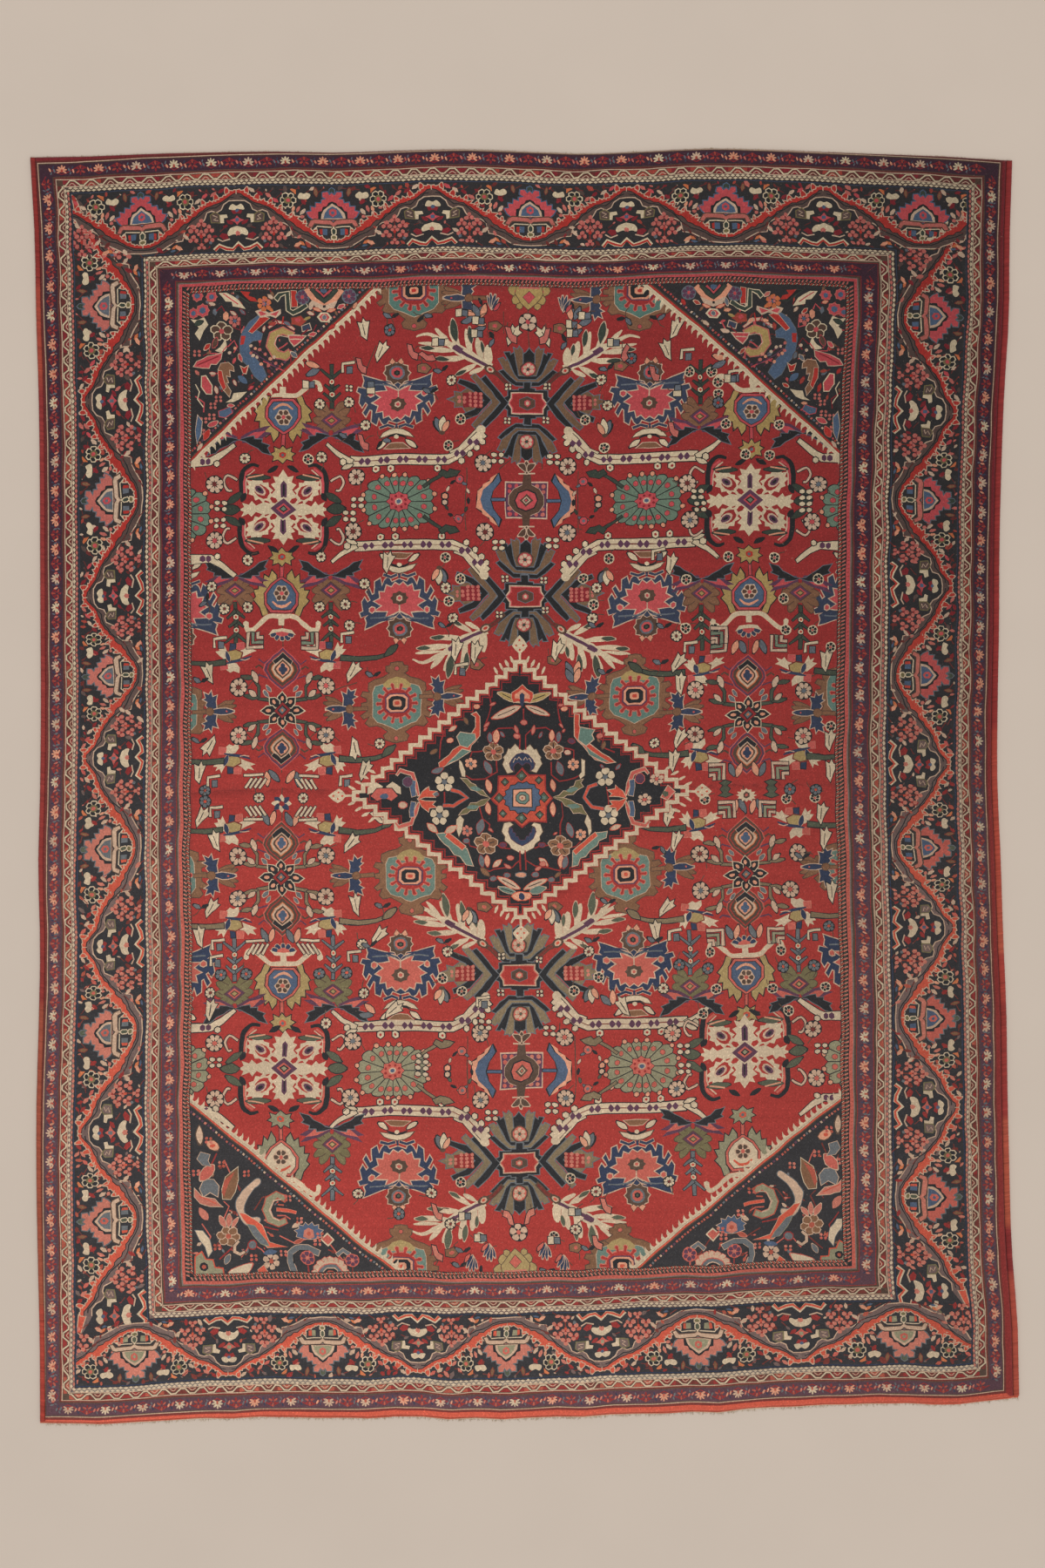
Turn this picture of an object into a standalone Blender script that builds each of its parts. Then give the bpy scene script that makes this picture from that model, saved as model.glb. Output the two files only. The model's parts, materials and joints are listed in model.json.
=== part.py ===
"""A hand-knotted room-size rug, lying flat: the knotted cloth, the overcast binding of its two
long edges, and the worn web with short fringe at each end. Metres, +Z up, the rug's length
along Y. The outline wanders as a hand-woven rug's does, so each edge is a short table."""

import math
import random

import bmesh
import bpy
import numpy as np

MM = 0.001

# The outline in millimetres from the rug's middle, at even steps. The long edges go from the
# near end (-Y) to the far end, and the ends go from the left edge (-X) to the right edge.
LEFT_EDGE_X = (-1339, -1340, -1345, -1349, -1349, -1343, -1339, -1344, -1339,
               -1337, -1338, -1339, -1340, -1343, -1350, -1354, -1366)
RIGHT_EDGE_X = (1363, 1354, 1338, 1332, 1327, 1324, 1315, 1308, 1299,
                1300, 1304, 1305, 1310, 1318, 1331, 1333, 1340)
NEAR_END_Y = (-1742, -1745, -1735, -1729, -1725, -1729, -1724, -1732, -1728,
              -1723, -1715, -1712, -1699, -1692, -1688, -1690, -1675)
FAR_END_Y = (1736, 1739, 1746, 1750, 1752, 1749, 1754, 1758, 1752,
             1746, 1752, 1760, 1757, 1750, 1744, 1737, 1727)

# The near end also ripples, where its web has pulled in unevenly.
RIPPLE_HEIGHT = 2.5 * MM
RIPPLES = 14

# The near right corner is worn round.
WORN_CORNER_REACH = 45 * MM
WORN_CORNER_PULL = 9 * MM

# Woven cloth: foundation and pile together.
CLOTH_THICKNESS = 8 * MM
CLOTH_EDGE_THICKNESS = 5.5 * MM
CLOTH_EDGE_WIDTH = 7 * MM
LUMP_HEIGHT = 0.5 * MM
# Radians from edge to edge across, the same along, and the phase.
LUMP_WAVES = ((9.1, 2.3, 0.0), (-7.9, 5.7, 1.1), (3.1, 17.3, 0.4))
CELLS_ACROSS = 36
CELLS_ALONG = 36

# Overcast binding along the two long edges.
BINDING_WIDTH_LEFT = 15 * MM
BINDING_WIDTH_RIGHT = 18 * MM
BINDING_THICKNESS = 8.5 * MM
BINDING_RIM = 2.5 * MM
BINDING_CELLS_ACROSS = 4

# End webs, whose frayed warps are short locks that lie on the floor.
WEB_THICKNESS = 2.2 * MM
WEB_FRAY = 0.25         # the outer side's wander, as a share of the web's width
WEB_FRAY_WAVES = (61, 23)
LOCK_TIP_WIDTH = 0.45   # a share of the width at its root
LOCK_TIP_HEIGHT = 0.5   # a share of the web's thickness
LOCK_LEAN = 0.3         # the most that a tip leans to a side, as a share of its length
FRINGE_NEAR = {"web": 8 * MM, "locks": 150, "longest": 8 * MM, "shortest": 2.5 * MM}
FRINGE_FAR = {"web": 2.5 * MM, "locks": 80, "longest": 6 * MM, "shortest": 1.5 * MM}

PIECE_GAP = 0.3 * MM


def smooth_read(table, share):
    """The table's value at a share of its length, on a smooth curve through its entries."""
    place = min(max(share, 0.0), 1.0) * (len(table) - 1)
    first = min(int(place), len(table) - 2)
    t = place - first
    before = table[max(first - 1, 0)]
    a, b = table[first], table[first + 1]
    after = table[min(first + 2, len(table) - 1)]
    rise_a, rise_b = (b - before) / 2, (after - a) / 2
    return ((2 * t**3 - 3 * t**2 + 1) * a + (t**3 - 2 * t**2 + t) * rise_a
            + (3 * t**2 - 2 * t**3) * b + (t**3 - t**2) * rise_b)


def outline_points(u, v):
    """The points of the left, right, near and far edges at the shares u across and v along."""
    corner_y = [t[k] * MM for t in (NEAR_END_Y, FAR_END_Y) for k in (0, -1)]
    near_left, near_right, far_left, far_right = corner_y
    left = np.array((smooth_read(LEFT_EDGE_X, v) * MM, near_left + (far_left - near_left) * v))
    right = np.array((smooth_read(RIGHT_EDGE_X, v) * MM,
                      near_right + (far_right - near_right) * v))
    near_x = (LEFT_EDGE_X[0] + (RIGHT_EDGE_X[0] - LEFT_EDGE_X[0]) * u) * MM
    far_x = (LEFT_EDGE_X[-1] + (RIGHT_EDGE_X[-1] - LEFT_EDGE_X[-1]) * u) * MM
    ripple = RIPPLE_HEIGHT * math.sin(2 * math.pi * RIPPLES * u) * math.sin(math.pi * u)
    near = np.array((near_x, smooth_read(NEAR_END_Y, u) * MM + ripple))
    far = np.array((far_x, smooth_read(FAR_END_Y, u) * MM))
    return left, right, near, far


def lay(u, v):
    """Where the point at the shares u across and v along lies on the floor."""
    left, right, near, far = outline_points(u, v)
    near_left, near_right, _, _ = outline_points(0, 0)
    far_left, far_right, _, _ = outline_points(0, 1)
    corners = ((1 - u) * (1 - v) * near_left + u * (1 - v) * near_right
               + (1 - u) * v * far_left + u * v * far_right)
    point = (1 - u) * left + u * right + (1 - v) * near + v * far - corners
    away = np.linalg.norm(point - near_right)
    if away < WORN_CORNER_REACH:
        pull = WORN_CORNER_PULL * (1 - away / WORN_CORNER_REACH)
        point = point + pull * np.array((-1, 1)) / math.sqrt(2)
    return point


def rug_width(v):
    return lay(1, v)[0] - lay(0, v)[0]


def rug_length(u):
    return lay(u, 1)[1] - lay(u, 0)[1]


def material(name, colour, roughness):
    made = bpy.data.materials.new(name)
    made.use_nodes = True
    shader = made.node_tree.nodes["Principled BSDF"]
    shader.inputs["Base Color"].default_value = (*colour, 1)
    shader.inputs["Roughness"].default_value = roughness
    shader.inputs["Metallic"].default_value = 0
    made.diffuse_color = (*colour, 1)
    return made


def finish_object(bm, name, look):
    """Makes an object of the mesh, with its faces pointing out and its material."""
    bmesh.ops.recalc_face_normals(bm, faces=bm.faces[:])
    mesh = bpy.data.meshes.new(name)
    bm.to_mesh(mesh)
    bm.free()
    mesh.materials.append(look)
    mesh.shade_smooth()
    mesh.set_sharp_from_angle(angle=math.radians(35))
    made = bpy.data.objects.new(name, mesh)
    rug_collection.objects.link(made)
    return made


def slab(name, cells_across, place, height, look):
    """A cloth slab with a flat underside: a grid laid out by place(a, b) and raised by
    height(a, b), where a and b are the shares across and along."""
    bm = bmesh.new()
    bmesh.ops.create_grid(bm, x_segments=cells_across, y_segments=CELLS_ALONG, size=0.5)
    shares = {v: (v.co.x + 0.5, v.co.y + 0.5) for v in bm.verts}
    floor_faces = bm.faces[:]
    raised = bmesh.ops.extrude_face_region(bm, geom=floor_faces, use_keep_orig=True)["geom"]
    tops = [v for v in raised if isinstance(v, bmesh.types.BMVert)]
    for v in tops:
        v.co.z = height(v.co.x + 0.5, v.co.y + 0.5)
        v.co.x, v.co.y = place(v.co.x + 0.5, v.co.y + 0.5)
    for v, (a, b) in shares.items():
        v.co.x, v.co.y = place(a, b)
    bmesh.ops.dissolve_faces(bm, faces=floor_faces, use_verts=False)
    return finish_object(bm, name, look)


def to_rim(share, cells, size):
    """Moves the grid's first and last inner lines out to where the rounding of an edge of
    the cloth ends. size is how far the grid spans, in metres."""
    shift = CLOTH_EDGE_WIDTH / size - 1 / cells
    line = round(share * cells)
    if line == 1:
        return share + shift
    if line == cells - 1:
        return share - shift
    return share


def cloth_u(a, v):
    """The cloth's share a across, between the bindings, as a share of the whole rug."""
    width = rug_width(v)
    first = (BINDING_WIDTH_LEFT + PIECE_GAP) / width
    last = 1 - (BINDING_WIDTH_RIGHT + PIECE_GAP) / width
    return first + (last - first) * to_rim(a, CELLS_ACROSS, width * (last - first))


def row_v(b):
    return to_rim(b, CELLS_ALONG, rug_length(0.5))


def cloth_place(a, b):
    v = row_v(b)
    return lay(cloth_u(a, v), v)


def cloth_height(a, b):
    if min(a, b, 1 - a, 1 - b) < 1e-6:
        return CLOTH_EDGE_THICKNESS
    lumps = [math.sin(across * a + along * b + phase) for across, along, phase in LUMP_WAVES]
    return CLOTH_THICKNESS + LUMP_HEIGHT * sum(lumps) / len(lumps)


def binding_height(a, _):
    crown = math.sqrt(max(0.0, 1 - (2 * a - 1) ** 2))
    return BINDING_RIM + (BINDING_THICKNESS - BINDING_RIM) * crown


def left_binding_place(a, b):
    v = row_v(b)
    return lay(a * BINDING_WIDTH_LEFT / rug_width(v), v)


def right_binding_place(a, b):
    v = row_v(b)
    return lay(1 - (1 - a) * BINDING_WIDTH_RIGHT / rug_width(v), v)


def end_line(end):
    """The rug's edge at one end, as the straight steps of the pieces that meet it there."""
    shares = [cloth_u(k / CELLS_ACROSS, end) for k in range(CELLS_ACROSS + 1)]
    shares = [0, BINDING_WIDTH_LEFT / rug_width(end), *shares,
              1 - BINDING_WIDTH_RIGHT / rug_width(end), 1]
    return np.array(shares), np.array([lay(u, end) for u in shares])


def fringe(name, sizes, end, look, seed):
    """A web along one end of the rug, with a short lock drawn out of every second step of its
    outer side. end is 0 for the near end and 1 for the far end."""
    away = -1 if end == 0 else 1
    chance = random.Random(seed)
    steps = 2 * sizes["locks"] + 1
    shares, points = end_line(end)

    def place(a, b):
        x, y = (np.interp(a, shares, points[:, axis]) for axis in (0, 1))
        fray = WEB_FRAY * math.prod(math.sin(wave * a + 1) for wave in WEB_FRAY_WAVES)
        out = b if end else 1 - b
        return x, y + away * (PIECE_GAP + out * sizes["web"] * (1 + fray))

    bm = bmesh.new()
    bmesh.ops.create_grid(bm, x_segments=steps, y_segments=1, size=0.5)
    lifted = bmesh.ops.extrude_face_region(bm, geom=bm.faces[:], use_keep_orig=True)["geom"]
    for v in lifted:
        if isinstance(v, bmesh.types.BMVert):
            v.co.z = WEB_THICKNESS
    outer = [f for f in bm.faces
             if all(abs(v.co.y - (end - 0.5)) < 1e-6 for v in f.verts)]
    outer.sort(key=lambda f: f.calc_center_median().x)
    rooted = outer[1::2]
    for v in bm.verts:
        v.co.x, v.co.y = place(v.co.x + 0.5, v.co.y + 0.5)
    bmesh.ops.recalc_face_normals(bm, faces=bm.faces[:])
    for tip in bmesh.ops.extrude_discrete_faces(bm, faces=rooted)["faces"]:
        length = sizes["shortest"] + (sizes["longest"] - sizes["shortest"]) * chance.random() ** 2
        lean = chance.uniform(-LOCK_LEAN, LOCK_LEAN) * length
        middle = tip.calc_center_median()
        for v in tip.verts:
            v.co.x = middle.x + (v.co.x - middle.x) * LOCK_TIP_WIDTH + lean
            v.co.y += away * length
            v.co.z *= LOCK_TIP_HEIGHT
    return finish_object(bm, name, look)


for thing in list(bpy.data.objects):
    bpy.data.objects.remove(thing)

rug_collection = bpy.data.collections.new("persian_rug")
bpy.context.scene.collection.children.link(rug_collection)

pile_wool = material("pile_wool", (0.33, 0.035, 0.028), 0.95)
binding_wool = material("binding_wool", (0.36, 0.03, 0.022), 0.9)
web_cotton = material("web_cotton", (0.56, 0.47, 0.33), 0.95)

pieces = [
    slab("rug_cloth", CELLS_ACROSS, cloth_place, cloth_height, pile_wool),
    slab("binding_left", BINDING_CELLS_ACROSS, left_binding_place, binding_height, binding_wool),
    slab("binding_right", BINDING_CELLS_ACROSS, right_binding_place, binding_height, binding_wool),
    fringe("fringe_near", FRINGE_NEAR, 0, web_cotton, seed=7),
    fringe("fringe_far", FRINGE_FAR, 1, web_cotton, seed=11),
]

# The origin is at the middle of the footprint, on the floor.
footprint = np.array([v.co[:2] for piece in pieces for v in piece.data.vertices])
middle = (footprint.min(0) + footprint.max(0)) / 2
for piece in pieces:
    for v in piece.data.vertices:
        v.co.x -= middle[0]
        v.co.y -= middle[1]
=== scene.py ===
import json
import math
from contextlib import contextmanager

import bpy
import numpy as np
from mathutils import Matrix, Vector
from mathutils.geometry import delaunay_2d_cdt

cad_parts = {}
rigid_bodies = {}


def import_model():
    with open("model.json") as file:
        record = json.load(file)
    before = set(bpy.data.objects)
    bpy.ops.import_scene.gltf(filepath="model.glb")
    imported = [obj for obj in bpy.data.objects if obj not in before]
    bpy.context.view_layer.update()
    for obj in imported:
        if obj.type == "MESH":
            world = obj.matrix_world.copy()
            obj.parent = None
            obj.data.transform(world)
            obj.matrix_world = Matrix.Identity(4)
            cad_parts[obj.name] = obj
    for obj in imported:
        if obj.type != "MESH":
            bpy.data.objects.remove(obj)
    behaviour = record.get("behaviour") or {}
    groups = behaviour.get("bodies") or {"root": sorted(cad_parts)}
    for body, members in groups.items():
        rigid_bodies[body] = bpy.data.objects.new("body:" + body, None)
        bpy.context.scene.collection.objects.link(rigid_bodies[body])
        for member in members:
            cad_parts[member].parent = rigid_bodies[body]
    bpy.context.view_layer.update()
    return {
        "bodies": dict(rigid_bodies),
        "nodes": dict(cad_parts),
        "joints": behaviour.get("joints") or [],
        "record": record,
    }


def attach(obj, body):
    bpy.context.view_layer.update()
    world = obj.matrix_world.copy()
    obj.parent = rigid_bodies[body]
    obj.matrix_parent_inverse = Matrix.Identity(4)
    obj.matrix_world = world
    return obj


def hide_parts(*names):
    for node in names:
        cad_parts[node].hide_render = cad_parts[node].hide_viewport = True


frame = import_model()

# The rug is drawn in centimetres from its middle, x across and y along, and laid into the outline of
# its solids.
mm = 0.001
clothLeft, clothRight, clothEnd = -131.5, 131.2, 173.0


def rimEdges():
    # The four edges of the cloth's solid, as the rows of points that its rim has on the floor.
    points = np.array([v.co[:] for v in frame["nodes"]["rug_cloth"].data.vertices])
    ring = np.unique(points[points[:, 2] < 1e-5][:, :2].round(6), axis=0)
    ring = ring[np.argsort(np.arctan2(ring[:, 1], ring[:, 0]))]
    corners = [int(np.argmax(ring @ np.array(way))) for way in ((-1, -1), (1, -1), (1, 1), (-1, 1))]
    sides = []
    for start, stop in zip(corners, corners[1:] + corners[:1]):
        count = (stop - start) % len(ring)
        sides.append(ring[[(start + k) % len(ring) for k in range(count + 1)]])
    near, right, far, left = sides
    return left[::-1], right, near, far[::-1]


rimLeft, rimRight, rimNear, rimFar = rimEdges()


def alongRim(rim, axis, share):
    run = (rim[:, axis] - rim[0, axis]) / (rim[-1, axis] - rim[0, axis])
    return np.stack([np.interp(share, run, rim[:, 0]), np.interp(share, run, rim[:, 1])], axis=-1)


def lay(points):
    # From the drawing to the floor, in metres.
    u = (points[:, 0] - clothLeft) / (clothRight - clothLeft)
    v = (points[:, 1] + clothEnd) / (2 * clothEnd)
    left, right = alongRim(rimLeft, 1, v), alongRim(rimRight, 1, v)
    near, far = alongRim(rimNear, 0, u), alongRim(rimFar, 0, u)
    u, v = u[:, None], v[:, None]
    corners = ((1 - u) * (1 - v) * rimNear[0] + u * (1 - v) * rimNear[-1]
               + (1 - u) * v * rimFar[0] + u * v * rimFar[-1])
    return (1 - u) * left + u * right + (1 - v) * near + v * far - corners


# Wool colours as the far half and the near half of the rug have them; the dye lots change between the two.
dyes = {
    "red": ((150, 50, 50), (170, 64, 59)),
    "brick": ((172, 54, 48), (204, 94, 74)),
    "rust": ((158, 68, 58), (176, 92, 76)),
    "crimson": ((128, 40, 48), (150, 58, 56)),
    "navy": ((50, 49, 51), (59, 59, 62)),
    "ink": ((40, 41, 43), (50, 51, 54)),
    "aubergine": ((66, 42, 56), (96, 70, 80)),
    "maroon": ((104, 48, 46), (122, 62, 56)),
    "umber": ((88, 72, 68), (120, 102, 98)),
    "brown": ((126, 92, 70), (134, 100, 76)),
    "bark": ((86, 66, 56), (92, 76, 66)),
    "fan": ((112, 88, 68), (134, 120, 96)),
    "ivory": ((206, 192, 163), (207, 190, 163)),
    "cream": ((196, 172, 150), (200, 172, 148)),
    "rose": ((186, 78, 84), (196, 104, 92)),
    "pink": ((186, 106, 98), (198, 124, 108)),
    "apricot": ((212, 150, 122), (216, 158, 130)),
    "orange": ((196, 112, 72), (206, 124, 84)),
    "blue": ((78, 98, 124), (84, 100, 124)),
    "deep": ((58, 66, 86), (58, 68, 92)),
    "steel": ((98, 106, 116), (108, 114, 118)),
    "teal": ((104, 126, 110), (148, 146, 120)),
    "sea": ((86, 120, 112), (112, 136, 126)),
    "green": ((58, 68, 60), (92, 98, 82)),
    "gold": ((166, 144, 92), (170, 150, 104)),
    "olive": ((112, 104, 72), (120, 114, 84)),
    "grey": ((118, 108, 104), (126, 118, 112)),
    "purple": ((92, 60, 82), (98, 68, 86)),
}
dyeNames = list(dyes)
lowDyes = ("ink", "navy", "bark", "umber")


def linear(rgb):
    share = np.asarray(rgb, float) / 255
    return np.where(share < 0.04045, share / 12.92, ((share + 0.055) / 1.055) ** 2.4)


wobbleRandom = np.random.default_rng(7)


def waveSet(count, length, size):
    angle = wobbleRandom.uniform(0, 2 * math.pi, count)
    pitch = 2 * math.pi / (length * wobbleRandom.uniform(0.7, 1.4, count))
    return np.cos(angle) * pitch, np.sin(angle) * pitch, wobbleRandom.uniform(0, 6.3, (2, count)), size


handWaves = [waveSet(6, 17, 0.055), waveSet(7, 3.1, 0.028)]


def handDrawn(points):
    # The weaver's unevenness: a smooth shift of the whole drawing, none at the rug's own rim.
    shift = np.zeros_like(points)
    for kx, ky, phase, size in handWaves:
        turn = points[:, :1] * kx + points[:, 1:] * ky
        shift[:, 0] += size * np.sin(turn + phase[0]).sum(axis=1)
        shift[:, 1] += size * np.sin(turn + phase[1]).sum(axis=1)
    inset = np.minimum(np.minimum(points[:, 0] - clothLeft, clothRight - points[:, 0]),
                       clothEnd - np.abs(points[:, 1]))
    return points + shift * np.clip(inset / 3, 0, 1)[:, None]


def divided(points, step):
    # The same closed outline with no edge longer than step.
    ahead = np.roll(points, -1, axis=0)
    pieces = np.maximum(1, np.ceil(np.linalg.norm(ahead - points, axis=1) / step).astype(int))
    rows = [points[k] + (ahead[k] - points[k]) * (np.arange(n) / n)[:, None] for k, n in enumerate(pieces)]
    return np.concatenate(rows)


def turned(points):
    # Counter-clockwise.
    x, y = points[:, 0], points[:, 1]
    area = np.sum(x * np.roll(y, -1) - y * np.roll(x, -1))
    return points if area > 0 else points[::-1]


def grown(points, width):
    points = turned(points)
    ahead = np.roll(points, -1, axis=0) - points
    ahead /= np.maximum(np.linalg.norm(ahead, axis=1), 1e-6)[:, None]
    out = np.stack([ahead[:, 1], -ahead[:, 0]], axis=1)
    mean = out + np.roll(out, 1, axis=0)
    length = np.maximum(np.linalg.norm(mean, axis=1), 0.75)[:, None]
    return points + mean * (2 * width / length ** 2)


def rounded(points, closed=True):
    # A smooth curve through the given points.
    count, cuts = len(points), 3
    share = np.arange(cuts)[:, None] / cuts
    rows = []
    for k in range(count if closed else count - 1):
        if closed:
            a, b, c, d = (points[(k + n) % count] for n in (-1, 0, 1, 2))
        else:
            a, b, c, d = (points[min(max(k + n, 0), count - 1)] for n in (-1, 0, 1, 2))
        rows.append(0.5 * (2 * b + (c - a) * share + (2 * a - 5 * b + 4 * c - d) * share ** 2
                           + (3 * b - a - 3 * c + d) * share ** 3))
    if not closed:
        rows.append(points[-1:])
    return np.concatenate(rows)


def thinned(points):
    # Without those corners of a small outline that hardly bend it.
    reach = 0.045
    for first in (0, 1, 0):
        if len(points) < 6 or np.ptp(points, axis=0).max() > 14:
            break
        behind = points - np.roll(points, 1, axis=0)
        run = behind + np.roll(points, -1, axis=0) - points
        off = np.abs(run[:, 0] * behind[:, 1] - run[:, 1] * behind[:, 0])
        keep = off > reach * np.maximum(np.linalg.norm(run, axis=1), 1e-6)
        keep[first::2] = True
        points = points[keep]
    return points


def pairs(numbers):
    return np.asarray(numbers, float).reshape(-1, 2)


longestEdge = 2.6  # of an outline, so that it follows the unevenness


class Pen:
    # Keeps the drawing's shapes in painting order. Each is (dye, loops, zone).

    def __init__(self):
        self.shapes = []
        self.places = [np.array([[1.0, 0, 0], [0, 1, 0]])]
        self.bend = None

    @contextmanager
    def at(self, x=0, y=0, turn=0, size=1, wide=1, tall=1):
        angle = math.radians(turn)
        turning = np.array([[math.cos(angle), -math.sin(angle)], [math.sin(angle), math.cos(angle)]])
        here = turning @ np.diag([size * wide, size * tall])
        outer = self.places[-1]
        self.places.append(np.column_stack([outer[:, :2] @ here, outer[:, :2] @ (x, y) + outer[:, 2]]))
        yield self
        self.places.pop()

    @contextmanager
    def bent(self, bend):
        kept, self.bend = self.bend, bend
        yield self
        self.bend = kept

    def add(self, dye, *loops, zone=None):
        place = self.places[-1]
        done = []
        for loop in loops:
            points = divided(loop @ place[:, :2].T + place[:, 2], longestEdge)
            if self.bend:
                points = self.bend(points)
            done.append(thinned(handDrawn(points)))
        self.shapes.append((dye, done, zone))

    def poly(self, dye, numbers, rim=None, width=0.3, soft=False):
        points = pairs(numbers)
        if soft:
            points = rounded(points)
        if rim:
            self.add(rim, grown(points, width))
        self.add(dye, points)

    def sym(self, dye, numbers, rim=None, width=0.3, soft=False):
        # Half an outline, mirrored about the upright axis.
        half = pairs(numbers)
        other = half[::-1] * (-1, 1)
        keep = np.abs(other[:, 0]) > 1e-6
        self.poly(dye, np.concatenate([half, other[keep]]), rim, width, soft)

    def both(self, dye, numbers, rim=None, width=0.3):
        points = pairs(numbers)
        self.poly(dye, points, rim, width)
        self.poly(dye, points * (-1, 1), rim, width)

    def line(self, dye, numbers, width, rim=None, edge=0.25, soft=False, end=None, taper=0.0):
        points = pairs(numbers)
        if soft:
            points = rounded(points, closed=False)
        ahead = np.gradient(points, axis=0)
        ahead /= np.maximum(np.linalg.norm(ahead, axis=1), 1e-6)[:, None]
        side = np.stack([-ahead[:, 1], ahead[:, 0]], axis=1)
        half = np.linspace(width, width if end is None else end, len(points))[:, None] / 2
        half = half * (1 - taper + taper * np.sin(np.linspace(0, math.pi, len(points))))[:, None]
        loop = np.concatenate([points + side * half, (points - side * half)[::-1]])
        if rim:
            self.add(rim, grown(loop, edge))
        self.add(dye, loop)

    def arch(self, dye, numbers, width):
        # A line from the upright axis to both sides, thinner at its ends.
        half = pairs(numbers)
        self.line(dye, np.concatenate([half[:0:-1] * (-1, 1), half]), width, taper=0.5)

    def lines(self, dye, numbers, width, **more):
        # The line and its mirror image.
        points = pairs(numbers)
        self.line(dye, points, width, **more)
        self.line(dye, points * (-1, 1), width, **more)

    def disc(self, dye, x, y, across, up=None, rim=None, width=0.3, sides=8, turn=0, lobes=0, depth=0.0):
        if across < 1.1 and not lobes:
            sides = min(sides, 6)
        angle = (np.arange(sides) + (0 if lobes else 0.5)) * 2 * math.pi / sides
        reach = 1 + depth * np.cos(lobes * angle)
        loop = np.stack([np.cos(angle) * across * reach, np.sin(angle) * (up or across) * reach], axis=1)
        way = math.radians(turn)
        loop = loop @ np.array([[math.cos(way), math.sin(way)], [-math.sin(way), math.cos(way)]]) + (x, y)
        if rim:
            self.add(rim, grown(loop, width))
        self.add(dye, loop)

    def leaf(self, dye, x0, y0, x1, y1, fat=0.5, bow=0.0, rim=None, width=0.2, blunt=0.0):
        # A leaf from its base to its tip; bow bends it to its left, blunt widens the tip.
        base, tip = np.array((x0, y0)), np.array((x1, y1))
        run = tip - base
        side = np.array((-run[1], run[0]))
        share = np.array([0.0, 0.16, 0.4, 0.66, 0.87, 1.0])
        belly = np.array([0.10, 0.62, 1.0, 0.92, 0.52, 0.0]) + blunt * np.array([0, 0, 0, 0.1, 0.4, 0.55])
        if math.hypot(*run) < 2.6:  # a small one has fewer corners
            share, belly = share[[0, 2, 4, 5]], belly[[0, 2, 4, 5]] + (0, 0, 0.12, 0)
        spine = base + share[:, None] * run + (np.sin(share * math.pi) * bow)[:, None] * side
        half = (belly * fat / 2)[:, None] * side
        loop = np.concatenate([spine + half, (spine - half)[::-1]])
        if rim:
            self.add(rim, grown(loop, width))
        self.add(dye, loop)

    def wreath(self, dye, count, r0, r1, fat, first=0):
        # Petals standing around the middle.
        for k in range(count):
            way = math.radians(first + 360 * k / count)
            c, s = math.cos(way), math.sin(way)
            self.leaf(dye, c * r0, s * r0, c * r1, s * r1, fat, blunt=0.8)

    def nest(self, points, *rings):
        # The same outline in several sizes, the largest first.
        for dye, size in rings:
            self.poly(dye, points * size)


pen = Pen()


def mirrored():
    # What follows is drawn twice, left and right.
    for way in (-1, 1):
        with pen.at(wide=way):
            yield way


def quartered():
    for way in (-1, 1):
        for tall in (-1, 1):
            with pen.at(wide=way, tall=tall):
                yield


def around(count, first=0.0, part=360.0):
    # Even steps around a middle: their number, cosine and sine.
    for k in range(count):
        way = math.radians(first + part * k / count)
        yield k, math.cos(way), math.sin(way)


# Depth is counted outward from the field's edge: the inner stripes, the main border, then the outer stripes.
innerDepth, mainDepth, outerReach = 12.8, 18.0, 20.0
stations = {"left": (-150, 0, 150), "right": (-150, 0, 150), "top": (-100, 0, 100), "bottom": (-100, 0, 100)}
keyLines = {
    "left": ((-90.3, -91.0, -90.8), (-103.3, -104.2, -103.8), (-122.8, -122.0, -122.2)),
    "right": ((86.6, 87.8, 88.2), (100.6, 102.5, 102.1), (120.2, 120.9, 121.0)),
    "top": ((134.3, 136.2, 135.5), (145.5, 147.0, 146.8), (163.3, 164.3, 164.0)),
    "bottom": ((-133.8, -133.2, -133.3), (-145.9, -145.0, -145.0), (-162.8, -162.2, -162.3)),
}
outward = {"left": -1, "right": 1, "top": 1, "bottom": -1}


def acrossAt(side, along, depth):
    # Where a side's line of the given depth runs.
    a, b, c = stations[side]
    along = np.asarray(along, float)
    pa = (along - b) * (along - c) / ((a - b) * (a - c))
    pb = (along - a) * (along - c) / ((b - a) * (b - c))
    pc = (along - a) * (along - b) / ((c - a) * (c - b))
    field, inner, outer = (p * pa + q * pb + r * pc for p, q, r in keyLines[side])
    far = outer + outward[side] * outerReach
    knots = (0, innerDepth, innerDepth + mainDepth, innerDepth + mainDepth + outerReach)
    depth = np.broadcast_to(depth, along.shape)
    result = field + (depth - knots[0]) / knots[1] * (inner - field)
    result = np.where(depth > knots[1], inner + (depth - knots[1]) / mainDepth * (outer - inner), result)
    return np.where(depth > knots[2], outer + (depth - knots[2]) / outerReach * (far - outer), result)


def cornerAt(upright, level, depth):
    x, y = keyLines[upright][0][0], keyLines[level][0][0]
    for _ in range(6):
        x, y = float(acrossAt(upright, y, depth)), float(acrossAt(level, x, depth))
    return x, y


def onSide(side, middle=0.0, before=1.0, after=1.0):
    # Bends a drawing of (along, depth) to a side of the border.
    def bend(points):
        along = middle + np.where(points[:, 0] < 0, points[:, 0] * before, points[:, 0] * after)
        across = acrossAt(side, along, points[:, 1])
        upright = side in ("left", "right")
        return np.stack([across, along] if upright else [along, across], axis=1)
    return bend


def sideEnds(side, depth):
    if side in ("left", "right"):
        return cornerAt(side, "bottom", depth)[1], cornerAt(side, "top", depth)[1]
    return cornerAt("left", side, depth)[0], cornerAt("right", side, depth)[0]


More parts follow.
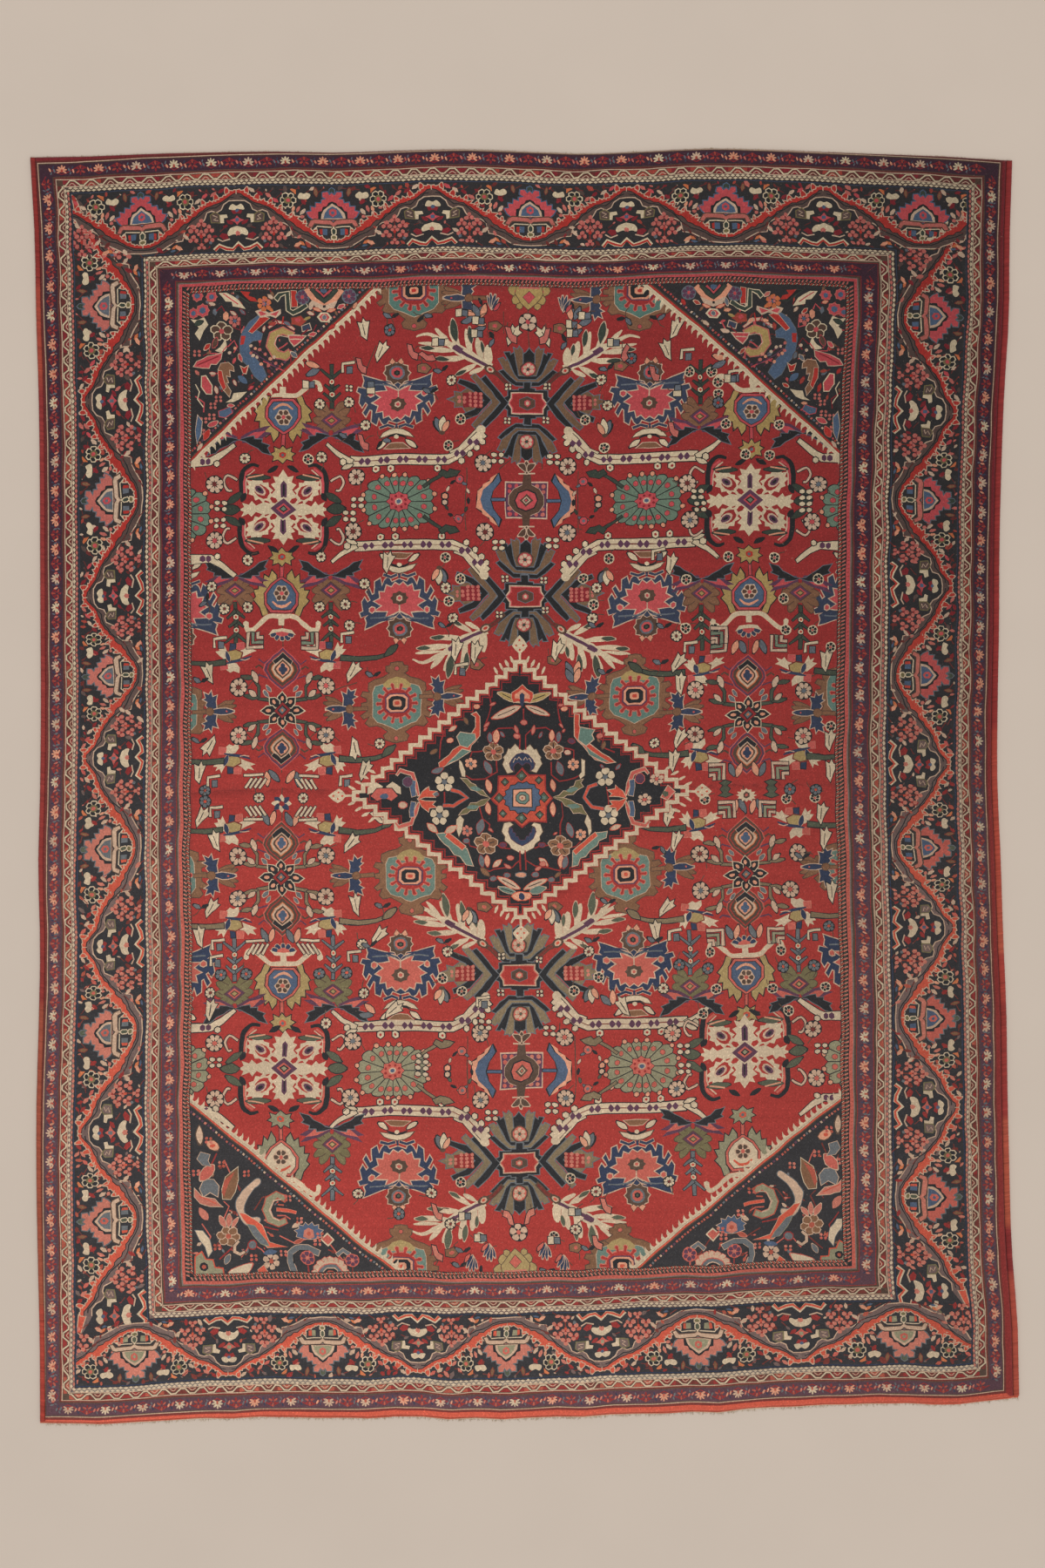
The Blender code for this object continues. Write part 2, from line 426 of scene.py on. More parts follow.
def stripe(dye, low, high, zone=None, sides=("left", "right", "bottom", "top")):
    # One stripe of the border, mitred at the corners.
    for side in sides:
        (a0, a1), (b0, b1) = sideEnds(side, low), sideEnds(side, high)
        with pen.bent(onSide(side)):
            loop = pairs((a0, low, a1, low, b1, high, b0, high))
            pen.add(dye, loop, zone=zone)


def fourSides(depth, pitchEnds, pitchSides, draw):
    # Repeats a small drawing along every side, fitted to a whole number of repeats.
    for side in ("left", "right", "bottom", "top"):
        upright = side in ("left", "right")
        pitch = pitchSides if upright else pitchEnds
        start, stop = sideEnds(side, depth)
        count = max(1, round((stop - start) / pitch))
        step = (stop - start) / count
        for k in range(count):
            with pen.bent(onSide(side, start + (k + 0.5) * step)), pen.at(0, depth, wide=step / pitch):
                draw(pitch, upright)


small = np.random.default_rng(11)


def pick(*names):
    return names[int(small.integers(len(names)))]


def diamondChain(depth):
    # Small diamonds in two touching rows.
    thick, pitch = 1.35, 1.4

    def link(_, upright):
        for row, dye in ((-1, "pink" if upright else "ivory"), (1, "ivory")):
            with pen.at(0.35 * row, thick * 0.25 * row):
                pen.poly(dye, (-0.65, 0, 0, thick * 0.27, 0.65, 0, 0, -thick * 0.27))
    fourSides(depth, pitch, pitch, link)


def zigzag(low, high, pitchEnds, pitchSides):
    tall = high - low

    def tooth(pitch, _):
        half = pitch / 2
        dye = pick("crimson", "maroon", "rust")
        pen.poly(dye, (-half * 0.6, 0.12, half * 0.6, 0.12, half * 0.12, tall * 0.68, -half * 0.12,
                       tall * 0.68))
        pen.both(dye, (half, tall - 0.12, half * 0.42, tall - 0.12, half * 0.8, tall * 0.34, half,
                       tall * 0.34))
        pen.line("ivory", (-half, 0.2, -half * 0.78, 0.2, -half * 0.26, tall - 0.2, half * 0.26, tall - 0.2,
                           half * 0.78, 0.2, half, 0.2), 0.36)
        pen.line("cream", (-half * 0.36, 0.15, -half * 0.08, tall * 0.42, half * 0.08, tall * 0.42,
                           half * 0.36, 0.15), 0.22)
    fourSides(low, pitchEnds, pitchSides, tooth)


def guard(low, high, pitchEnds, pitchSides, face=1):
    # Daisies that open outward between dark red rosettes, on a wavy stem with small leaves.
    tall = high - low
    mid = tall / 2

    def repeat(pitch, _):
        quarter = pitch / 4
        wave = [(x * quarter, mid + (1.25 if x % 4 == 1 else -1.25 if x % 4 == 3 else 0)) for x in range(-2,
                3)]
        pen.line("crimson", wave, 0.3)
        pale = pick("ivory", "cream", "cream", "apricot", "apricot")
        with pen.at(-quarter, mid, tall=face):
            pen.disc("rust", 0, 0.05, 0.75)
            for n in range(7):
                lean = math.radians((n - 3) * 40)
                x, y = math.sin(lean), math.cos(lean)
                pen.disc(pale, x * 0.86, y * 0.86, 0.27, 0.66, turn=-math.degrees(lean))
        with pen.at(quarter, mid):
            for n in range(6):
                lean = math.radians(60 * n)
                pen.disc(("rust", "crimson")[n % 2], math.sin(lean) * 0.85, math.cos(lean) * 0.85, 0.3, 0.62,
                         sides=5, turn=-math.degrees(lean))
        for x in (-pitch / 2, 0):
            for way in (-1, 1):
                pen.leaf(pick("apricot", "pink", "steel"), x + way * 0.75, mid - way * 0.75, x + way * 0.3,
                         mid + way * 0.4, fat=0.42)
                pen.leaf(pick("deep", "steel"), x - way * 0.4, mid - way * 1.3, x - way * 0.1,
                         mid - way * 0.4, fat=0.4)
    fourSides(low, pitchEnds, pitchSides, repeat)


def stitches(dye, low, high, pitch):
    tall = high - low
    fourSides(low, pitch, pitch, lambda *_: pen.poly(
        dye, (-0.16, 0.1, 0.12, 0.1, 0.34, tall - 0.1, 0.06, tall - 0.1)))


def rope(low, high, first, second):
    tall, pitch = high - low, 1.1

    def dash(*_):
        pen.poly(first, (-0.5, 0.05, -0.05, 0.05, 0.4, tall - 0.05, -0.05, tall - 0.05))
        pen.poly(second, (0.1, 0.05, 0.34, 0.05, 0.7, tall * 0.6, 0.5, tall * 0.7))
    fourSides(low, pitch, pitch, dash)


def innerStripes():
    # Shares count inward, from the main border to the field.
    edge = innerDepth

    def at(share):
        return edge * (1 - share)
    stripe("aubergine", 0, edge, zone="inner")
    stripe("deep", at(0.018), edge)
    for dye, low, high in (("ink", 0.04, 0.018), ("umber", 0.15, 0.04)):
        stripe(dye, at(low), at(high))
    diamondChain(at(0.095))
    for dye, low, high in (("cream", 0.172, 0.152), ("bark", 0.31, 0.172)):
        stripe(dye, at(low), at(high))
    zigzag(at(0.305), at(0.18), 5.2, 4.5)
    for dye, low, high in (("cream", 0.33, 0.31), ("bark", 0.37, 0.33), ("crimson", 0.385, 0.37)):
        stripe(dye, at(low), at(high))
    guard(at(0.69), at(0.385), 9.7, 7.9, face=-1)
    for dye, low, high in (("crimson", 0.705, 0.69), ("bark", 0.745, 0.705), ("rose", 0.835, 0.745), ("grey",
            0.77, 0.745)):
        stripe(dye, at(low), at(high))
    stitches("rust", at(0.825), at(0.775), 1.1)
    stripe("ink", at(1.0), at(0.835))
    rope(at(0.922), at(0.845), "pink", "green")
    rope(at(0.99), at(0.922), "rust", "cream")


def outerStripes():
    base = innerDepth + mainDepth
    stripe("crimson", base, base + outerReach * 0.58, zone="outer")
    for dye, low, high in (("deep", 0, 0.25), ("ink", 0.25, 0.5), ("umber", 0.5, 1.8)):
        stripe(dye, base + low, base + high)
    stripe("grey", base + 0.5, base + 1.8, sides=("bottom",))
    diamondChain(base + 1.15)
    for dye, low, high in (("cream", 1.8, 2.02), ("bark", 2.02, 3.85)):
        stripe(dye, base + low, base + high)
    zigzag(base + 2.05, base + 3.8, 5.2, 4.5)
    for dye, low, high in (("cream", 3.85, 4.08), ("maroon", 4.08, 4.5), ("bark", 4.5, 4.75), ("aubergine",
            4.75, 8.25)):
        stripe(dye, base + low, base + high)
    guard(base + 4.75, base + 8.25, 10.0, 7.9)
    for dye, low, high in (("bark", 8.25, 8.5), ("cream", 8.5, 8.72), ("maroon", 8.72, 9.3)):
        stripe(dye, base + low, base + high)
    stripe("brick", base + 9.4, base + 11.4, sides=("bottom",))


borderLooks = {
    "top": {"body": "rose", "rim": "blue", "tray": "pink", "heart": "blue"},
    "right": {"body": "rose", "rim": "steel", "tray": "pink", "heart": "blue"},
    "left": {"body": "pink", "rim": "steel", "tray": "cream", "heart": "steel"},
    "bottom": {"body": "pink", "rim": "steel", "tray": "cream", "heart": "teal"},
}

vineOuter = (0, 2.7, 2.6, 2.9, 3.1, 3.6, 4.5, 3.9, 4.8, 4.8, 6, 5.1, 6.2, 6.3, 7.4, 6.1, 7.7, 7.5, 9, 7.5,
             9.4, 9, 10.7, 10, 11, 8.3, 12, 8.3, 12.4, 9.6, 13.6, 9.8, 14.1, 11, 15.6, 11.3, 16.1, 12.4,
             17.6, 12.6, 18.4, 13.7, 20.6, 13.6, 21.6, 14.2, 22.6, 15.2, 24, 15.8, 24.8, 16.9, 26.6, 17.1)
vineInner = (26.6, 15.5, 25.4, 15.3, 24.3, 14.3, 23, 13.5, 21.5, 12.4, 19.6, 12.2, 18, 11.5, 16.6, 10.4,
             14.8, 9.3, 13.4, 8, 12.2, 6.5, 11, 5.5, 9.4, 4.6, 7.6, 4.1, 6, 3.3, 4.4, 2.3, 2.5, 1.5, 0, 1.3)
vineMate = (0, 0.4, 4.5, 0.7, 7, 2.1, 9, 3.2, 11.3, 3.5, 11.9, 6.4, 13.3, 7.3, 16.4, 7.7, 17.5, 9.2, 18.2,
            10.8, 19.6, 11.2, 21, 10.8, 22.3, 11.5, 23, 13, 24.4, 14, 26.6, 14.2)


vineSpurs = ((5.4, 4.2), (8.2, 6.6), (11.4, 8.8), (14.6, 10.9), (17.6, 12.6), (21.2, 14.2), (24.2, 16.0))
borderDabs = ((14.2, 15.6), (16.6, 16.9), (12.9, 11.4), (20.2, 17.2), (5.6, 17.0), (2.2, 17.4), (10.6, 13.4),
              (6.9, 10.2), (13.2, 16.8), (18.4, 16.6), (7.4, 13.9), (9.4, 17.3))
underDabs = ((15.2, 5.8), (17.0, 3.4), (12.6, 7.2), (19.4, 1.3), (7.0, 6.4), (21.8, 1.0), (8.0, 1.2), (3.4,
        6.8), (12, 0.9), (14.2, 4.6), (16.2, 0.8), (6.4, 4.2))


def dabs(spots):
    for x, y in spots:
        for way in (-1, 1):
            dx, dy = small.uniform(-0.9, 0.9, 2)
            pen.line("maroon", (way * x, y, way * (x + 1.6), y - 0.9 + dy), 0.24)
            pen.leaf(pick("rust", "pink", "maroon", "crimson", "cream", "umber"), way * (x - dx), y - dy,
                     way * (x + dx), y + dy + 0.3, fat=0.55)


def serrated(path, step, tall):
    # Teeth on the left of a path, leaning back.
    along = np.concatenate([[0], np.cumsum(np.linalg.norm(np.diff(path, axis=0), axis=1))])
    at = np.linspace(0, along[-1], 2 * round(along[-1] / step) + 1)
    points = np.stack([np.interp(at, along, path[:, 0]), np.interp(at, along, path[:, 1])], axis=1)
    ahead = np.gradient(points, axis=0)
    ahead /= np.linalg.norm(ahead, axis=1)[:, None]
    out = np.stack([-ahead[:, 1], ahead[:, 0]], axis=1) - 0.7 * ahead
    size = (0.3 + tall * np.sin(at / along[-1] * math.pi) ** 2) * small.uniform(0.6, 1.3, len(at))
    points[1::2] += (out * size[:, None])[1::2]
    return points


def vine():
    # A serrated red stem over a brown band, with a fine line inside.
    mate, inner, outer = pairs(vineMate), pairs(vineInner), pairs(vineOuter)
    share, run = np.linspace(0, 1, len(outer)), np.linspace(0, 1, len(inner))
    follow = np.stack([np.interp(share, run, inner[::-1, 0]), np.interp(share, run, inner[::-1, 1])], axis=1)
    dabs(borderDabs)
    for way in (-1, 1):
        for x, y in vineSpurs:
            pen.leaf("brick", way * (x + 0.3), y - 0.8, way * (x - 0.6), y + 1.7, rim="cream")
    pen.both("umber", np.concatenate([mate, inner]))
    pen.lines("cream", mate, 0.3)
    low = outer + (follow - outer) * 0.62
    body = np.concatenate([serrated(outer + (follow - outer) * 0.12, 1.1, 0.5), low[::-1]])
    pen.both("brick", body, "cream", 0.24)
    pen.both("umber", np.concatenate([low, inner]))
    pen.lines("ink", low, 0.24)
    pen.lines("ink", inner * 0.97 + (0, 0.1), 0.3)


def vineTail(k, count):
    # The upright sides' vine runs out into the corner.
    for way in ([-1] if k == 0 else []) + ([1] if k == count - 1 else []):
        pen.poly("umber", [(way * x, y) for x, y in ((26.4, 13.9), (31.5, 16.9), (31.5, 17.6), (26.4, 15.8))])
        pen.poly("brick", [(way * x, y) for x, y in ((26.4, 15.6), (31.5, 17.4), (31, 18), (26.4, 17.3))],
                 "cream", 0.24)


def palmette(look):
    body, rim = look["body"], look["rim"]
    pen.disc("green", 0, 16.4, 0.75, 1, rim=rim, width=0.25)
    pen.sym(body, (0, 15.9, 0.7, 15.2, 1.3, 16.2, 2.5, 16.1, 2.6, 14.9, 1.5, 14.2, 2.9, 13.9, 3, 12.9, 4.4,
                   13.2, 4.6, 11.9, 5.9, 12.1, 5.8, 10.8, 7, 10.6, 6.3, 9.3, 5, 8.3, 0, 8.3), rim, 0.3)
    pen.sym("ink", (0, 13.6, 1, 13.1, 1.6, 12.2, 2.6, 12, 3, 10.9, 3.9, 10.6, 4, 8.4, 0, 8.4))
    pen.sym("cream", (0, 13, 1.3, 12, 2.4, 11.2, 3.1, 10, 3.3, 8.6, 0, 8.6))
    pen.sym(look["heart"], (0, 12.2, 1.2, 11.4, 2.2, 10.4, 2.7, 8.8, 0, 8.8))
    pen.disc("rose", 0, 10.4, 1.1, 1.2, sides=6)
    pen.disc(look["heart"], 0, 10.4, 0.5, sides=5)
    pen.sym(look["tray"], (0, 7.6, 0.8, 8.2, 5, 8.5, 6, 8.1, 6.8, 6.6, 5.9, 6.3, 5.2, 7.4, 0.8, 7.2, 0, 6.6),
            "bark", 0.3)
    pen.lines("ivory", (0.5, 6.4, 4.4, 6.6, 5.2, 5.6), 0.3)
    pen.both(look["heart"], (1.7, 5.9, 3.1, 5.9, 3, 4.2, 1.8, 4.2))
    pen.both("brick", (3.1, 5.9, 3.9, 5.7, 3.8, 4.3, 3.1, 4.2))
    pen.line("ivory", (0, 6.6, 0, 3.2), 0.5)
    pen.disc("green", 0, 5.2, 0.55, 0.9, rim="ivory", width=0.28)
    pen.disc("olive", 0, 3.6, 0.7, 0.5, rim="ivory", width=0.28)


def tripleFlower(x, y, size=1.0, dye="pink"):
    with pen.at(x, y, size=size):
        for dx, dy in ((0, 0.8), (-0.8, -0.2), (0.8, -0.2)):
            pen.disc(dye, dx, dy, 0.66)
        pen.disc("crimson", 0, 0.05, 0.36, sides=5)


def borderFlowers(k):
    # What stands beside a palmette, outside the vine.
    for _ in mirrored():
        for _, c, s in around(6):
            pen.disc("ink", 12.3 + 1.35 * c, 13.9 + 1.35 * s, 0.78, rim="ivory", width=0.28)
        pen.disc("olive", 12.3, 13.9, 1.1)
        pen.disc("rose", 12.3, 13.9, 0.6)
        pen.poly("ivory", (6.1, 15.4, 7, 16.1, 8, 15.7, 9, 16.1, 9.6, 15.2, 9.2, 14.4, 6.8, 14.4), soft=True)
        pen.leaf("crimson", 8.6, 14.2, 7.3, 12.7, fat=0.6)
        pen.leaf("orange", 10.2, 15.6, 11.8, 17.1, fat=0.42, bow=0.2)
        pen.leaf("brown", 4.3, 15.1, 4.6, 17.2, fat=0.45, rim="maroon")
        pen.leaf("cream", 8.8, 9.8, 7.4, 11.5)
        pen.leaf("pink", 9.8, 10.4, 9, 12.4, fat=0.45)
        pen.leaf("apricot", 11, 10.6, 10.4, 12.2)
        pen.disc("pink", 8.3, 9.2, 0.6, 0.5)
        for n, (x, y) in enumerate(((15, 13.2), (17, 14.6), (19.4, 15.2), (21.6, 16.2))):
            pen.leaf(("cream", "rose", "pink", "crimson")[(n + k) % 4], x, y, x + 1.6, y + 1.3)
        pen.leaf("orange", 8.1, 1.3, 9.8, 2.3, fat=0.45)
        pen.leaf("blue", 7.7, 0.6, 9.3, 0.9, fat=0.4)


def peakFlowers(look):
    # What stands under the vine where it runs outermost.
    dabs(underDabs)
    pen.sym("ivory", (0, 12.7, 0.9, 13.1, 1.8, 12.6, 2.1, 11.6, 0.9, 11.4, 0, 11.8), soft=True)
    pen.sym("crimson", (0, 11.6, 1.6, 11.2, 1, 10.2, 0, 10.6))
    pen.both("ivory", (4.8, 10.1, 2.8, 10.3, 2.5, 9.4, 3.7, 9.1, 3.8, 7.8, 4.9, 7.9), "ink", 0.2)
    pen.leaf("crimson", 3, 8.6, 1.2, 7.4)
    pen.leaf("crimson", -3, 8.6, -1.2, 7.4)
    pen.sym("rose", (0, 9.9, 0.7, 9, 2, 8.6, 0.8, 8, 0, 7.2))
    pen.disc(look["heart"], 0, 8.6, 0.7, sides=4)
    pen.sym("ivory", (0, 6.9, 1, 6.6, 2.1, 6.2, 2.9, 5.1, 2.6, 4.2, 1.3, 4.6, 0, 4.4), soft=True)
    pen.sym("pink", (0, 5.6, 0.7, 5.1, 0.5, 4.2, 0, 4.4))
    pen.disc("blue", 0, 11.4, 0.55, sides=5)
    pen.both("crimson", (3, 4.7, 4.4, 5.2, 5.3, 4.4, 4.1, 3.3, 2.7, 3.5))
    pen.lines("cream", (2.3, 3.4, 4.4, 2.9, 5.8, 3.6), 0.35)
    pen.both("umber", (4.9, 8.1, 7.1, 8.3, 7.3, 10, 6, 10.7, 5, 10), "olive", 0.3)
    pen.lines("cream", (5.4, 8.6, 6.6, 8.9, 5.6, 9.6, 6.7, 10.1), 0.24)
    pen.line("ivory", (-6.6, 0.4, -5.4, 1.8, -3.3, 0.8, -1.6, 0.5, 0, 2.2, 1.6, 0.5, 3.3, 0.8, 5.4, 1.8, 6.6,
                       0.4), 1.15)
    pen.line("brick", (-6.4, 0.3, -5.4, 1.6, -3.3, 0.7, -1.6, 0.4, 0, 1.8, 1.6, 0.4, 3.3, 0.7, 5.4, 1.6, 6.4,
                       0.3), 0.6)
    for _ in mirrored():
        pen.line("maroon", (10.1, 0.8, 10.1, 7.6), 0.4)
        for dx, dy in ((-2, 3.0), (2, 3.0), (-2, 5.6), (2, 5.6)):
            pen.line("maroon", (10.1, dy - 0.9, 10.1 + dx, dy), 0.3)
        for spot in ((10.1, 7.9, 1.0), (12.2, 6.3, 1.0), (8, 6.3, 1.0), (10.1, 5.2, 0.8), (12.3, 3.6, 1.0),
                     (8, 3.6, 1.0), (10.1, 1.4, 0.85)):
            tripleFlower(*spot, "pink")
        pen.disc("brick", 10.1, 4.5, 0.5, 0.6, sides=4)
        pen.leaf("cream", 13.4, 3.6, 15.2, 5.1, fat=0.45)
        pen.leaf("apricot", 15.4, 1, 17.4, 2)
        pen.disc("steel", 7.6, 2.6, 0.5, sides=5)


borderRun = {
    "left": (-118, -66.5, -16.5, 31, 79, 132),
    "right": (-116, -66.5, -19, 29, 77.5, 128.5),
    "bottom": (-107, -56, -6, 46, 102),
    "top": (-103.5, -51.5, 2.2, 55.5, 109),
}
borderPeaks = {
    "left": (-144, -94, -43, 8.5, 52.5, 106, 158),
    "right": (-142, -91, -41, 4.2, 54, 102, 154),
    "bottom": (-133, -81.5, -30, 20, 74, 128),
    "top": (-130, -77.5, -24.5, 28.5, 82, 136),
}
halfRepeat = 26.6


def mainBorder():
    for sides in (("left", "right"), ("bottom", "top")):
        stripe("navy", innerDepth, innerDepth + mainDepth, zone="main", sides=sides)
        for side in sides:
            look = borderLooks[side]
            run, peaks = borderRun[side], borderPeaks[side]
            for k, middle in enumerate(run):
                before, after = (middle - peaks[k]) / halfRepeat, (peaks[k + 1] - middle) / halfRepeat
                with pen.bent(onSide(side, middle, before, after)), pen.at(0, innerDepth):
                    if side in ("left", "right"):
                        vineTail(k, len(run))
                    vine()
                    palmette(look)
                    borderFlowers(k)
            for k, middle in enumerate(peaks):
                before = (middle - run[k - 1]) / halfRepeat if k > 0 else 1
                after = (run[k] - middle) / halfRepeat if k < len(run) else 1
                with pen.bent(onSide(side, middle, before, after)), pen.at(0, innerDepth):
                    peakFlowers(look)


def bloom(dye, reach, petals=8, heart="rose", ground="ink", first=22.5, x=0.0, y=0.0, tall=1.0):
    with pen.at(x, y, tall=tall):
        if ground:
            pen.disc(ground, 0, 0, reach + 0.3, sides=12)
        pen.wreath(dye, petals, reach * 0.28, reach, fat=5.4 / petals, first=first)
        if heart:
            pen.disc(heart, 0, 0, reach * 0.3, sides=6)


def eightPetals():
    bloom("cream", 2.25, 8, pick("steel", "rose", "maroon"))


def seedFlower():
    bloom("ivory", 1.35, 8, "maroon")


def rimFlower():
    bloom("ink", 1.2, 6, "rose", ground="ivory")


def blueFlower():
    bloom("steel", 1.45, 6, "brick")


def fourSpots(x, y):
    return ((-x, y), (x, y), (-x, -y), (x, -y))


def fourDots():
    for x, y in fourSpots(1, 0.85):
        pen.disc("ivory", x, y, 0.8, 0.62, rim="ink", width=0.25)


def tinyDots():
    for x, y in fourSpots(0.55, 0.5):
        pen.disc("ivory", x, y, 0.42, rim="ink", width=0.2, sides=5)


def fanPalm():
    # An upright fan of nested leaves around a small flower.
    shapes = (("ink", (0, -4.9, 3.2, -4.9, 5.6, -3.2, 7.9, -0.9, 6.7, -0.3, 4.7, -1.6, 2.9, -3.4, 0, -3.4)),
              ("fan", (0, -3.7, 3, -3.7, 4.8, -2.0, 6.6, -0.4, 8.1, 2.4, 6.9, 2.9, 6.2, 2.0, 5.8, 2.8, 4.9,
                       0.2, 3.3, -1.9, 2.2, -2.7, 0, -2.7)), ("ink", (0, -2.9, 2.3, -2.9, 3.7, -1.5, 4.7, 0.9,
            6.5, 4.3, 5.3, 4.5, 5.1, 3.7, 4.2, 4.4, 3.2, 1.2, 2.2, -1.5, 0, -1.9)), ("fan", (0, -1.9, 2.3,
            -1.8, 3.2, 1.2, 4.1, 5.6, 3.1, 5.2, 2.7, 6, 1.9, 5.2, 1.5, 2.2, 0, 1.2)))
    for dye, half in shapes:
        pen.sym(dye, half, "steel", 0.26)
    pen.sym("ink", (0, 5.6, 0.8, 4.7, 1.5, 4.2, 1.5, 1.2, 0, 1.2), "steel", 0.26)
    pen.disc("bark", 0, 0, 2.4, 2.3, sides=10)
    bloom("cream", 1.65, 6, "green", ground="rose", first=90)


def cartouche():
    ring = pairs((-0.9, -5.6, 0.9, -5.6, 0.9, -3.9, 2.2, -3.9, 2.2, -3.4, 5.4, -3.4, 5.4, -1.8, 7.4, -0.7,
                  7.4, 0.7, 5.4, 1.8, 5.4, 3.4, 2.2, 3.4, 2.2, 3.9, 0.9, 3.9, 0.9, 5.6))
    pen.poly("ink", np.concatenate([ring, ring * (-1, -1)]), "steel", 0.25)
    frame = pairs((-4.5, -2.9, 4.5, -2.9, 4.5, -1.5, 5.6, 0, 4.5, 1.5, 4.5, 2.9, -4.5, 2.9, -4.5, 1.5, -5.6,
                   0, -4.5, -1.5))
    pen.nest(frame, ("cream", 1), ("rose", (0.93, 0.89)), ("red", (0.86, 0.82)))
    pen.disc("bark", 0, 0, 2.4, 1.7, sides=6, rim="steel", width=0.15)
    pen.disc("rose", 0, 0, 1, 0.9)
    pen.disc("cream", 0, 0, 0.55)
    for _ in mirrored():
        pen.poly("fan", (12, 0.8, 12.6, 3.2, 16.6, 3.4, 18.4, 2.3, 20, 2.6, 19.8, 1.4, 21.8, 0.7, 19.8, -0.1,
                         20, -1.4, 18, -1.2, 17, -2.6, 13.6, -2.4), "steel", 0.25)
        for dye, width, path in (
                ("ink", 1.9, (12.3, 6.9, 9.4, 3.4, 6.4, 0, 9, -3, 12, -6.2)),
                ("fan", 1.9, (15, 7.3, 11.8, 3.8, 8.7, 0.1, 11.5, -3.1, 14.8, -6.4)),
                ("ink", 1.8, (18.8, 5.6, 14.6, 3.9, 11.0, 0.6, 14.2, -2.6, 18.2, -4.2))):
            pen.line(dye, path, width, rim="steel", edge=0.25, taper=0.35)
        pen.poly("crimson", (12.4, -1.5, 17.8, -1.5, 17.8, 2.3, 12.4, 2.6))
        for k in range(5):
            for row in range(4 if k < 3 else 2):
                pen.disc("pink", 12.8 + 1.5 * k, -0.9 + 1.05 * row + (0.9 if k > 2 else 0), 0.52)


def antler():
    # A large ivory leaf with many tines.
    pen.line("ivory", (0, 0.2, -4, 2.6, -9, 5.2, -14, 8, -17.5, 9.5, -20.4, 8.6), 2.5, end=0.4, soft=True)
    for x0, y0, x1, y1, fat in (
            (-0.6, 0.2, -0.6, 6.4, 0.36), (-2.2, 1.6, -3.6, 8.2, 0.3), (-5.2, 3.2, -6.9, 10.6, 0.24),
            (-8.2, 4.6, -11.6, 11.4, 0.24), (-9.5, 4.8, -18.6, 5.4, 0.17), (-6.5, 2.8, -14.4, 2.5, 0.2),
            (-3.8, 1.2, -9.2, -1.8, 0.26), (-1.9, 0.2, -5.8, -1.6, 0.3), (-12, 6.2, -19.6, 7.0, 0.13),
            (-11, 6.4, -15.4, 11, 0.2)):
        pen.leaf("ivory", x0, y0, x1, y1, fat=fat, blunt=0.5)
    pen.leaf("ivory", -0.6, 0.4, -13, 7.6, fat=0.2)
    for x0, y0, x1, y1 in ((-9.6, 7.2, -10.6, 13.4), (-5.2, 6.6, -5.8, 11.2), (-15.4, 5.4, -19.2, 5.6),
                           (-11.4, 2.4, -15.4, 2.7), (-6.6, -0.6, -9.6, -2.2), (-1.9, 4.2, -2.4, 7.4)):
        pen.leaf("green", x0, y0, x1, y1, fat=0.32, rim="cream", width=0.15)
    pen.line("purple", (-1, 0.8, -3.5, 2, -6.5, 3.6, -10.4, 6), 0.85)
    pen.poly("purple", (-8.4, 4, -7.4, 5.2, -9.6, 6.5, -10.6, 5.4))
    pen.line("bark", (5, -4.4, 2.2, -1.6, -0.2, -0.2), 1.3)
    pen.line("maroon", (4.6, -4, 2.2, -1.6, -0.2, -0.2), 0.8)
    pen.disc("bark", -0.2, -0.2, 1.8, 1.2, turn=-30)
    pen.disc("cream", -0.2, -0.2, 1.1, 0.75, sides=7, turn=-30)
    pen.disc("brick", -0.2, -0.2, 0.6, 0.4, turn=-30)


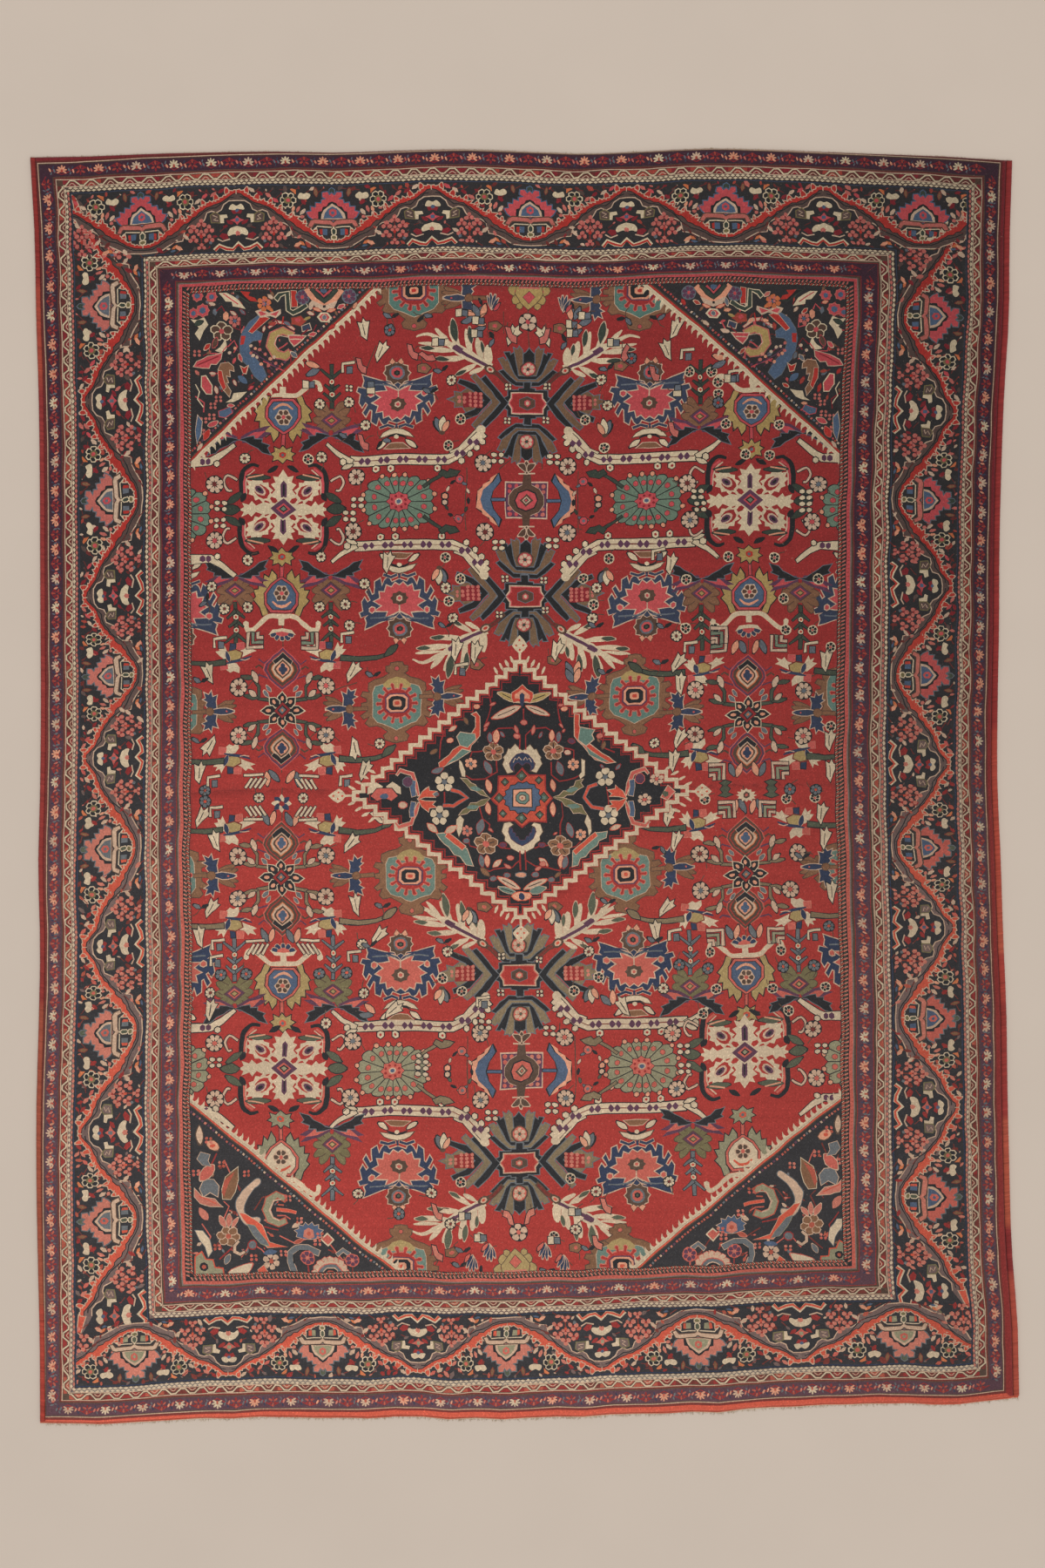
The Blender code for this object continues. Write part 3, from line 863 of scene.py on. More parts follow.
def bluePalmette():
    pen.sym("deep", (0, 4.4, 1.6, 5.2, 4, 6.2, 9.4, 8.1, 9, 6.6, 9.4, 5.2, 8.4, 4.4, 10.6, 4.8, 11, 3.7, 9.9,
                     3.2, 10.4, 0.6, 9.6, -0.6, 8.8, 0.8, 8, 0.1, 9.3, -2.2, 8.6, -3.2, 7.6, -1.2, 6.9, -1.6,
                     6.9, -4.8, 5.6, -5.6, 5, -3.4, 4.2, -5, 3.2, -6, 2.2, -4.4, 0, -5.2), "cream", 0.28)
    pen.sym("rose", (0, 3.4, 3.6, 5.2, 2.9, 3.6, 6.6, 3.4, 4.6, 2, 6.8, 0.6, 5.2, -0.2, 5.6, -2, 4, -1.8, 3.6,
                     -3.6, 2.3, -3, 1.2, -4.2, 0, -3.4), "cream", 0.28)
    pen.lines("deep", (1.2, 5.9, 5, 6.2, 8.2, 6.2), 0.4)
    pen.lines("steel", (1.4, 5.1, 5.4, 5.4, 8, 5.3), 0.4)
    for way in (-1, 1):
        pen.disc("rose", way * 7.4, 3, 0.75, rim="cream", width=0.28)
    pen.disc("bark", 0, 0, 2.3, 1.8, sides=16, lobes=8, depth=0.1)
    pen.disc("cream", 0, 0, 0.9)
    pen.disc("rose", 0, 0, 0.5)
    pen.line("cream", (0, 1.9, 0, 4.2), 0.34)
    pen.lines("cream", (0, 3.6, 2, 4.7), 0.3)
    pen.line("deep", (0, -5.4, 0, -7), 0.6)
    pen.lines("deep", (0.6, -6.4, 2.4, -5.8, 4.6, -6.6), 0.7, rim="cream", edge=0.15)
    pen.sym("ivory", (0, -6.9, 1.8, -7.1, 3.6, -8, 4.6, -9.2, 3, -8.9, 1.6, -8.4, 0, -8.2), "bark", 0.25)
    pen.arch("ink", (0, -8.6, 1.6, -8.8, 2.8, -9.5), 0.7)
    pen.disc("ivory", 0, -9.1, 0.7, 0.6)
    pen.leaf("ivory", -2.6, -10, -5.4, -12, fat=0.4, rim="ink", width=0.25)
    pen.leaf("ivory", 2.6, -10, 5.4, -12, fat=0.4, rim="ink", width=0.25)
    pen.sym("brown", (0, -10.8, 1.8, -10.9, 3.4, -12.2, 0, -12.3), "cream", 0.2)
    with pen.at(0, 8.4):
        pen.disc("bark", 0, 0, 3.2, 3, sides=20, lobes=10, depth=0.09, rim="cream", width=0.25)
        pen.disc("steel", 0, 0.1, 2.1, 2, sides=10)
        pen.disc("rose", 0, 0.1, 1.6, 1.5)
        pen.disc("ink", 0, 0, 0.95, 0.8)
        pen.disc("green", 0, 0, 0.45, sides=5)
        pen.both("apricot", (0.3, 3.1, 1.2, 4.1, 1.9, 2.9, 1.2, 2.4), "bark", 0.15)
        pen.sym("deep", (0, -2.6, 0.9, -3.1, 0, -4.3), "cream", 0.15)


def tealRosette():
    # A squarish rosette of sixteen petals with small flowers at their tips.
    count = 16

    def reach(way, grow=0.0):
        c, s = abs(math.cos(way)), abs(math.sin(way))
        return grow + 1 / ((c / 9.5) ** 3 + (s / 7.0) ** 3) ** (1 / 3)
    for grow, dye in ((0.3, "ink"), (0.0, "teal")):
        loop = []
        for k in range(count * 5):
            way = 2 * math.pi * k / (count * 5)
            r = reach(way, grow) * (1 - 0.09 * (2 * abs((k % 5) / 5 - 0.5)) ** 3)
            loop += [r * math.cos(way), r * math.sin(way)]
        pen.poly(dye, loop)
    for k in range(count):
        way = 2 * math.pi * k / count
        r = reach(way) * 0.93
        pen.line("ink", (1.5 * math.cos(way), 1.5 * math.sin(way), r * math.cos(way), r * math.sin(way)),
                 0.26)
        way += math.pi / count
        r = reach(way)
        pen.disc("rose", r * 0.72 * math.cos(way), r * 0.72 * math.sin(way), 0.72, rim="bark", width=0.15)
        if k % 4 in (0, 3) or k % 2:
            pen.disc("apricot", (r + 0.4) * math.cos(way), (r + 0.4) * math.sin(way), 0.62, rim="ink",
                     width=0.22)
    pen.disc("rose", 0, 0, 3, 2.5, sides=16, lobes=8, depth=0.12, rim="ink", width=0.15)
    for _, c, s in around(8, 22.5):
        pen.disc("crimson", c * 2, s * 1.6, 0.42, sides=5)
    pen.disc("cream", 0, 0, 1.1, 0.95)
    pen.disc("blue", 0, 0, 0.7, 0.6)


def tealStems(low):
    dye = "fan" if low else "green"
    for way in (-1, 1):
        pen.line(dye, (6.8, way * 4, 9, way * 5.6, 12, way * 7.4), 0.7, rim="ink", edge=0.2)
        pen.poly(dye, (11, way * 7.6, 13, way * 6.4, 15.6, way * 7, 16.6, way * 8.2, 14, way * 8.8, 13.4,
                       way * 8, 11.8, way * 8.8), "ink", 0.22)


def brownRosette(heart="ink"):
    pen.sym("brown", (0, 11.4, 1.6, 11.2, 1.8, 10.4, 2.9, 10.2, 2.8, 9, 1.9, 8.3, 3.6, 7.2, 6, 6.6, 7.8, 5.8,
                      8, 4.2, 7.3, 3.3, 9.4, 3.6, 10, 2.6, 8.5, 1.8, 8.4, 0.7, 9.8, 0.5, 9.8, -0.4, 8.4, -0.7,
                      8.4, -1.8, 10, -3, 9.2, -3.9, 7.6, -3.2, 8.6, -5.2, 7.6, -6.1, 5.4, -5.9, 4.1, -6.5,
                      2.2, -7.8, 3.4, -8.8, 2.9, -10, 1.2, -10.4, 0, -10.8), "bark", 0.24)
    pen.sym("sea", (0, 5.2, 3.4, 5.4, 6, 4.8, 6.7, 3.2, 6.7, -3.4, 5.4, -5, 2.6, -6, 0, -7.2), "cream", 0.16)
    pen.sym("gold", (0, 7.4, 2.4, 6.6, 3.9, 5.2, 3.4, 4.2, 0, 4.2))
    pen.disc("pink", 0, 0, 4.6, 4.2, sides=14)
    for _, c, s in around(14):
        s *= 0.92
        pen.line("pink", (c * 3.8, s * 3.8, c * 5.6, s * 5.6), 1.05)
        pen.disc("pink", c * 5.5, s * 5.5, 0.7)
        pen.line("red", (c * 3.8, s * 3.8, c * 5.4, s * 5.4), 0.62)
        pen.disc("red", c * 5.5, s * 5.5, 0.46)
    pen.disc("red", 0, 0, 4.3, 3.9, sides=14)
    for way in (-1, 1):
        pen.disc("rose", 0, way * 9.6, 0.6, rim="bark", width=0.15)
    hexagon = pairs((-3.1, 1.4, -2, 2.4, 2, 2.4, 3.1, 1.4, 3.1, -1.4, 2, -2.4, -2, -2.4, -3.1, -1.4))
    pen.nest(hexagon, ("purple", 1.12), ("apricot", 0.98), (heart, 0.78), ("apricot", 0.4), ("brick", 0.2))


def wingFlower():
    # A brown and blue flower with serrated wings, on a stem to its right.
    pen.line("brown", (1.5, 0, 6, 0), 0.9, rim="bark", edge=0.18)
    for x, y in ((-5.4, 3.0), (-6, 1.6), (-6, -1.6), (-5.2, -3.0)):
        pen.leaf("brown", 0.6, 0, x, y, fat=0.26, rim="bark", width=0.18)
    for way in (-1, 1):
        pen.poly("deep", (-0.6, way * 0.8, 1.4, way * 0.5, 2.4, way * 1.8, 1.9, way * 2.6, 3.2, way * 3.4,
                          2.4, way * 3.7, 2.9, way * 5.2, 1.6, way * 4.6, 0.9, way * 5.6, 0.5, way * 4,
                          -0.8, way * 4.4, -0.4, way * 2.8), "cream", 0.22)
    pen.leaf("deep", 1, 0, -5.6, 0, fat=0.26, rim="cream", width=0.22)
    pen.disc("brown", 1.2, 0, 1.1, rim="bark", width=0.2, sides=7)
    pen.disc("rose", -3.4, 0, 0.3, sides=5)


def shieldPalmette(pale=False):
    body, leaves = ("ivory", "teal") if pale else ("blue", "gold")
    for _ in mirrored():
        pen.poly(leaves, (3.6, 5.4, 5.2, 5.6, 6, 3.4, 7.7, 1.4, 6.9, 0.6, 7.7, -1.4, 6.3, -1.4, 6.4, -3.4,
                          5.1, -3.2, 4.8, -5.6, 3.6, -4.6, 2.7, -6.8, 1.6, -5.4, 1.4, -3, 4.2, -1, 4.6, 3),
                 "ink", 0.28)
    shield = pairs((-3, 4.7, 3, 4.7, 4.7, 2.6, 4.8, -0.4, 3, -3, 0, -5, -3, -3, -4.8, -0.4, -4.7, 2.6))
    pen.nest(shield, ("ink", 1.05), ("rose", 1), ("ink", 0.87), (body, 0.83))
    pen.arch("apricot" if not pale else "brick", (0, 3.2, 1.2, 2.9, 2.6, 1.8), 0.8)
    with pen.at(0, -0.4):
        pen.disc("cream", 0, 0, 2.2, sides=12, lobes=6, depth=0.08)
        pen.wreath("bark", 6, 0.6, 1.95, fat=0.85, first=0)
        pen.disc("rose", 0, 0, 0.6)
    pen.line("rose", (0, -5, 0, -8.4), 0.8, rim="ink", edge=0.2)
    with pen.at(0, -10.6):
        pen.sym("teal" if pale else "gold", (0, 2.6, 0.9, 1.5, 2.4, 2.2, 2.2, 0.9, 3.4, 0.4, 2.4, -0.4, 2.8,
                -1.6, 1.3, -1.2, 0, -2.4), "ink", 0.25)
        pen.disc("brick", 0, 0, 1.1, 1, sides=6)
        pen.disc("steel", 0, 0, 0.5, sides=5)


def horns(leftToo=True):
    # Ivory hooks that stand on a shield, with a small crown between them.
    ways = (-1, 1) if leftToo else (1,)
    for way in ways:
        with pen.at(wide=way):
            pen.line("ivory", (0, 5.7, 3.6, 5.8, 5.6, 7.4, 8, 9.3, 9.6, 9.3, 10.2, 7.6), 1.25, soft=True,
                     rim="brick", edge=0.12)
            pen.disc("ivory", 10.1, 7.7, 0.85)
    pen.poly("ivory", (-3.4, 5.2, 3.4, 5.2, 2.4, 6.3, 0.8, 6.4, 0.8, 8.2, -0.8, 8.2, -0.8, 6.4, -2.4, 6.3))


def crown():
    for _, c, s in around(5, 22, 170):
        pen.leaf("deep", c * 1.2, s, c * 3.4, s * 2.6, fat=0.62, blunt=0.8, rim="cream", width=0.16)
    pen.sym("rose", (0, 1.5, 1.5, 0.9, 2, -0.2, 0, -0.4))
    pen.sym("ivory", (0, 0, 2.6, 0.4, 3.8, 0.9, 2.6, -0.6, 0, -0.9))


def snowflake():
    for turn, reach in ((0, 10.4), (180, 9.6)):
        with pen.at(turn=turn, tall=reach / 10):
            pen.sym("ivory", (0, 10.2, 1.3, 8.3, 2.9, 8.6, 2.2, 6.9, 3.4, 6.4, 2.3, 5, 3.2, 3.8, 1.8, 1, 0,
                              0))
            pen.poly("purple", (-0.7, 3, 0.7, 3, 0.8, 6.4, 0, 7.4, -0.8, 6.4), "ivory", 0.1)
            pen.line("ink", (0, 3.4, 0, 6.4), 0.4)
    for turn in (90, -90):
        with pen.at(turn=turn):
            pen.sym("ivory", (0, 12.4, 0.7, 11, 2, 11.6, 1.2, 9.6, 2.2, 8.8, 0.9, 7.6, 1.8, 5.4, 1, 2, 0, 0))
    for x, y in ((6.4, 5), (-6.4, 5), (6.4, -4.8), (-6.4, -4.8)):
        turn = math.degrees(math.atan2(y, x))
        with pen.at(x, y, turn=turn):
            pen.disc("ivory", 0.2, 0, 4, 2.7, sides=22, lobes=11, depth=0.14)
            pen.disc("red", -0.6, 0, 2.5, 1.7, sides=10)
            pen.disc("cream", 0.2, 0, 2, 1.25, sides=10)
            pen.disc("purple", 0.3, 0, 1.5, 0.85)
            pen.disc("ink", 0.3, 0, 0.8, 0.4)
        with pen.at(x * 0.4, y * 0.44, turn=turn):
            pen.disc("ivory", 0, 0, 2.2, 1.4)
            pen.disc("red", 0.1, 0, 1.3, 0.75, sides=6)
    heart = pairs((0, 2.9, 3.6, 0, 0, -2.9, -3.6, 0))
    pen.nest(heart, ("ivory", 1.14), ("purple", 1.0), ("rose", 0.56), ("ink", 0.36), ("teal", 0.22))
    for wide in (-1, 1):
        pen.leaf("green", wide * 12.2, 0, wide * 17.2, 0.2, fat=0.55, rim="ink", width=0.25)
        for tall in (-1, 1):
            with pen.at(wide=wide, tall=tall):
                pen.line("ink", (11.6, 3.8, 11.8, 7.4, 11.2, 10.4, 9, 12.2, 6.8, 11.8), 1.7, end=0.8,
                         soft=True)
                pen.line("rose", (10.9, 3.9, 10.9, 7.4, 10.3, 9.8, 8.4, 11.2), 0.6)
                pen.line("cream", (10.4, 4.2, 10.4, 7.2, 9.8, 9.2, 7.8, 10.8), 0.35)
                pen.line("cream", (12.9, 8, 15.4, 9.4, 16.6, 7.6, 15.6, 5.4, 14.6, 5.4), 0.55, soft=True,
                         rim="ink", edge=0.22)
                pen.leaf("green", 11.6, 4.6, 16, 1.8, fat=0.36, rim="ink", width=0.18)
                pen.leaf("ink", 12, 2.2, 10.6, 4.6, fat=0.6)
                pen.leaf("green", 10.4, 8.8, 3.6, 8.6, fat=0.24, rim="ink", width=0.15)
                pen.line("apricot", (9.8, 8.6, 5.4, 9.4), 0.4)
                pen.leaf("ink", 4.4, 10, 1.2, 11.8, fat=0.4)


def leafTree(low=False):
    # A leafy brown palmette with a tree above it and dark wings below.
    leaf = "brown" if not low else "olive"
    for way in (-1, 1):
        for x, y, fat in ((3.2, 5.2, 0.4), (4.8, 3.2, 0.4), (5, 0.2, 0.5), (4.2, -2.6, 0.5), (2.4, -4.2,
                0.5)):
            pen.leaf(leaf, way * 0.6, -0.6 + y * 0.2, way * x, y, fat=fat, blunt=0.4, rim="bark", width=0.22)
    pen.disc(leaf, 0, 0, 3.2, 3)
    heart = pairs((0, 2.1, 2.7, 0, 0, -2.1, -2.7, 0))
    pen.nest(heart, ("bark", 1.12), ("purple", 1.0), ("rose", 0.68), ("bark", 0.44), ("gold", 0.26))
    stem = "green" if not low else "steel"
    pen.line(stem, (0, 3.4, 0, 15.4), 0.9, rim="ink", edge=0.2)
    for y, reach in ((5.6, 2.4), (8.2, 2.0), (11.6, 3.0)):
        pen.lines(stem, (0, y, reach, y + reach * 0.8), 0.8, rim="ink", edge=0.18, end=0.4)
    for y in (7.2, 10.6):
        pen.disc("ivory", 0, y, 0.75, rim="ink", width=0.2)
        pen.disc("brick", 0, y, 0.4, sides=5)


def darkWings():
    for _ in mirrored():
        pen.poly("purple", (0.4, -3.6, 3.4, -2, 8.6, -0.6, 6.8, -2.4, 9, -2.6, 4, -5.2, 1, -5.2))
        pen.poly("rose", (0.6, -4.2, 4, -2.6, 7.4, -2, 4.4, -4.6))
        pen.poly("ink", (0, -4.4, 1.6, -4.6, 3, -5.6, 5, -6.6, 6.4, -7.8, 8.6, -8.4, 7.6, -6.6, 8.2, -6, 6,
                         -5.2, 6.2, -4.4, 4.2, -4.4, 4, -3.6, 2, -3.8), "steel", 0.22)


def lilies():
    # Ivory leaves with torn edges about a small square calyx.
    pen.poly("ivory", (-1.2, 0.3, -2.2, -0.4, -3.4, 0.2, -5, 0.9, -6.2, 1.3, -5, 1.8, -5.9, 3, -4.2, 2.5,
                       -3.6, 3.1, -2.6, 1.9, -1.4, 1.5))
    pen.poly("ivory", (1.6, -0.6, 2, 1.2, 3.1, 3.5, 3.6, 2.3, 4.8, 2.9, 4.3, 1.7, 5.5, 1.5, 4.3, 0.2, 2.8,
                       -0.9))
    pen.poly("ivory", (1.8, -1.6, -0.6, -2.1, -1.5, -3.4, -1.3, -4.9, 0.2, -4.1, 1.2, -4.6, 2.6, -3.5, 3.7,
                       -3.7, 3, -2.1))
    for x, y in ((-1.5, 2.9), (3, -2.7)):
        pen.poly("rose", (x - 1, y - 0.8, x + 0.9, y - 1, x + 1, y + 0.8, x - 0.8, y + 0.9), "pink", 0.15)
    pen.line("deep", (0.5, 3.6, 0.7, 1.2), 1.4, rim="ink", edge=0.18)
    pen.poly("gold", (-2.1, 0.8, -0.2, 1.7, 2.1, 1.2, 1.7, -0.9, -0.4, -1.4, -1.8, -0.5), "maroon", 0.32)
    pen.leaf("deep", 2.4, 1.4, 1.4, -1.6, fat=0.4, rim="cream", width=0.12)
    pen.line("deep", (-4.8, -0.2, -2.4, -1.1, 0.4, -1.6, 2.6, -2), 0.85, taper=0.6)
    pen.line("cream", (-4.4, -0.9, -3, -1.3, -1.8, -1), 0.24)


def branch(low=False):
    # A long stem leaving the lilies sideways.
    dye = "green" if not low else "fan"
    pen.line(dye, (-3, 0, -8, -0.4, -13, 0, -17, 1.2), 1.4, rim="ink", edge=0.25, end=0.7)
    pen.leaf(dye, -15, 0.4, -18.6, 3.2, fat=0.4, rim="ink", width=0.25)


def lozenge(outer="purple", heart="deep"):
    ring = pairs((0, 5.6, 2.6, 3.4, 4.6, 1.2, 5, -0.4, 3.6, -2.8, 0, -5.6, -3.6, -2.8, -5, -0.4, -4.6, 1.2,
                  -2.6, 3.4))
    for way in (-1, 1):
        pen.line("purple", (way * 2.2, 3.6, way * 5, 1.4, way * 6.6, 2.6), 0.45)
        pen.line("bark", (way * 4.6, -0.4, way * 6.4, 0.8, way * 7.4, 0.2), 0.5)
        pen.line("purple", (way * 4, -2.6, way * 6.4, -1.8, way * 7.2, -2.6), 0.45)
    pen.nest(ring, ("rose", 1.06), (outer, 1.0), ("red", 0.88), ("bark", 0.82), ("orange", 0.64), ("cream",
            0.58), ("bark", 0.46), ("apricot", 0.36))
    pen.sym("ink", (0, 4.3, 2.7, 2.2, 2.1, 1.3, 0, 2.9), "cream", 0.12)
    for x, y in ((0, 0.9), (-0.6, -0.1), (0.6, -0.1), (0, -0.8)):
        pen.disc(heart, x, y, 0.7)


def starRosette(low=False):
    for _ in quartered():
        dye = "green" if not low else "fan"
        pen.line(dye, (3, 2.8, 6.6, 3.2, 6.6, 6.4, 8.6, 9.4), 0.9, rim="ink", edge=0.2, end=0.6)
        pen.leaf(dye, 6.6, 3.4, 10.8, 4.2, fat=0.28, rim="ink")
        pen.leaf("cream", 7.4, 3.8, 9.4, 5.6, rim="ink", width=0.18)
        pen.leaf("cream", 7, 7.4, 8.2, 10.6, fat=0.45, rim="ink", width=0.18)
        pen.leaf(dye, 8.2, 8.6, 11.4, 9.2, fat=0.36, rim="ink", width=0.18)
        pen.leaf("steel", 3.2, 5.2, 4.4, 6.8, fat=0.45, rim="cream", width=0.12)
    for k in range(8):
        reach = 6.0 if k in (0, 4) else 5.0
        with pen.at(turn=45 * k, wide=reach / 5.6):
            pen.poly("ink", (1.4, 0, 2.6, 1.25, 4.2, 1.1, 5.6, 0, 4.2, -1.1, 2.6, -1.25), "ivory", 0.24)
            pen.disc("apricot", 3.7, 0, 0.8, 0.5)
            if k % 2:
                pen.leaf("steel", 6, 0, 8.4, 0, rim="cream", width=0.15)
    for dye, size in (("ink", 2.7), ("crimson", 2.4), ("ink", 1.5), ("steel", 1.1)):
        pen.disc(dye, 0, 0, size, size * 0.9, sides=4, turn=45)
    pen.disc("orange", 0, 0, 0.4, sides=5)


def steppedCorner():
    # Nested angles, opening down and right.
    for k, dye in enumerate(("cream", "teal", "cream")):
        a = 1.35 * k
        pen.line(dye, (-2 + a, -2.2, -2 + a, 2 - a, 2.3, 2 - a), 0.85, rim="ink", edge=0.22)


def comb():
    teeth = [(-2.2 + 1.3 * k, -1.8, -0.4 + 1.3 * k, 0.9) for k in range(4)]
    for path in teeth + [(-2.6, 1.7, 2.6, 1.9)]:
        pen.line("ivory", path, 0.6, rim="ink", edge=0.2)


def goldRosette():
    # The half flowers at the two ends of the field.
    for way in (-1, 1):
        pen.leaf("gold", 0, 1, way * 5.6, 2.6, fat=0.6, blunt=0.7, rim="bark")
        pen.leaf("gold", 0, 1, way * 4.4, -1.2, fat=0.6, blunt=0.7, rim="bark")
        pen.disc("rose", way * 3.4, 1.6, 0.7)
        pen.disc("gold", way * 2.4, -2.4, 0.9, rim="bark", width=0.2)
    pen.sym("gold", (0, 4, 3.4, 3.4, 3.8, 1, 2, -1.6, 0, -3.4), "bark", 0.2)
    pen.sym("rose", (0, 1.8, 1.6, 0.2, 0, -1.6), "bark", 0.15)
    pen.poly("pink", (-3, 2.4, 3, 2.4, 2.4, 4.4, -2.4, 4.4))
    for x in (-1.5, 0, 1.5):
        pen.disc("crimson", x, 3.2, 0.4, sides=5)


def squareRosette(low=False):
    # The square flower between the fans, with an arm and a wing at each side.
    pen.poly("cream", (-5.9, -5.1, 5.9, -5.1, 5.9, 5.1, -5.9, 5.1))
    pen.poly("purple", (-5.6, -4.7, 5.6, -4.7, 5.6, 4.7, -5.6, 4.7))
    for x in (-4.6, -2.8, 2.8, 4.6):
        for y in (-3.9, -2.4, 2.4, 3.9):
            pen.disc("rose" if (x + y) % 2 > 1 else "pink", x, y, 0.62)
    pen.disc("brown" if low else "bark", 0, 0, 4.9, 4.3, sides=12, rim="cream", width=0.15)
    for way in (-1, 1):
        pen.line("bark" if not low else "brown", (0, way * 3.6, 0, way * 8), 2.6, end=1.8)
        pen.line("cream", (-2.3, way * 7.3, 2.3, way * 7.3), 0.4)
        pen.leaf("bark", 0, way * 7.2, 0, way * 10.6, fat=0.42, rim="cream")
        for side in (-1, 1):
            pen.leaf("bark", 0.3 * side, way * 7.8, side * 2.3, way * 9.8, bow=0.15 * side * way, rim="cream")
    for dye, size in (("ink", 3.4), ("rose", 3.0), ("bark", 1.9), ("cream", 1.2), ("green", 0.8), ("rose",
            0.4)):
        pen.disc(dye, 0, 0, size, size * 0.92, sides=8 if size > 2 else 4, turn=22.5 if size > 2 else 45)
    for _ in mirrored():
        pen.line("blue", (5.8, 0, 12, 0), 0.7, rim="ink", edge=0.2)
        pen.poly("ink", (9.6, 0, 8.9, 2.6, 6.7, 5.4, 7.6, 7.6, 10, 5.6, 13.6, 2.6, 13.8, 0, 13.6, -2.6, 10,
                         -5.6, 7.6, -7.6, 6.7, -5.4, 8.9, -2.6))
        for tall in (-1, 1):
            pen.poly("blue", (9.9, 0, 9.2, tall * 2.4, 7.2, tall * 5.2, 7.8, tall * 7.2, 9, tall * 5,
                              11.8, tall * 3, 12.6, 0))
            pen.poly("apricot", (12.6, 0, 11.9, tall * 2.6, 9.4, tall * 5, 8, tall * 7.2, 10, tall * 5.9,
                                 10.2, tall * 5, 12, tall * 4.1, 12.2, tall * 3.2, 13.6, tall * 2.4, 13.4, 0))


def loopBranch():
    # A ring of small leaves and flowers beside a wing.
    for k, c, s in around(12):
        pen.leaf(("ink", "cream", "steel", "green")[k % 4], c * 3.1 - 0.5 * s, s * 5 + 0.5 * c,
                 c * 3.3 + 0.9 * s, s * 5.2 - 1.1 * c, rim="ink", width=0.12)
    for y in (5.4, -5.4):
        pen.disc("rose", 0.5, y, 1.1, rim="ink", width=0.2)
        pen.disc("steel", 0.5, y, 0.5, sides=5)
    pen.disc("apricot", -3.4, 0.8, 0.8, rim="ink", width=0.4)
    pen.disc("cream", -3.4, -0.9, 0.7, rim="ink", width=0.4)


def bar():
    # An ivory bar with a slanted end, set with double flowers; its long end points left.
    length, flowers = 28.0, 6
    pen.line("ivory", (-length, 0, -1, 0, 2.4, 1.6, 8.6, 7.4), 2.7, rim="ink", edge=0.28)
    pen.line("ivory", (-0.6, 1.9, 2, 3, 7, 8.4), 0.55, rim="ink", edge=0.22)
    pen.disc("ivory", 7.9, 8.2, 1.3)
    for x, y in ((2.6, -0.6), (5.0, 1.2), (6.9, 3.1), (8.4, 4.8)):
        pen.disc("ivory", x, y, 0.85, rim="ink", width=0.25)
    pen.line("ivory", (-1, 0, 2.2, 1.5, 7.8, 6.6), 2.3)
    pen.line("maroon", (-length + 1, 0, -1, 0, 2.2, 1.4, 7, 5.8), 0.24)
    spots = [(-3 - 5.3 * k, 0.0) for k in range(flowers)] + [(2.2, 1.5), (5.9, 4.7)]
    for x, y in spots:
        if x > -length:
            for dx in (-0.85, 0.85):
                pen.disc("purple", x + dx, y, 0.78, 0.95, lobes=4, depth=0.12)
    for x in (-length + 7, -length / 2 - 3, -4):
        pen.disc("ivory", x, -2.4, 1, rim="ink", width=0.25)
        pen.disc("red", x, -2.4, 0.42, sides=5)
    pen.line("ivory", (-length + 0.4, -0.3, -length - 3.6, 2, -length - 6.4, 4.4), 1.5, rim="ink", edge=0.25,
             end=0.8)
    pen.disc("ivory", -length - 2.2, -0.2, 0.95, rim="ink", width=0.25)
    pen.leaf("ivory", -length + 0.6, -0.8, -length - 2.6, -2, fat=0.35, rim="ink", width=0.25)


def tulip():
    pen.leaf("ink", 0, -2, -2.2, 1.4, fat=0.4)
    pen.leaf("steel", 0.2, -1.6, -1.4, 2, rim="ink")
    pen.leaf("ivory", 0.2, -1.6, 0.6, 2.6, fat=0.45, rim="ink")
    pen.leaf("apricot", 0.4, -1.6, 2.2, 1.4, fat=0.42, rim="ink")
    pen.disc("bark", 0.2, -1.8, 0.9, 0.6)


def tuft():
    # A leaf with a split tip.
    pen.poly("ivory", (0, -2.6, 0.9, -0.6, 2.4, 2, 1.5, 2.2, 1.2, 3.4, 0.4, 2.2, -0.6, 3, -0.7, 0.8, -0.9,
                       -1), "ink", 0.24)
    pen.line("ink", (0.1, -1.2, 0.5, 1.8), 0.22)


def sprig():
    pen.leaf("ink", 0, 0, 2.3, 1.2, fat=0.45)
    pen.leaf("steel", 0, 0, -1.9, 1.2, rim="ink")


def eyeBud():
    pen.disc("brown", 0, 0, 1.9, 1.3, sides=10, lobes=5, depth=0.1, rim="ink", width=0.2)
    pen.disc("rose", 0, 0, 0.7, 0.6)


def pairLeaves():
    pen.leaf("steel", -0.4, -2, -2, 1.6, fat=0.42, rim="ink")
    pen.leaf("apricot", 0.3, -2, 1.4, 1.8, fat=0.4, rim="ink")


def blocks():
    pen.poly("ivory", (-1.6, -1, -0.1, -1, -0.1, 1, -1.6, 1), "ink", 0.22)
    pen.poly("steel", (0.1, -0.9, 1.5, -0.9, 1.5, 0.7, 0.1, 0.7), "ink", 0.22)


def hook():
    pen.poly("pink", (-1.4, 2, -0.2, 1.8, 0.3, 0, 1.5, -0.6, 1.3, -2.2, 0, -1.8, -0.8, -0.6), "ink", 0.25)


def feather():
    for dx, y in ((-1.4, 1.8), (-0.4, 2.6), (0.8, 2.4), (1.7, 1.4)):
        pen.leaf("deep", 0, -2, dx, y, fat=0.2, rim="cream", width=0.15)
    pen.leaf("rose", 0.6, -2.2, 2.2, 0, fat=0.35, rim="ink")


def twoBirds():
    pen.line("ivory", (-1.8, -1, -1.8, 1.4, 1.6, 1.8), 0.7, rim="ink", edge=0.2)
    pen.poly("steel", (-0.6, -1.2, 0.8, -1.2, 0.8, 0.6, -0.6, 0.6), "ink", 0.2)


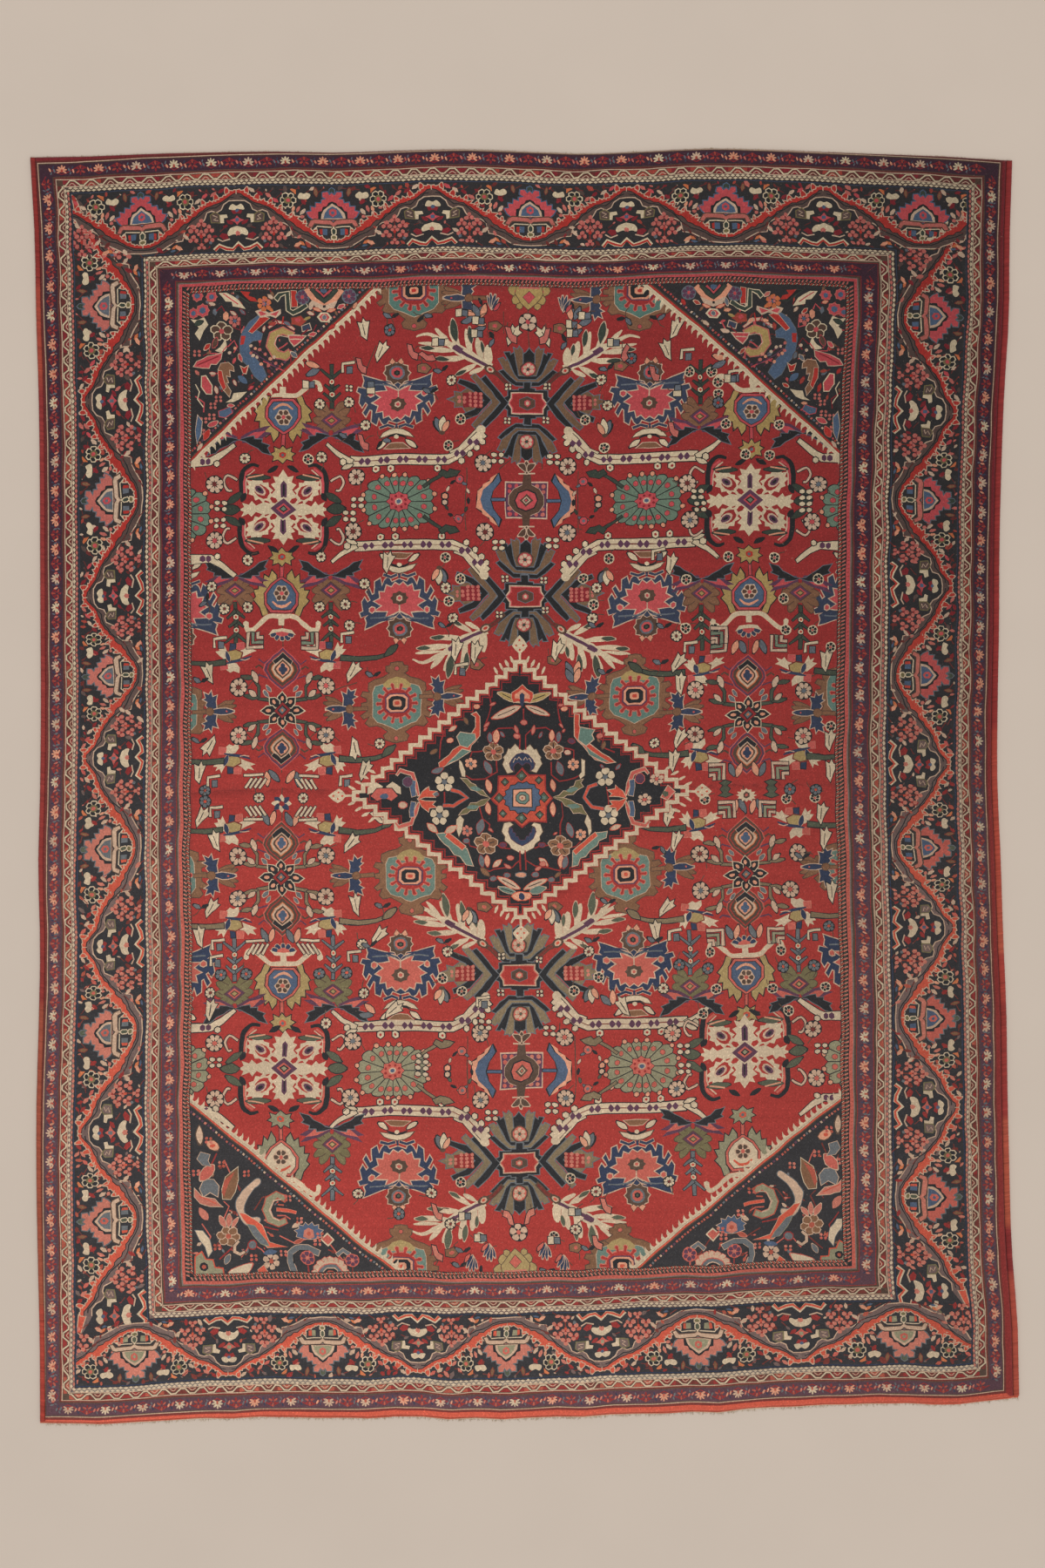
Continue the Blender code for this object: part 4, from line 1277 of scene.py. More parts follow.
def place(draw, spots, stem=0.0, **kept):
    # spots: x, y, and perhaps turn, wide and tall. A stem leaves each drawing in its own direction.
    for spot in spots:
        x, y, turn, wide, tall = (*spot, *(0, 1, 1)[len(spot) - 2:])
        with pen.at(x, y, turn=turn, wide=wide, tall=tall):
            if stem:
                way = small.uniform(0, 2 * math.pi)
                c, s = math.cos(way) * stem, math.sin(way) * stem
                pen.line("bark", (0, 0, c * 0.6 - s * 0.15, s * 0.6 + c * 0.15, c, s), 0.26)
            draw(**kept)


def stems():
    # Thin dark stems that join the motifs.
    for path in ((1.7, 132, 1.7, 118), (1.5, 67, 1.5, 64), (-5, 129, -5, 123), (-66, 89, -66, 98),
                 (-65.7, 47, -65.7, 3), (-65.7, -1, -65.7, -31), (-65.7, -40, -65.7, -46),
                 (63.4, 38, 63.4, 2), (62.5, -2, 62.5, -12), (62, -36, 62, -45),
                 (-15, 86, -15, 69), (16, 86, 16, 69), (-15, -69, -15, -86), (14.5, -69, 14.5, -86),
                 (-6, 86, -2.5, 89, -2.5, 95), (6, 86, 5.6, 90), (-43, 112, -40, 120), (-25, 102, -29, 99),
                 (-12, -78, -5, -78), (-78, 16, -72, 10, -66, 9), (-54, 16, -60, 11), (-78, 24, -72, 30),
                 (-53, 24, -47, 20), (-45, 28, -53, 25), (48, 26, 44, 29), (78, 26, 83, 29)):
        pen.line("bark", path, 0.28)


def field():
    stems()
    place(fanPalm, ((1.7, 113.7), (1.7, 93.7, 180), (1.6, 61.3), (1.2, 43.6, 180), (-0.8, -44.2), (-0.6,
            -62.8, 180), (-0.8, -95.6), (-1, -112, 180)))
    place(cartouche, ((1.7, 104.1), (1.4, 51.4), (-0.7, -52.3), (-0.9, -103.6)))
    place(antler, ((-8.6, 113.4), (11.8, 113.4, 0, -1), (-9.3, 42.3, 0, 1, -1), (11.2, 42.3, 0, -1, -1),
                   (-10.6, -43.4), (9.6, -43.2, 0, -1), (-10.6, -113.8, 0, 1, -1), (8.6, -113.8, 0, -1, -1)))
    place(bar, ((-19, 88.6), (21, 88.8, 0, -1), (-17.6, 65.2, 0, 1, -1), (20.6, 65.3, 0, -1, -1), (-18,
            -66.4), (17.2, -66.2, 0, -1), (-18, -89.6, 0, 1, -1), (17, -89.4, 0, -1, -1)))
    place(squareRosette, ((1.7, 77.7), (-0.2, -78.4)))
    place(loopBranch, ((-17.4, 77.6), (18, 77.6, 0, -1), (-17, -78.4), (18.4, -78.2, 0, -1)))
    place(tealRosette, ((-33.5, 77), (35, 77.2), (-35.4, -78.8), (32.8, -78.2), (-95.4, 74.2), (93.4, 75.4),
                        (-95.6, -78), (92.6, -78.6)))
    place(tealStems, ((-33.5, 77), (35, 77.2, 0, -1)), low=False)
    place(tealStems, ((-35.4, -78.8), (32.8, -78.2, 0, -1)), low=True)
    place(bluePalmette, ((-34.2, 103.8), (35.4, 103.9), (-33.3, 50.6, 0, 1, -1), (35.2, 51, 0, 1, -1), (-33.4,
            -52.6), (30.8, -51.8), (-34, -104.8, 0, 1, -1), (31.2, -105, 0, 1, -1), (-93.4, 49.2, 0, 1, -1),
                         (92.4, 50.4, 0, 1, -1), (-95.2, -52), (92.8, -51.6)))
    place(brownRosette, ((-34, 21.8), (32, 23.6), (-30.2, -25.4), (29.2, -25.2), (-96.2, 20), (92.4, 23.6),
                         (-96.4, -24.6), (91.4, -25), (-29.6, 134.6), (32, 134.8), (-33.6, -132.4), (26.4,
            -132.6)))
    place(wingFlower, ((-48.4, 20.8), (-84.6, 20, 0, -1), (-21.6, 23.8, 0, -1), (19, 24), (45, 18.8, 0, -1),
                       (81.6, 18), (-46.4, -25), (-84, -24.8, 0, -1), (42.6, -24, 0, -1), (83.4, -24.6), (-16,
            132.6), (19, 133)))
    place(shieldPalmette, ((-65.6, 100.6), (63.6, 101.2), (-66, 51.6, 0, 1, -1), (63.6, 51, 0, 1, -1), (-65.9,
            -55), (61.6, -54.4)))
    place(shieldPalmette, ((-66, -102.6, 0, 1, -1), (60.2, -103, 0, 1, -1)), pale=True)
    place(horns, ((-66, 51.6, 0, 1, -1), (63.6, 51, 0, 1, -1), (-65.9, -55), (61.6, -54.4), (-66, -102.6, 0,
            1, -1), (60.2, -103, 0, 1, -1)))
    place(horns, ((-65.6, 100.6), (63.6, 101.2, 0, -1)), leftToo=False)
    place(crown, ((-65.8, 41.6, 180), (63.4, 41.4, 180), (-65.8, -46.4), (61.4, -45.8)))
    place(snowflake, ((-65.5, 75.2), (63.6, 76.4), (-65.2, -78), (61, -75.4)))
    place(leafTree, ((-52.2, 99.6), (49.2, 99.8), (-52.4, 53.2, 0, 1, -1), (-78.8, 53, 0, 1, -1), (50.4, 51.2,
            0, 1, -1), (77.8, 51, 0, 1, -1)))
    place(leafTree, ((-52, -56.8), (-79.2, -57.2), (46.3, -56.8), (76.2, -57), (-52, -98.6, 0, 1, -1), (46.6,
            -98.4, 0, 1, -1)), low=True)
    place(darkWings, ((-52.2, 99.6), (49.2, 100.4), (-77.8, 98.6), (78, 99.4), (-52.4, 52.8, 0, 1, -1),
                      (-78.6, 52.8, 0, 1, -1), (50.4, 50.8, 0, 1, -1), (77.8, 50.6, 0, 1, -1), (-51, -56.6),
                      (-79, -57), (46.6, -56), (76.6, -56.4), (-52, -98.6, 0, 1, -1), (46.6, -98.4, 0, 1,
            -1)))
    place(lilies, ((-53.6, 35.4), (-79, 35, 0, -1), (-53.4, 6.6, 0, 1, -1), (-79.4, 6.6, 0, -1, -1), (-53.4,
            -12), (-79, -12, 0, -1), (-53.6, -38.2, 0, 1, -1), (-79, -38.4, 0, -1, -1), (51, 30.4, 0, -1),
                   (77, 30.2), (50.4, 6.4, 0, -1, -1), (78.4, 6.2, 0, 1, -1), (49.6, -12, 0, -1), (76.4, -12),
                   (48.4, -37.6, 0, -1, -1), (76, -37.8, 0, 1, -1)))
    place(branch, ((-52.6, 34.6, 0, -1), (-78.6, 33.4), (-52.8, 7, 0, -1), (-79, 6.6), (-52.8, -12.6, 0, -1),
                   (-79, -12.4), (49, 29.6), (79, 29.6, 0, -1), (50, 7.2), (77, 6, 0, -1), (49, -13), (77,
            -13, 0, -1)))
    place(branch, ((-53, -37.4, 0, -1), (-79, -38.6), (48, -38.2), (77, -37.8, 0, -1)), low=True)
    place(lozenge, ((-65.8, 31.4), (-65.8, 9.6, 180), (63.4, 28.2), (63.4, 7)))
    place(lozenge, ((-65.8, -16.2), (-65.8, -36, 180), (62.6, -16.2), (62, -35.6)), outer="bark",
          heart="blue")
    place(starRosette, ((-65.8, 20.1), (63.5, 17.6)))
    place(starRosette, ((-65.8, -25.8), (62.4, -26.4)), low=True)
    place(goldRosette, ((1.7, 133.2), (-2.6, -130.4, 180)))


def fieldFill():
    # The small flowers and leaves between.
    place(eightPetals, ((-78, 26.5), (-53.5, 26.8), (-78, 13.3), (-53.5, 13.5), (49, 24.5), (79, 24), (49,
            12.5), (79, 11.5), (-77.8, -19.8), (-53.4, -19.4), (-78, -31.3), (-53.8, -30.7), (50, -20.4),
                        (76.8, -20.6), (49.6, -30.2), (74.6, -30.8), (-84.6, 82.2), (-84.4, 66.8), (-45.4,
            84.2), (-46.2, 69.4), (46.2, 81.4), (47, 71.4), (82.4, 81.2), (80.8, 70.8), (-47, -85.6), (-46.6,
            -70.4), (41.2, -69.4), (42.4, -84.6), (-84, -86), (-84.6, -70.6), (79.6, -69.4), (80.6, -83),
                        (-10.4, 87.4), (13, 87.2), (-9.8, 68.8), (13, 69), (-11.6, -68.2), (11.8, -69.4),
                        (-11.4, -86.4), (12, -86)), stem=4.2)
    place(seedFlower, ((-55.6, 104.2), (-47.4, 104.6), (-42.8, 98.2), (-76.2, 89.2), (-55, 89.6), (-85.4,
            54.2), (-81.8, 48), (-75.4, 48.2), (-55.4, 48.6), (-48.4, 49.4), (-43.2, 55), (-55, 62.2), (-75.6,
            61.4), (-47.2, 43.6), (-72, -3.9), (-59.9, -3.8), (-38.5, 10.8), (37.6, 10.4), (43.4, 39.6), (-44,
            -43.6), (-43.6, -57), (-85.8, -57), (-20.4, -46), (18.6, -46), (38.8, -57), (23.8, 103.6), (-18.6,
            45.2), (20, 45.4), (21.4, 53.6), (-20.6, 53.6), (-54.2, -65.2), (-19.2, 110), (21.8, 111), (-25,
            -112), (20, -112), (-45, -112), (40, -110), (-20, -120), (14, -122)), stem=3.4)
    place(rimFlower, ((46.2, 112), (52.2, 111.8), (54, 109), (54.2, 105.8), (56.6, 97.4), (71.2, 97.4),
                      (-16.8, 99.6), (17.6, 100), (-16.4, 55.8), (17.6, 56.4), (46, 55), (73.2, 49.4), (82.8,
            54.8), (46, 41.6), (54, 41.6), (73.6, 41), (81.2, 40.8), (57.8, 61), (70.4, 60.8), (-16.6, -56.6),
                      (14.2, -56.6), (-58.6, 89), (62, 89.4), (68.8, 89), (51.8, -47.2), (71.4, -47.6), (53.4,
            -57.6), (69, -58), (83.4, -57.8), (49.6, -64), (73.2, -64.2), (74, -5.6), (82.2, -5.6), (51.6,
            -5.4), (-22, -53), (21, -53.2), (86.2, 36), (86.4, 14.4), (-20, 92.4), (23, 92.2), (-20.6, 61.6),
                      (24.6, 61.6), (-19.8, 50), (20.4, 49), (-17, -109), (13, -108), (-12, -124), (8, -124)),
          stem=3.2)
    place(blueFlower, ((-36.4, 124), (-87, -1.6), (-87, -4.6), (75, -3), (82.4, -3.2), (-83, -52), (-76, -52),
                       (-55.8, -51.8), (-48.4, -51.6), (43.2, -50.6), (51.2, -51.6), (71.8, -52), (80.4, -52),
                       (30, 116.4), (85, -41), (54.2, 103.4), (-34, -118)), stem=3.4)
    place(fourDots, ((-83, 76.4), (-83, 71.6), (-45, 77), (-47.2, 73.4), (79, 78.2), (79, 74.8), (49, 78.4),
                     (49.8, 75), (-27.4, -75.4), (-27.4, -78.8), (44.2, -73.8), (44.4, -79), (-6, 65.4), (9,
            66), (-6.4, 89), (9, 89), (-10.2, -65.8), (7.6, -67.8), (-8.2, -90.6), (8, -88.8), (-84, -76),
                     (82, -75)))
    place(tinyDots, ((-3.6, 108.5), (7.2, 108.8), (-3.8, 99.4), (6.8, 99.8), (-4, 56), (6.6, 56), (7, 47.6),
                     (-5.8, 46.4), (-47.4, 108.5), (-5.6, -47), (4.8, -48.2), (4.6, -57.2), (-6, -57)))
    place(eyeBud, ((-7.4, 125), (10.2, 125), (-27, 113.4), (27, 114.4), (-12, 32.6), (9.6, 34), (9.6, -33.6),
                   (-10, -33.6), (-20, -128), (14, -127)), stem=3.6)
    place(tulip, ((-22, 97.6), (23.2, 97.4, 0, -1), (-22, 57, 180), (23.6, 57, 180, -1), (-22, -57.4, 180),
                  (18.6, -57.6, 180, -1), (-22, -98), (18, -98, 0, -1), (-14, -36, 180), (9, -36, 180)))
    place(tuft, ((-43.6, 124, 20), (42, 123.4, -30, -1), (-3, 122.4, -20), (6.4, 122.4, 20, -1), (-86.4, 30,
            30), (-46.6, 30.6, -20), (-85.6, 11, 160), (-45.4, 10.4, 200), (-89, 3, 10), (-43.2, 3.6, -10),
                 (44.4, 26, 10), (84.6, 32, 10), (43.4, 32, -20), (44.2, 11, -15), (86, 10, 10), (42.6, 5, 5),
                 (86.2, 1.6, 5), (40.8, -10), (83.6, -10.4), (43, -17), (84, -17), (-86, -34, -20), (-45.6,
            -33.4, 20), (-84, -16, 30), (-47, -16, -30), (39.6, -35, -30), (-38.8, -9.4, 50), (-88.6, -9,
            -20), (-18, 36), (-12.6, 35.4), (10, 36.4), (-89, -42, 20), (37, -41.6, 20), (-40, -41.8, -30),
                 (85.6, -32, 10), (-39, 118, -10), (39.6, 117.6, 30), (-86, -62), (-36, -62.4, -40), (27.6,
            -62, 40), (-37, 60), (41.4, 59)))
    place(sprig, ((-36, 127.2), (37, 127, 0, -1), (-27, 128, 200), (28.2, 127.6, 160), (-22, 112.4, 20),
                  (23.4, 113.6, 20), (-40.6, 29.4), (23.6, 30), (-17, -128), (17.6, -128), (-82, 128), (39,
            32), (-38, -34), (24, -33), (-38, 94, 200), (-42, -44.4, 10), (36.8, -44), (40, 42), (-48, 94.8),
                  (-11, 130.4, 90), (14, 130.4, 90), (-20.6, 42.6), (21, 43), (-25.2, 106.8), (-7.6, 121.4,
            90), (12, 121.4, 90), (39, -18, 160), (78, -22), (-88.4, -33.8), (-88.6, 28), (-88.8, 11.4),
                  (-21.4, -43.6), (19.4, -43.4), (-86.6, 50, 60), (-18, -132), (-12, -134, 60), (6, -134)),
          stem=3.0)
    place(pairLeaves, ((-11.6, 129.2), (13.8, 129.4, 0, -1), (-15, 127.6, 90), (17, 127.8, 90), (-12, 125,
            90), (14.4, 125, 90), (-69, 1.6, 200), (-62.6, 1.6, 160), (-69, -9.4), (-62.6, -9.6), (60.6, 36,
            180), (66.2, 36, 180), (60.4, 2.6), (66.6, 2.6, 0, -1), (60.8, -8, 180), (65.6, -8, 180), (-69.6,
            -41.4), (-62.6, -41.4), (58.6, -42), (65, -42), (-57.6, 114, 90), (-42.4, -62, 60), (24, -59, 20),
                       (54, 115, 90), (15, 32), (15, 30)))
    place(comb, ((-73.6, 0.6), (-58.4, 0.6, 0, -1), (-73.6, -8, 0, 1, -1), (-58.4, -8, 0, -1, -1), (-73.4,
            -44.8), (-58.4, -44.6, 0, -1)))
    place(steppedCorner, ((55, 2, 0, -1), (72.6, 2), (57.6, -8.6, 0, -1), (68.8, -8.6), (55.2, 37.2, 0, -1,
            -1), (71.8, 37.2, 0, 1, -1), (53.6, -43.4, 0, -1), (70.2, -43.4), (55.2, 39.6, 0, -1), (-73.4,
            39.4, 0, 1, -1), (-58.4, 39.4, 0, -1, -1)))
    place(twoBirds, ((-47.4, 113.8), (45.6, 116.4), (-83, 38.6), (-47.6, 39.8), (47.4, 36.2), (81, 35.6),
                     (-84.4, 0.6), (-47.8, 0.8), (-83.8, -7.8), (-83.4, -44.2), (42.6, -42.8), (81, -43.8),
                     (-84, -48.6), (-46, -47.4), (58.8, 110.4), (-10.6, -60), (38.6, 62), (-16, 31)))
    for x, y in ((1.7, 126.3), (-1.4, -122.6)):
        bloom("cream", 2.3, 5, "rose", x=x, y=y)
    place(blocks, ((-12, 126.4), (-12.2, 122.8), (13.6, 126.2), (13.8, 123.8), (-16.6, 128.4), (17.2, 128.6),
                   (-12, -124), (8, -125), (-23, 120.6), (25, 121), (-16, -118), (14, -117), (-41.6, 108.6,
            90), (43, 107, 90), (-58.6, 109.6), (57.4, 110)), stem=3.0)
    place(hook, ((-3, 122.8), (6.2, 122.8, 0, -1), (-4, -118.6, 180), (1.6, -118.4, 180, -1), (-26, 116.6,
            40), (28.4, 118, -40), (-24, -128), (20, -126), (-30, 118), (36.4, 112), (-44, 114.6), (41.8,
            96.4), (-43.6, 93.8), (-23.6, -117), (22.4, -116)), stem=3.4)
    place(feather, ((-8.4, 131.4), (11.2, 131.6), (-9.6, -127.6, 180), (5.6, -127.8, 180), (-14.4, -130.8,
            180), (10.6, -131, 180)), stem=2.6)
    with pen.at(-65.8, -5.4):
        for k, c, s in around(8):
            pen.leaf(("ivory", "deep")[k % 2], 0, 0, 2.8 * c, 2.6 * s, fat=0.55)
        pen.disc("crimson", 0, 0, 0.8)
    with pen.at(63.2, -4.8):
        pen.disc("ivory", 0, 0, 2.4, 1.7, sides=24, lobes=12, depth=0.16)
        pen.disc("bark", 0, 0, 1)
        pen.disc("rose", 0, 0, 0.45, sides=5)
    for x in (57.4, 69.9):
        with pen.at(x, -2.8):
            pen.sym("green", (0, 2.4, 1.6, 1.8, 0.5, 1, 1.4, 0, 0.5, -1, 1.9, -1.8, 0, -2.4), "ink", 0.22)
    for x, y, way in ((-91, 88.4, 1), (88.6, 88.6, -1), (-91, 61.8, 1), (88.6, 64.4, -1), (-91, -66.4, 1),
                      (88, -65.8, -1), (-91, -89.2, 1), (88, -88.4, -1)):
        tall = 1 if y in (88.4, 88.6, -66.4, -65.8) else -1
        with pen.at(x, y, wide=way, tall=tall):
            pen.line("ivory", (0, 0, 5.4, 0, 8.4, 1.8, 12, 4.6), 2.5, rim="ink", edge=0.25, end=1)
            for dx in (3.2, 4.8):
                pen.disc("purple", dx, 0, 0.8, 0.95)
            pen.disc("ivory", 7.2, -0.6, 0.8, rim="ink", width=0.25)


def stairs(corners, counts):
    # A stepped outline between the corners, flat steps first.
    points = []
    for (x0, y0), (x1, y1), count in zip(corners, corners[1:] + corners[:1], counts):
        for k in range(count):
            a, b = k / count, (k + 1) / count
            points.append((x0 + (x1 - x0) * a, y0 + (y1 - y0) * a))
            points.append((x0 + (x1 - x0) * b, y0 + (y1 - y0) * a))
    return np.array(points)


def medallion():
    corners = [(-45.8, -2.1), (-1.4, 33.6), (46.8, -4.1), (1.3, -36.4)]
    steps = stairs(corners, (17, 17, 16, 16))
    pen.add("red", grown(steps, 0.6), zone="medallion")
    pen.add("ivory", grown(steps, 0.45))
    pen.add("red", grown(steps, -0.6))
    pen.add("ink", grown(steps, -1.1))
    pen.add("crimson", grown(steps, -1.4))
    pen.add("ink", grown(steps, -1.75))
    for x, y, turn in ((-46, -3.1, 90), (46.8, -3.1, -90), (0, 33.8, 0), (-0.1, -36.8, 180)):
        upright = turn in (0, 180)
        with pen.at(x, y, turn=turn):
            pen.line("ivory", (0, -0.6, 0, 2.6), 0.7)
            for way in (-1, 1):
                for k in range(4):
                    dx, dy = way * (1.6 + 1.5 * k), -0.9 - (1.2 if upright else 2.0) * k * (0.8 if upright
                            else 0.9)
                    pen.leaf("ivory", dx, dy, dx + way * 1.1, dy + 2.2, fat=0.34)
            pen.sym("ivory", (0, 6.8, 1.3, 5.4, 2.2, 4, 1.3, 2.8, 0, 1.8))
            for dx, dy in ((-1, 4), (1, 4), (0, 5.4), (0, 2.9)):
                pen.disc("brick", dx, dy, 0.36, sides=4, turn=45)
    with pen.at(0.9, -4, size=0.0545):
        medallionHeart()
        medallionFlowers()
    for x, wide in ((-28.4, 1), (30.4, -1)):
        with pen.at(x, -4.4, wide=wide):
            for tall in (-1, 1):
                pen.line("rose", (0.6, tall * 1, -0.2, tall * 4, -1.2, tall * 6.8, -4.6, tall * 7.8, -5.6,
                                  tall * 6.6), 1, rim="cream", edge=0.2, taper=0.6)
                pen.line("blue", (-0.8, tall * 0.8, -1.2, tall * 3.2, -1, tall * 5), 1.3, rim="cream",
                         edge=0.15)
                pen.poly("brick", (0.4, 0, 2.4, tall * 0.6, 5.2, tall * 0.6, 4.4, tall * 1.4, 5.6, tall * 2.2,
                                   3.6, tall * 2.4, 3.4, tall * 3.4, 1.6, tall * 2), "cream", 0.18)
    with pen.at(-37.4, -3):
        pen.both("ivory", (0.4, 2.2, 2.2, 3.4, 4.4, 2, 4.6, 0, 2.4, 0.8, 1, 0.6))
        pen.sym("rose", (0, 1.6, 2, 1.6, 3.6, -0.4, 2, -1.8, 0, -1), "ink", 0.2)
        pen.disc("blue", 0, -0.6, 1.2, 0.8)
        pen.disc("cream", 5.2, -3, 1.1, 0.9, rim="rose", width=0.25)
    for x, y in ((35, -4.8), (38.4, 0.6)):
        bloom("cream", 2.0, 6, "rose", ground=None, x=x, y=y, tall=0.8)
    pen.poly("rose", (39.6, -4.4, 41.6, -1.4, 43.4, -3.2, 41.2, -5.2), "cream", 0.2)
    pen.disc("green", 40.8, -3.6, 0.9, sides=5)
    pen.disc("purple", 33.6, 0.9, 1.3, rim="rose", width=0.2)
    pen.disc("purple", -31, 0.3, 1.4, rim="steel", width=0.2)


def medallionHeart():
    # In photo-sized units around the middle of the rug.
    star = (0, 148, 35, 112, 118, 112, 118, 35, 150, 0, 118, -35, 118, -108, 35, -108, 0, -140)
    pen.sym("brick", star, "crimson", 7)
    for x, y, size in ((-3, 114, 25), (-3, -98, 25), (-115, 4, 22), (112, 4, 22), (-88, 86, 17), (88, 88, 17),
                       (-96, -76, 17), (88, -78, 17)):
        pen.disc("green", x, y, size, rim="ink", width=4, sides=4, turn=45)
        pen.disc("sea", x, y, size * 0.45, sides=4)
    pen.disc("ink", 3, 4, 96, 80, sides=28, lobes=14, depth=0.07)
    pen.disc("blue", 3, 4, 91, 75, sides=28, lobes=14, depth=0.07)
    pen.poly("apricot", (-43, -40, 50, -40, 50, 44, -43, 44), "ink", 5)
    pen.disc("sea", 3, 2, 34, 30, rim="ink", width=4)
    pen.disc("cream", 3, 2, 16, 14, rim="bark", width=4, sides=6)
    pen.disc("rust", 3, 2, 6, sides=4)
    pen.sym("ivory", (0, 244, 10, 250, 37, 274, 60, 250, 70, 252, 82, 225, 96, 210, 90, 200, 102, 176, 76,
                      129, 47, 137, 62, 152, 70, 177, 47, 207, 12, 230, 0, 236), "bark", 4)
    pen.sym("deep", (0, 232, 30, 222, 54, 198, 64, 170, 56, 150, 44, 142, 48, 160, 38, 178, 20, 184, 0, 168),
            "purple", 3)
    pen.lines("cream", (4, 196, 16, 212, 26, 196, 38, 204, 48, 184), 4)
    pen.sym("ivory", (0, -278, 30, -262, 56, -246, 66, -228, 90, -208, 88, -190, 104, -163, 92, -125, 62,
                      -118, 48, -132, 68, -142, 74, -165, 60, -200, 30, -225, 0, -238), "bark", 4)
    pen.sym("deep", (0, -234, 30, -220, 58, -196, 69, -165, 62, -142, 52, -152, 50, -170, 38, -172, 36, -190,
                     22, -190, 16, -206, 0, -208), "purple", 3)


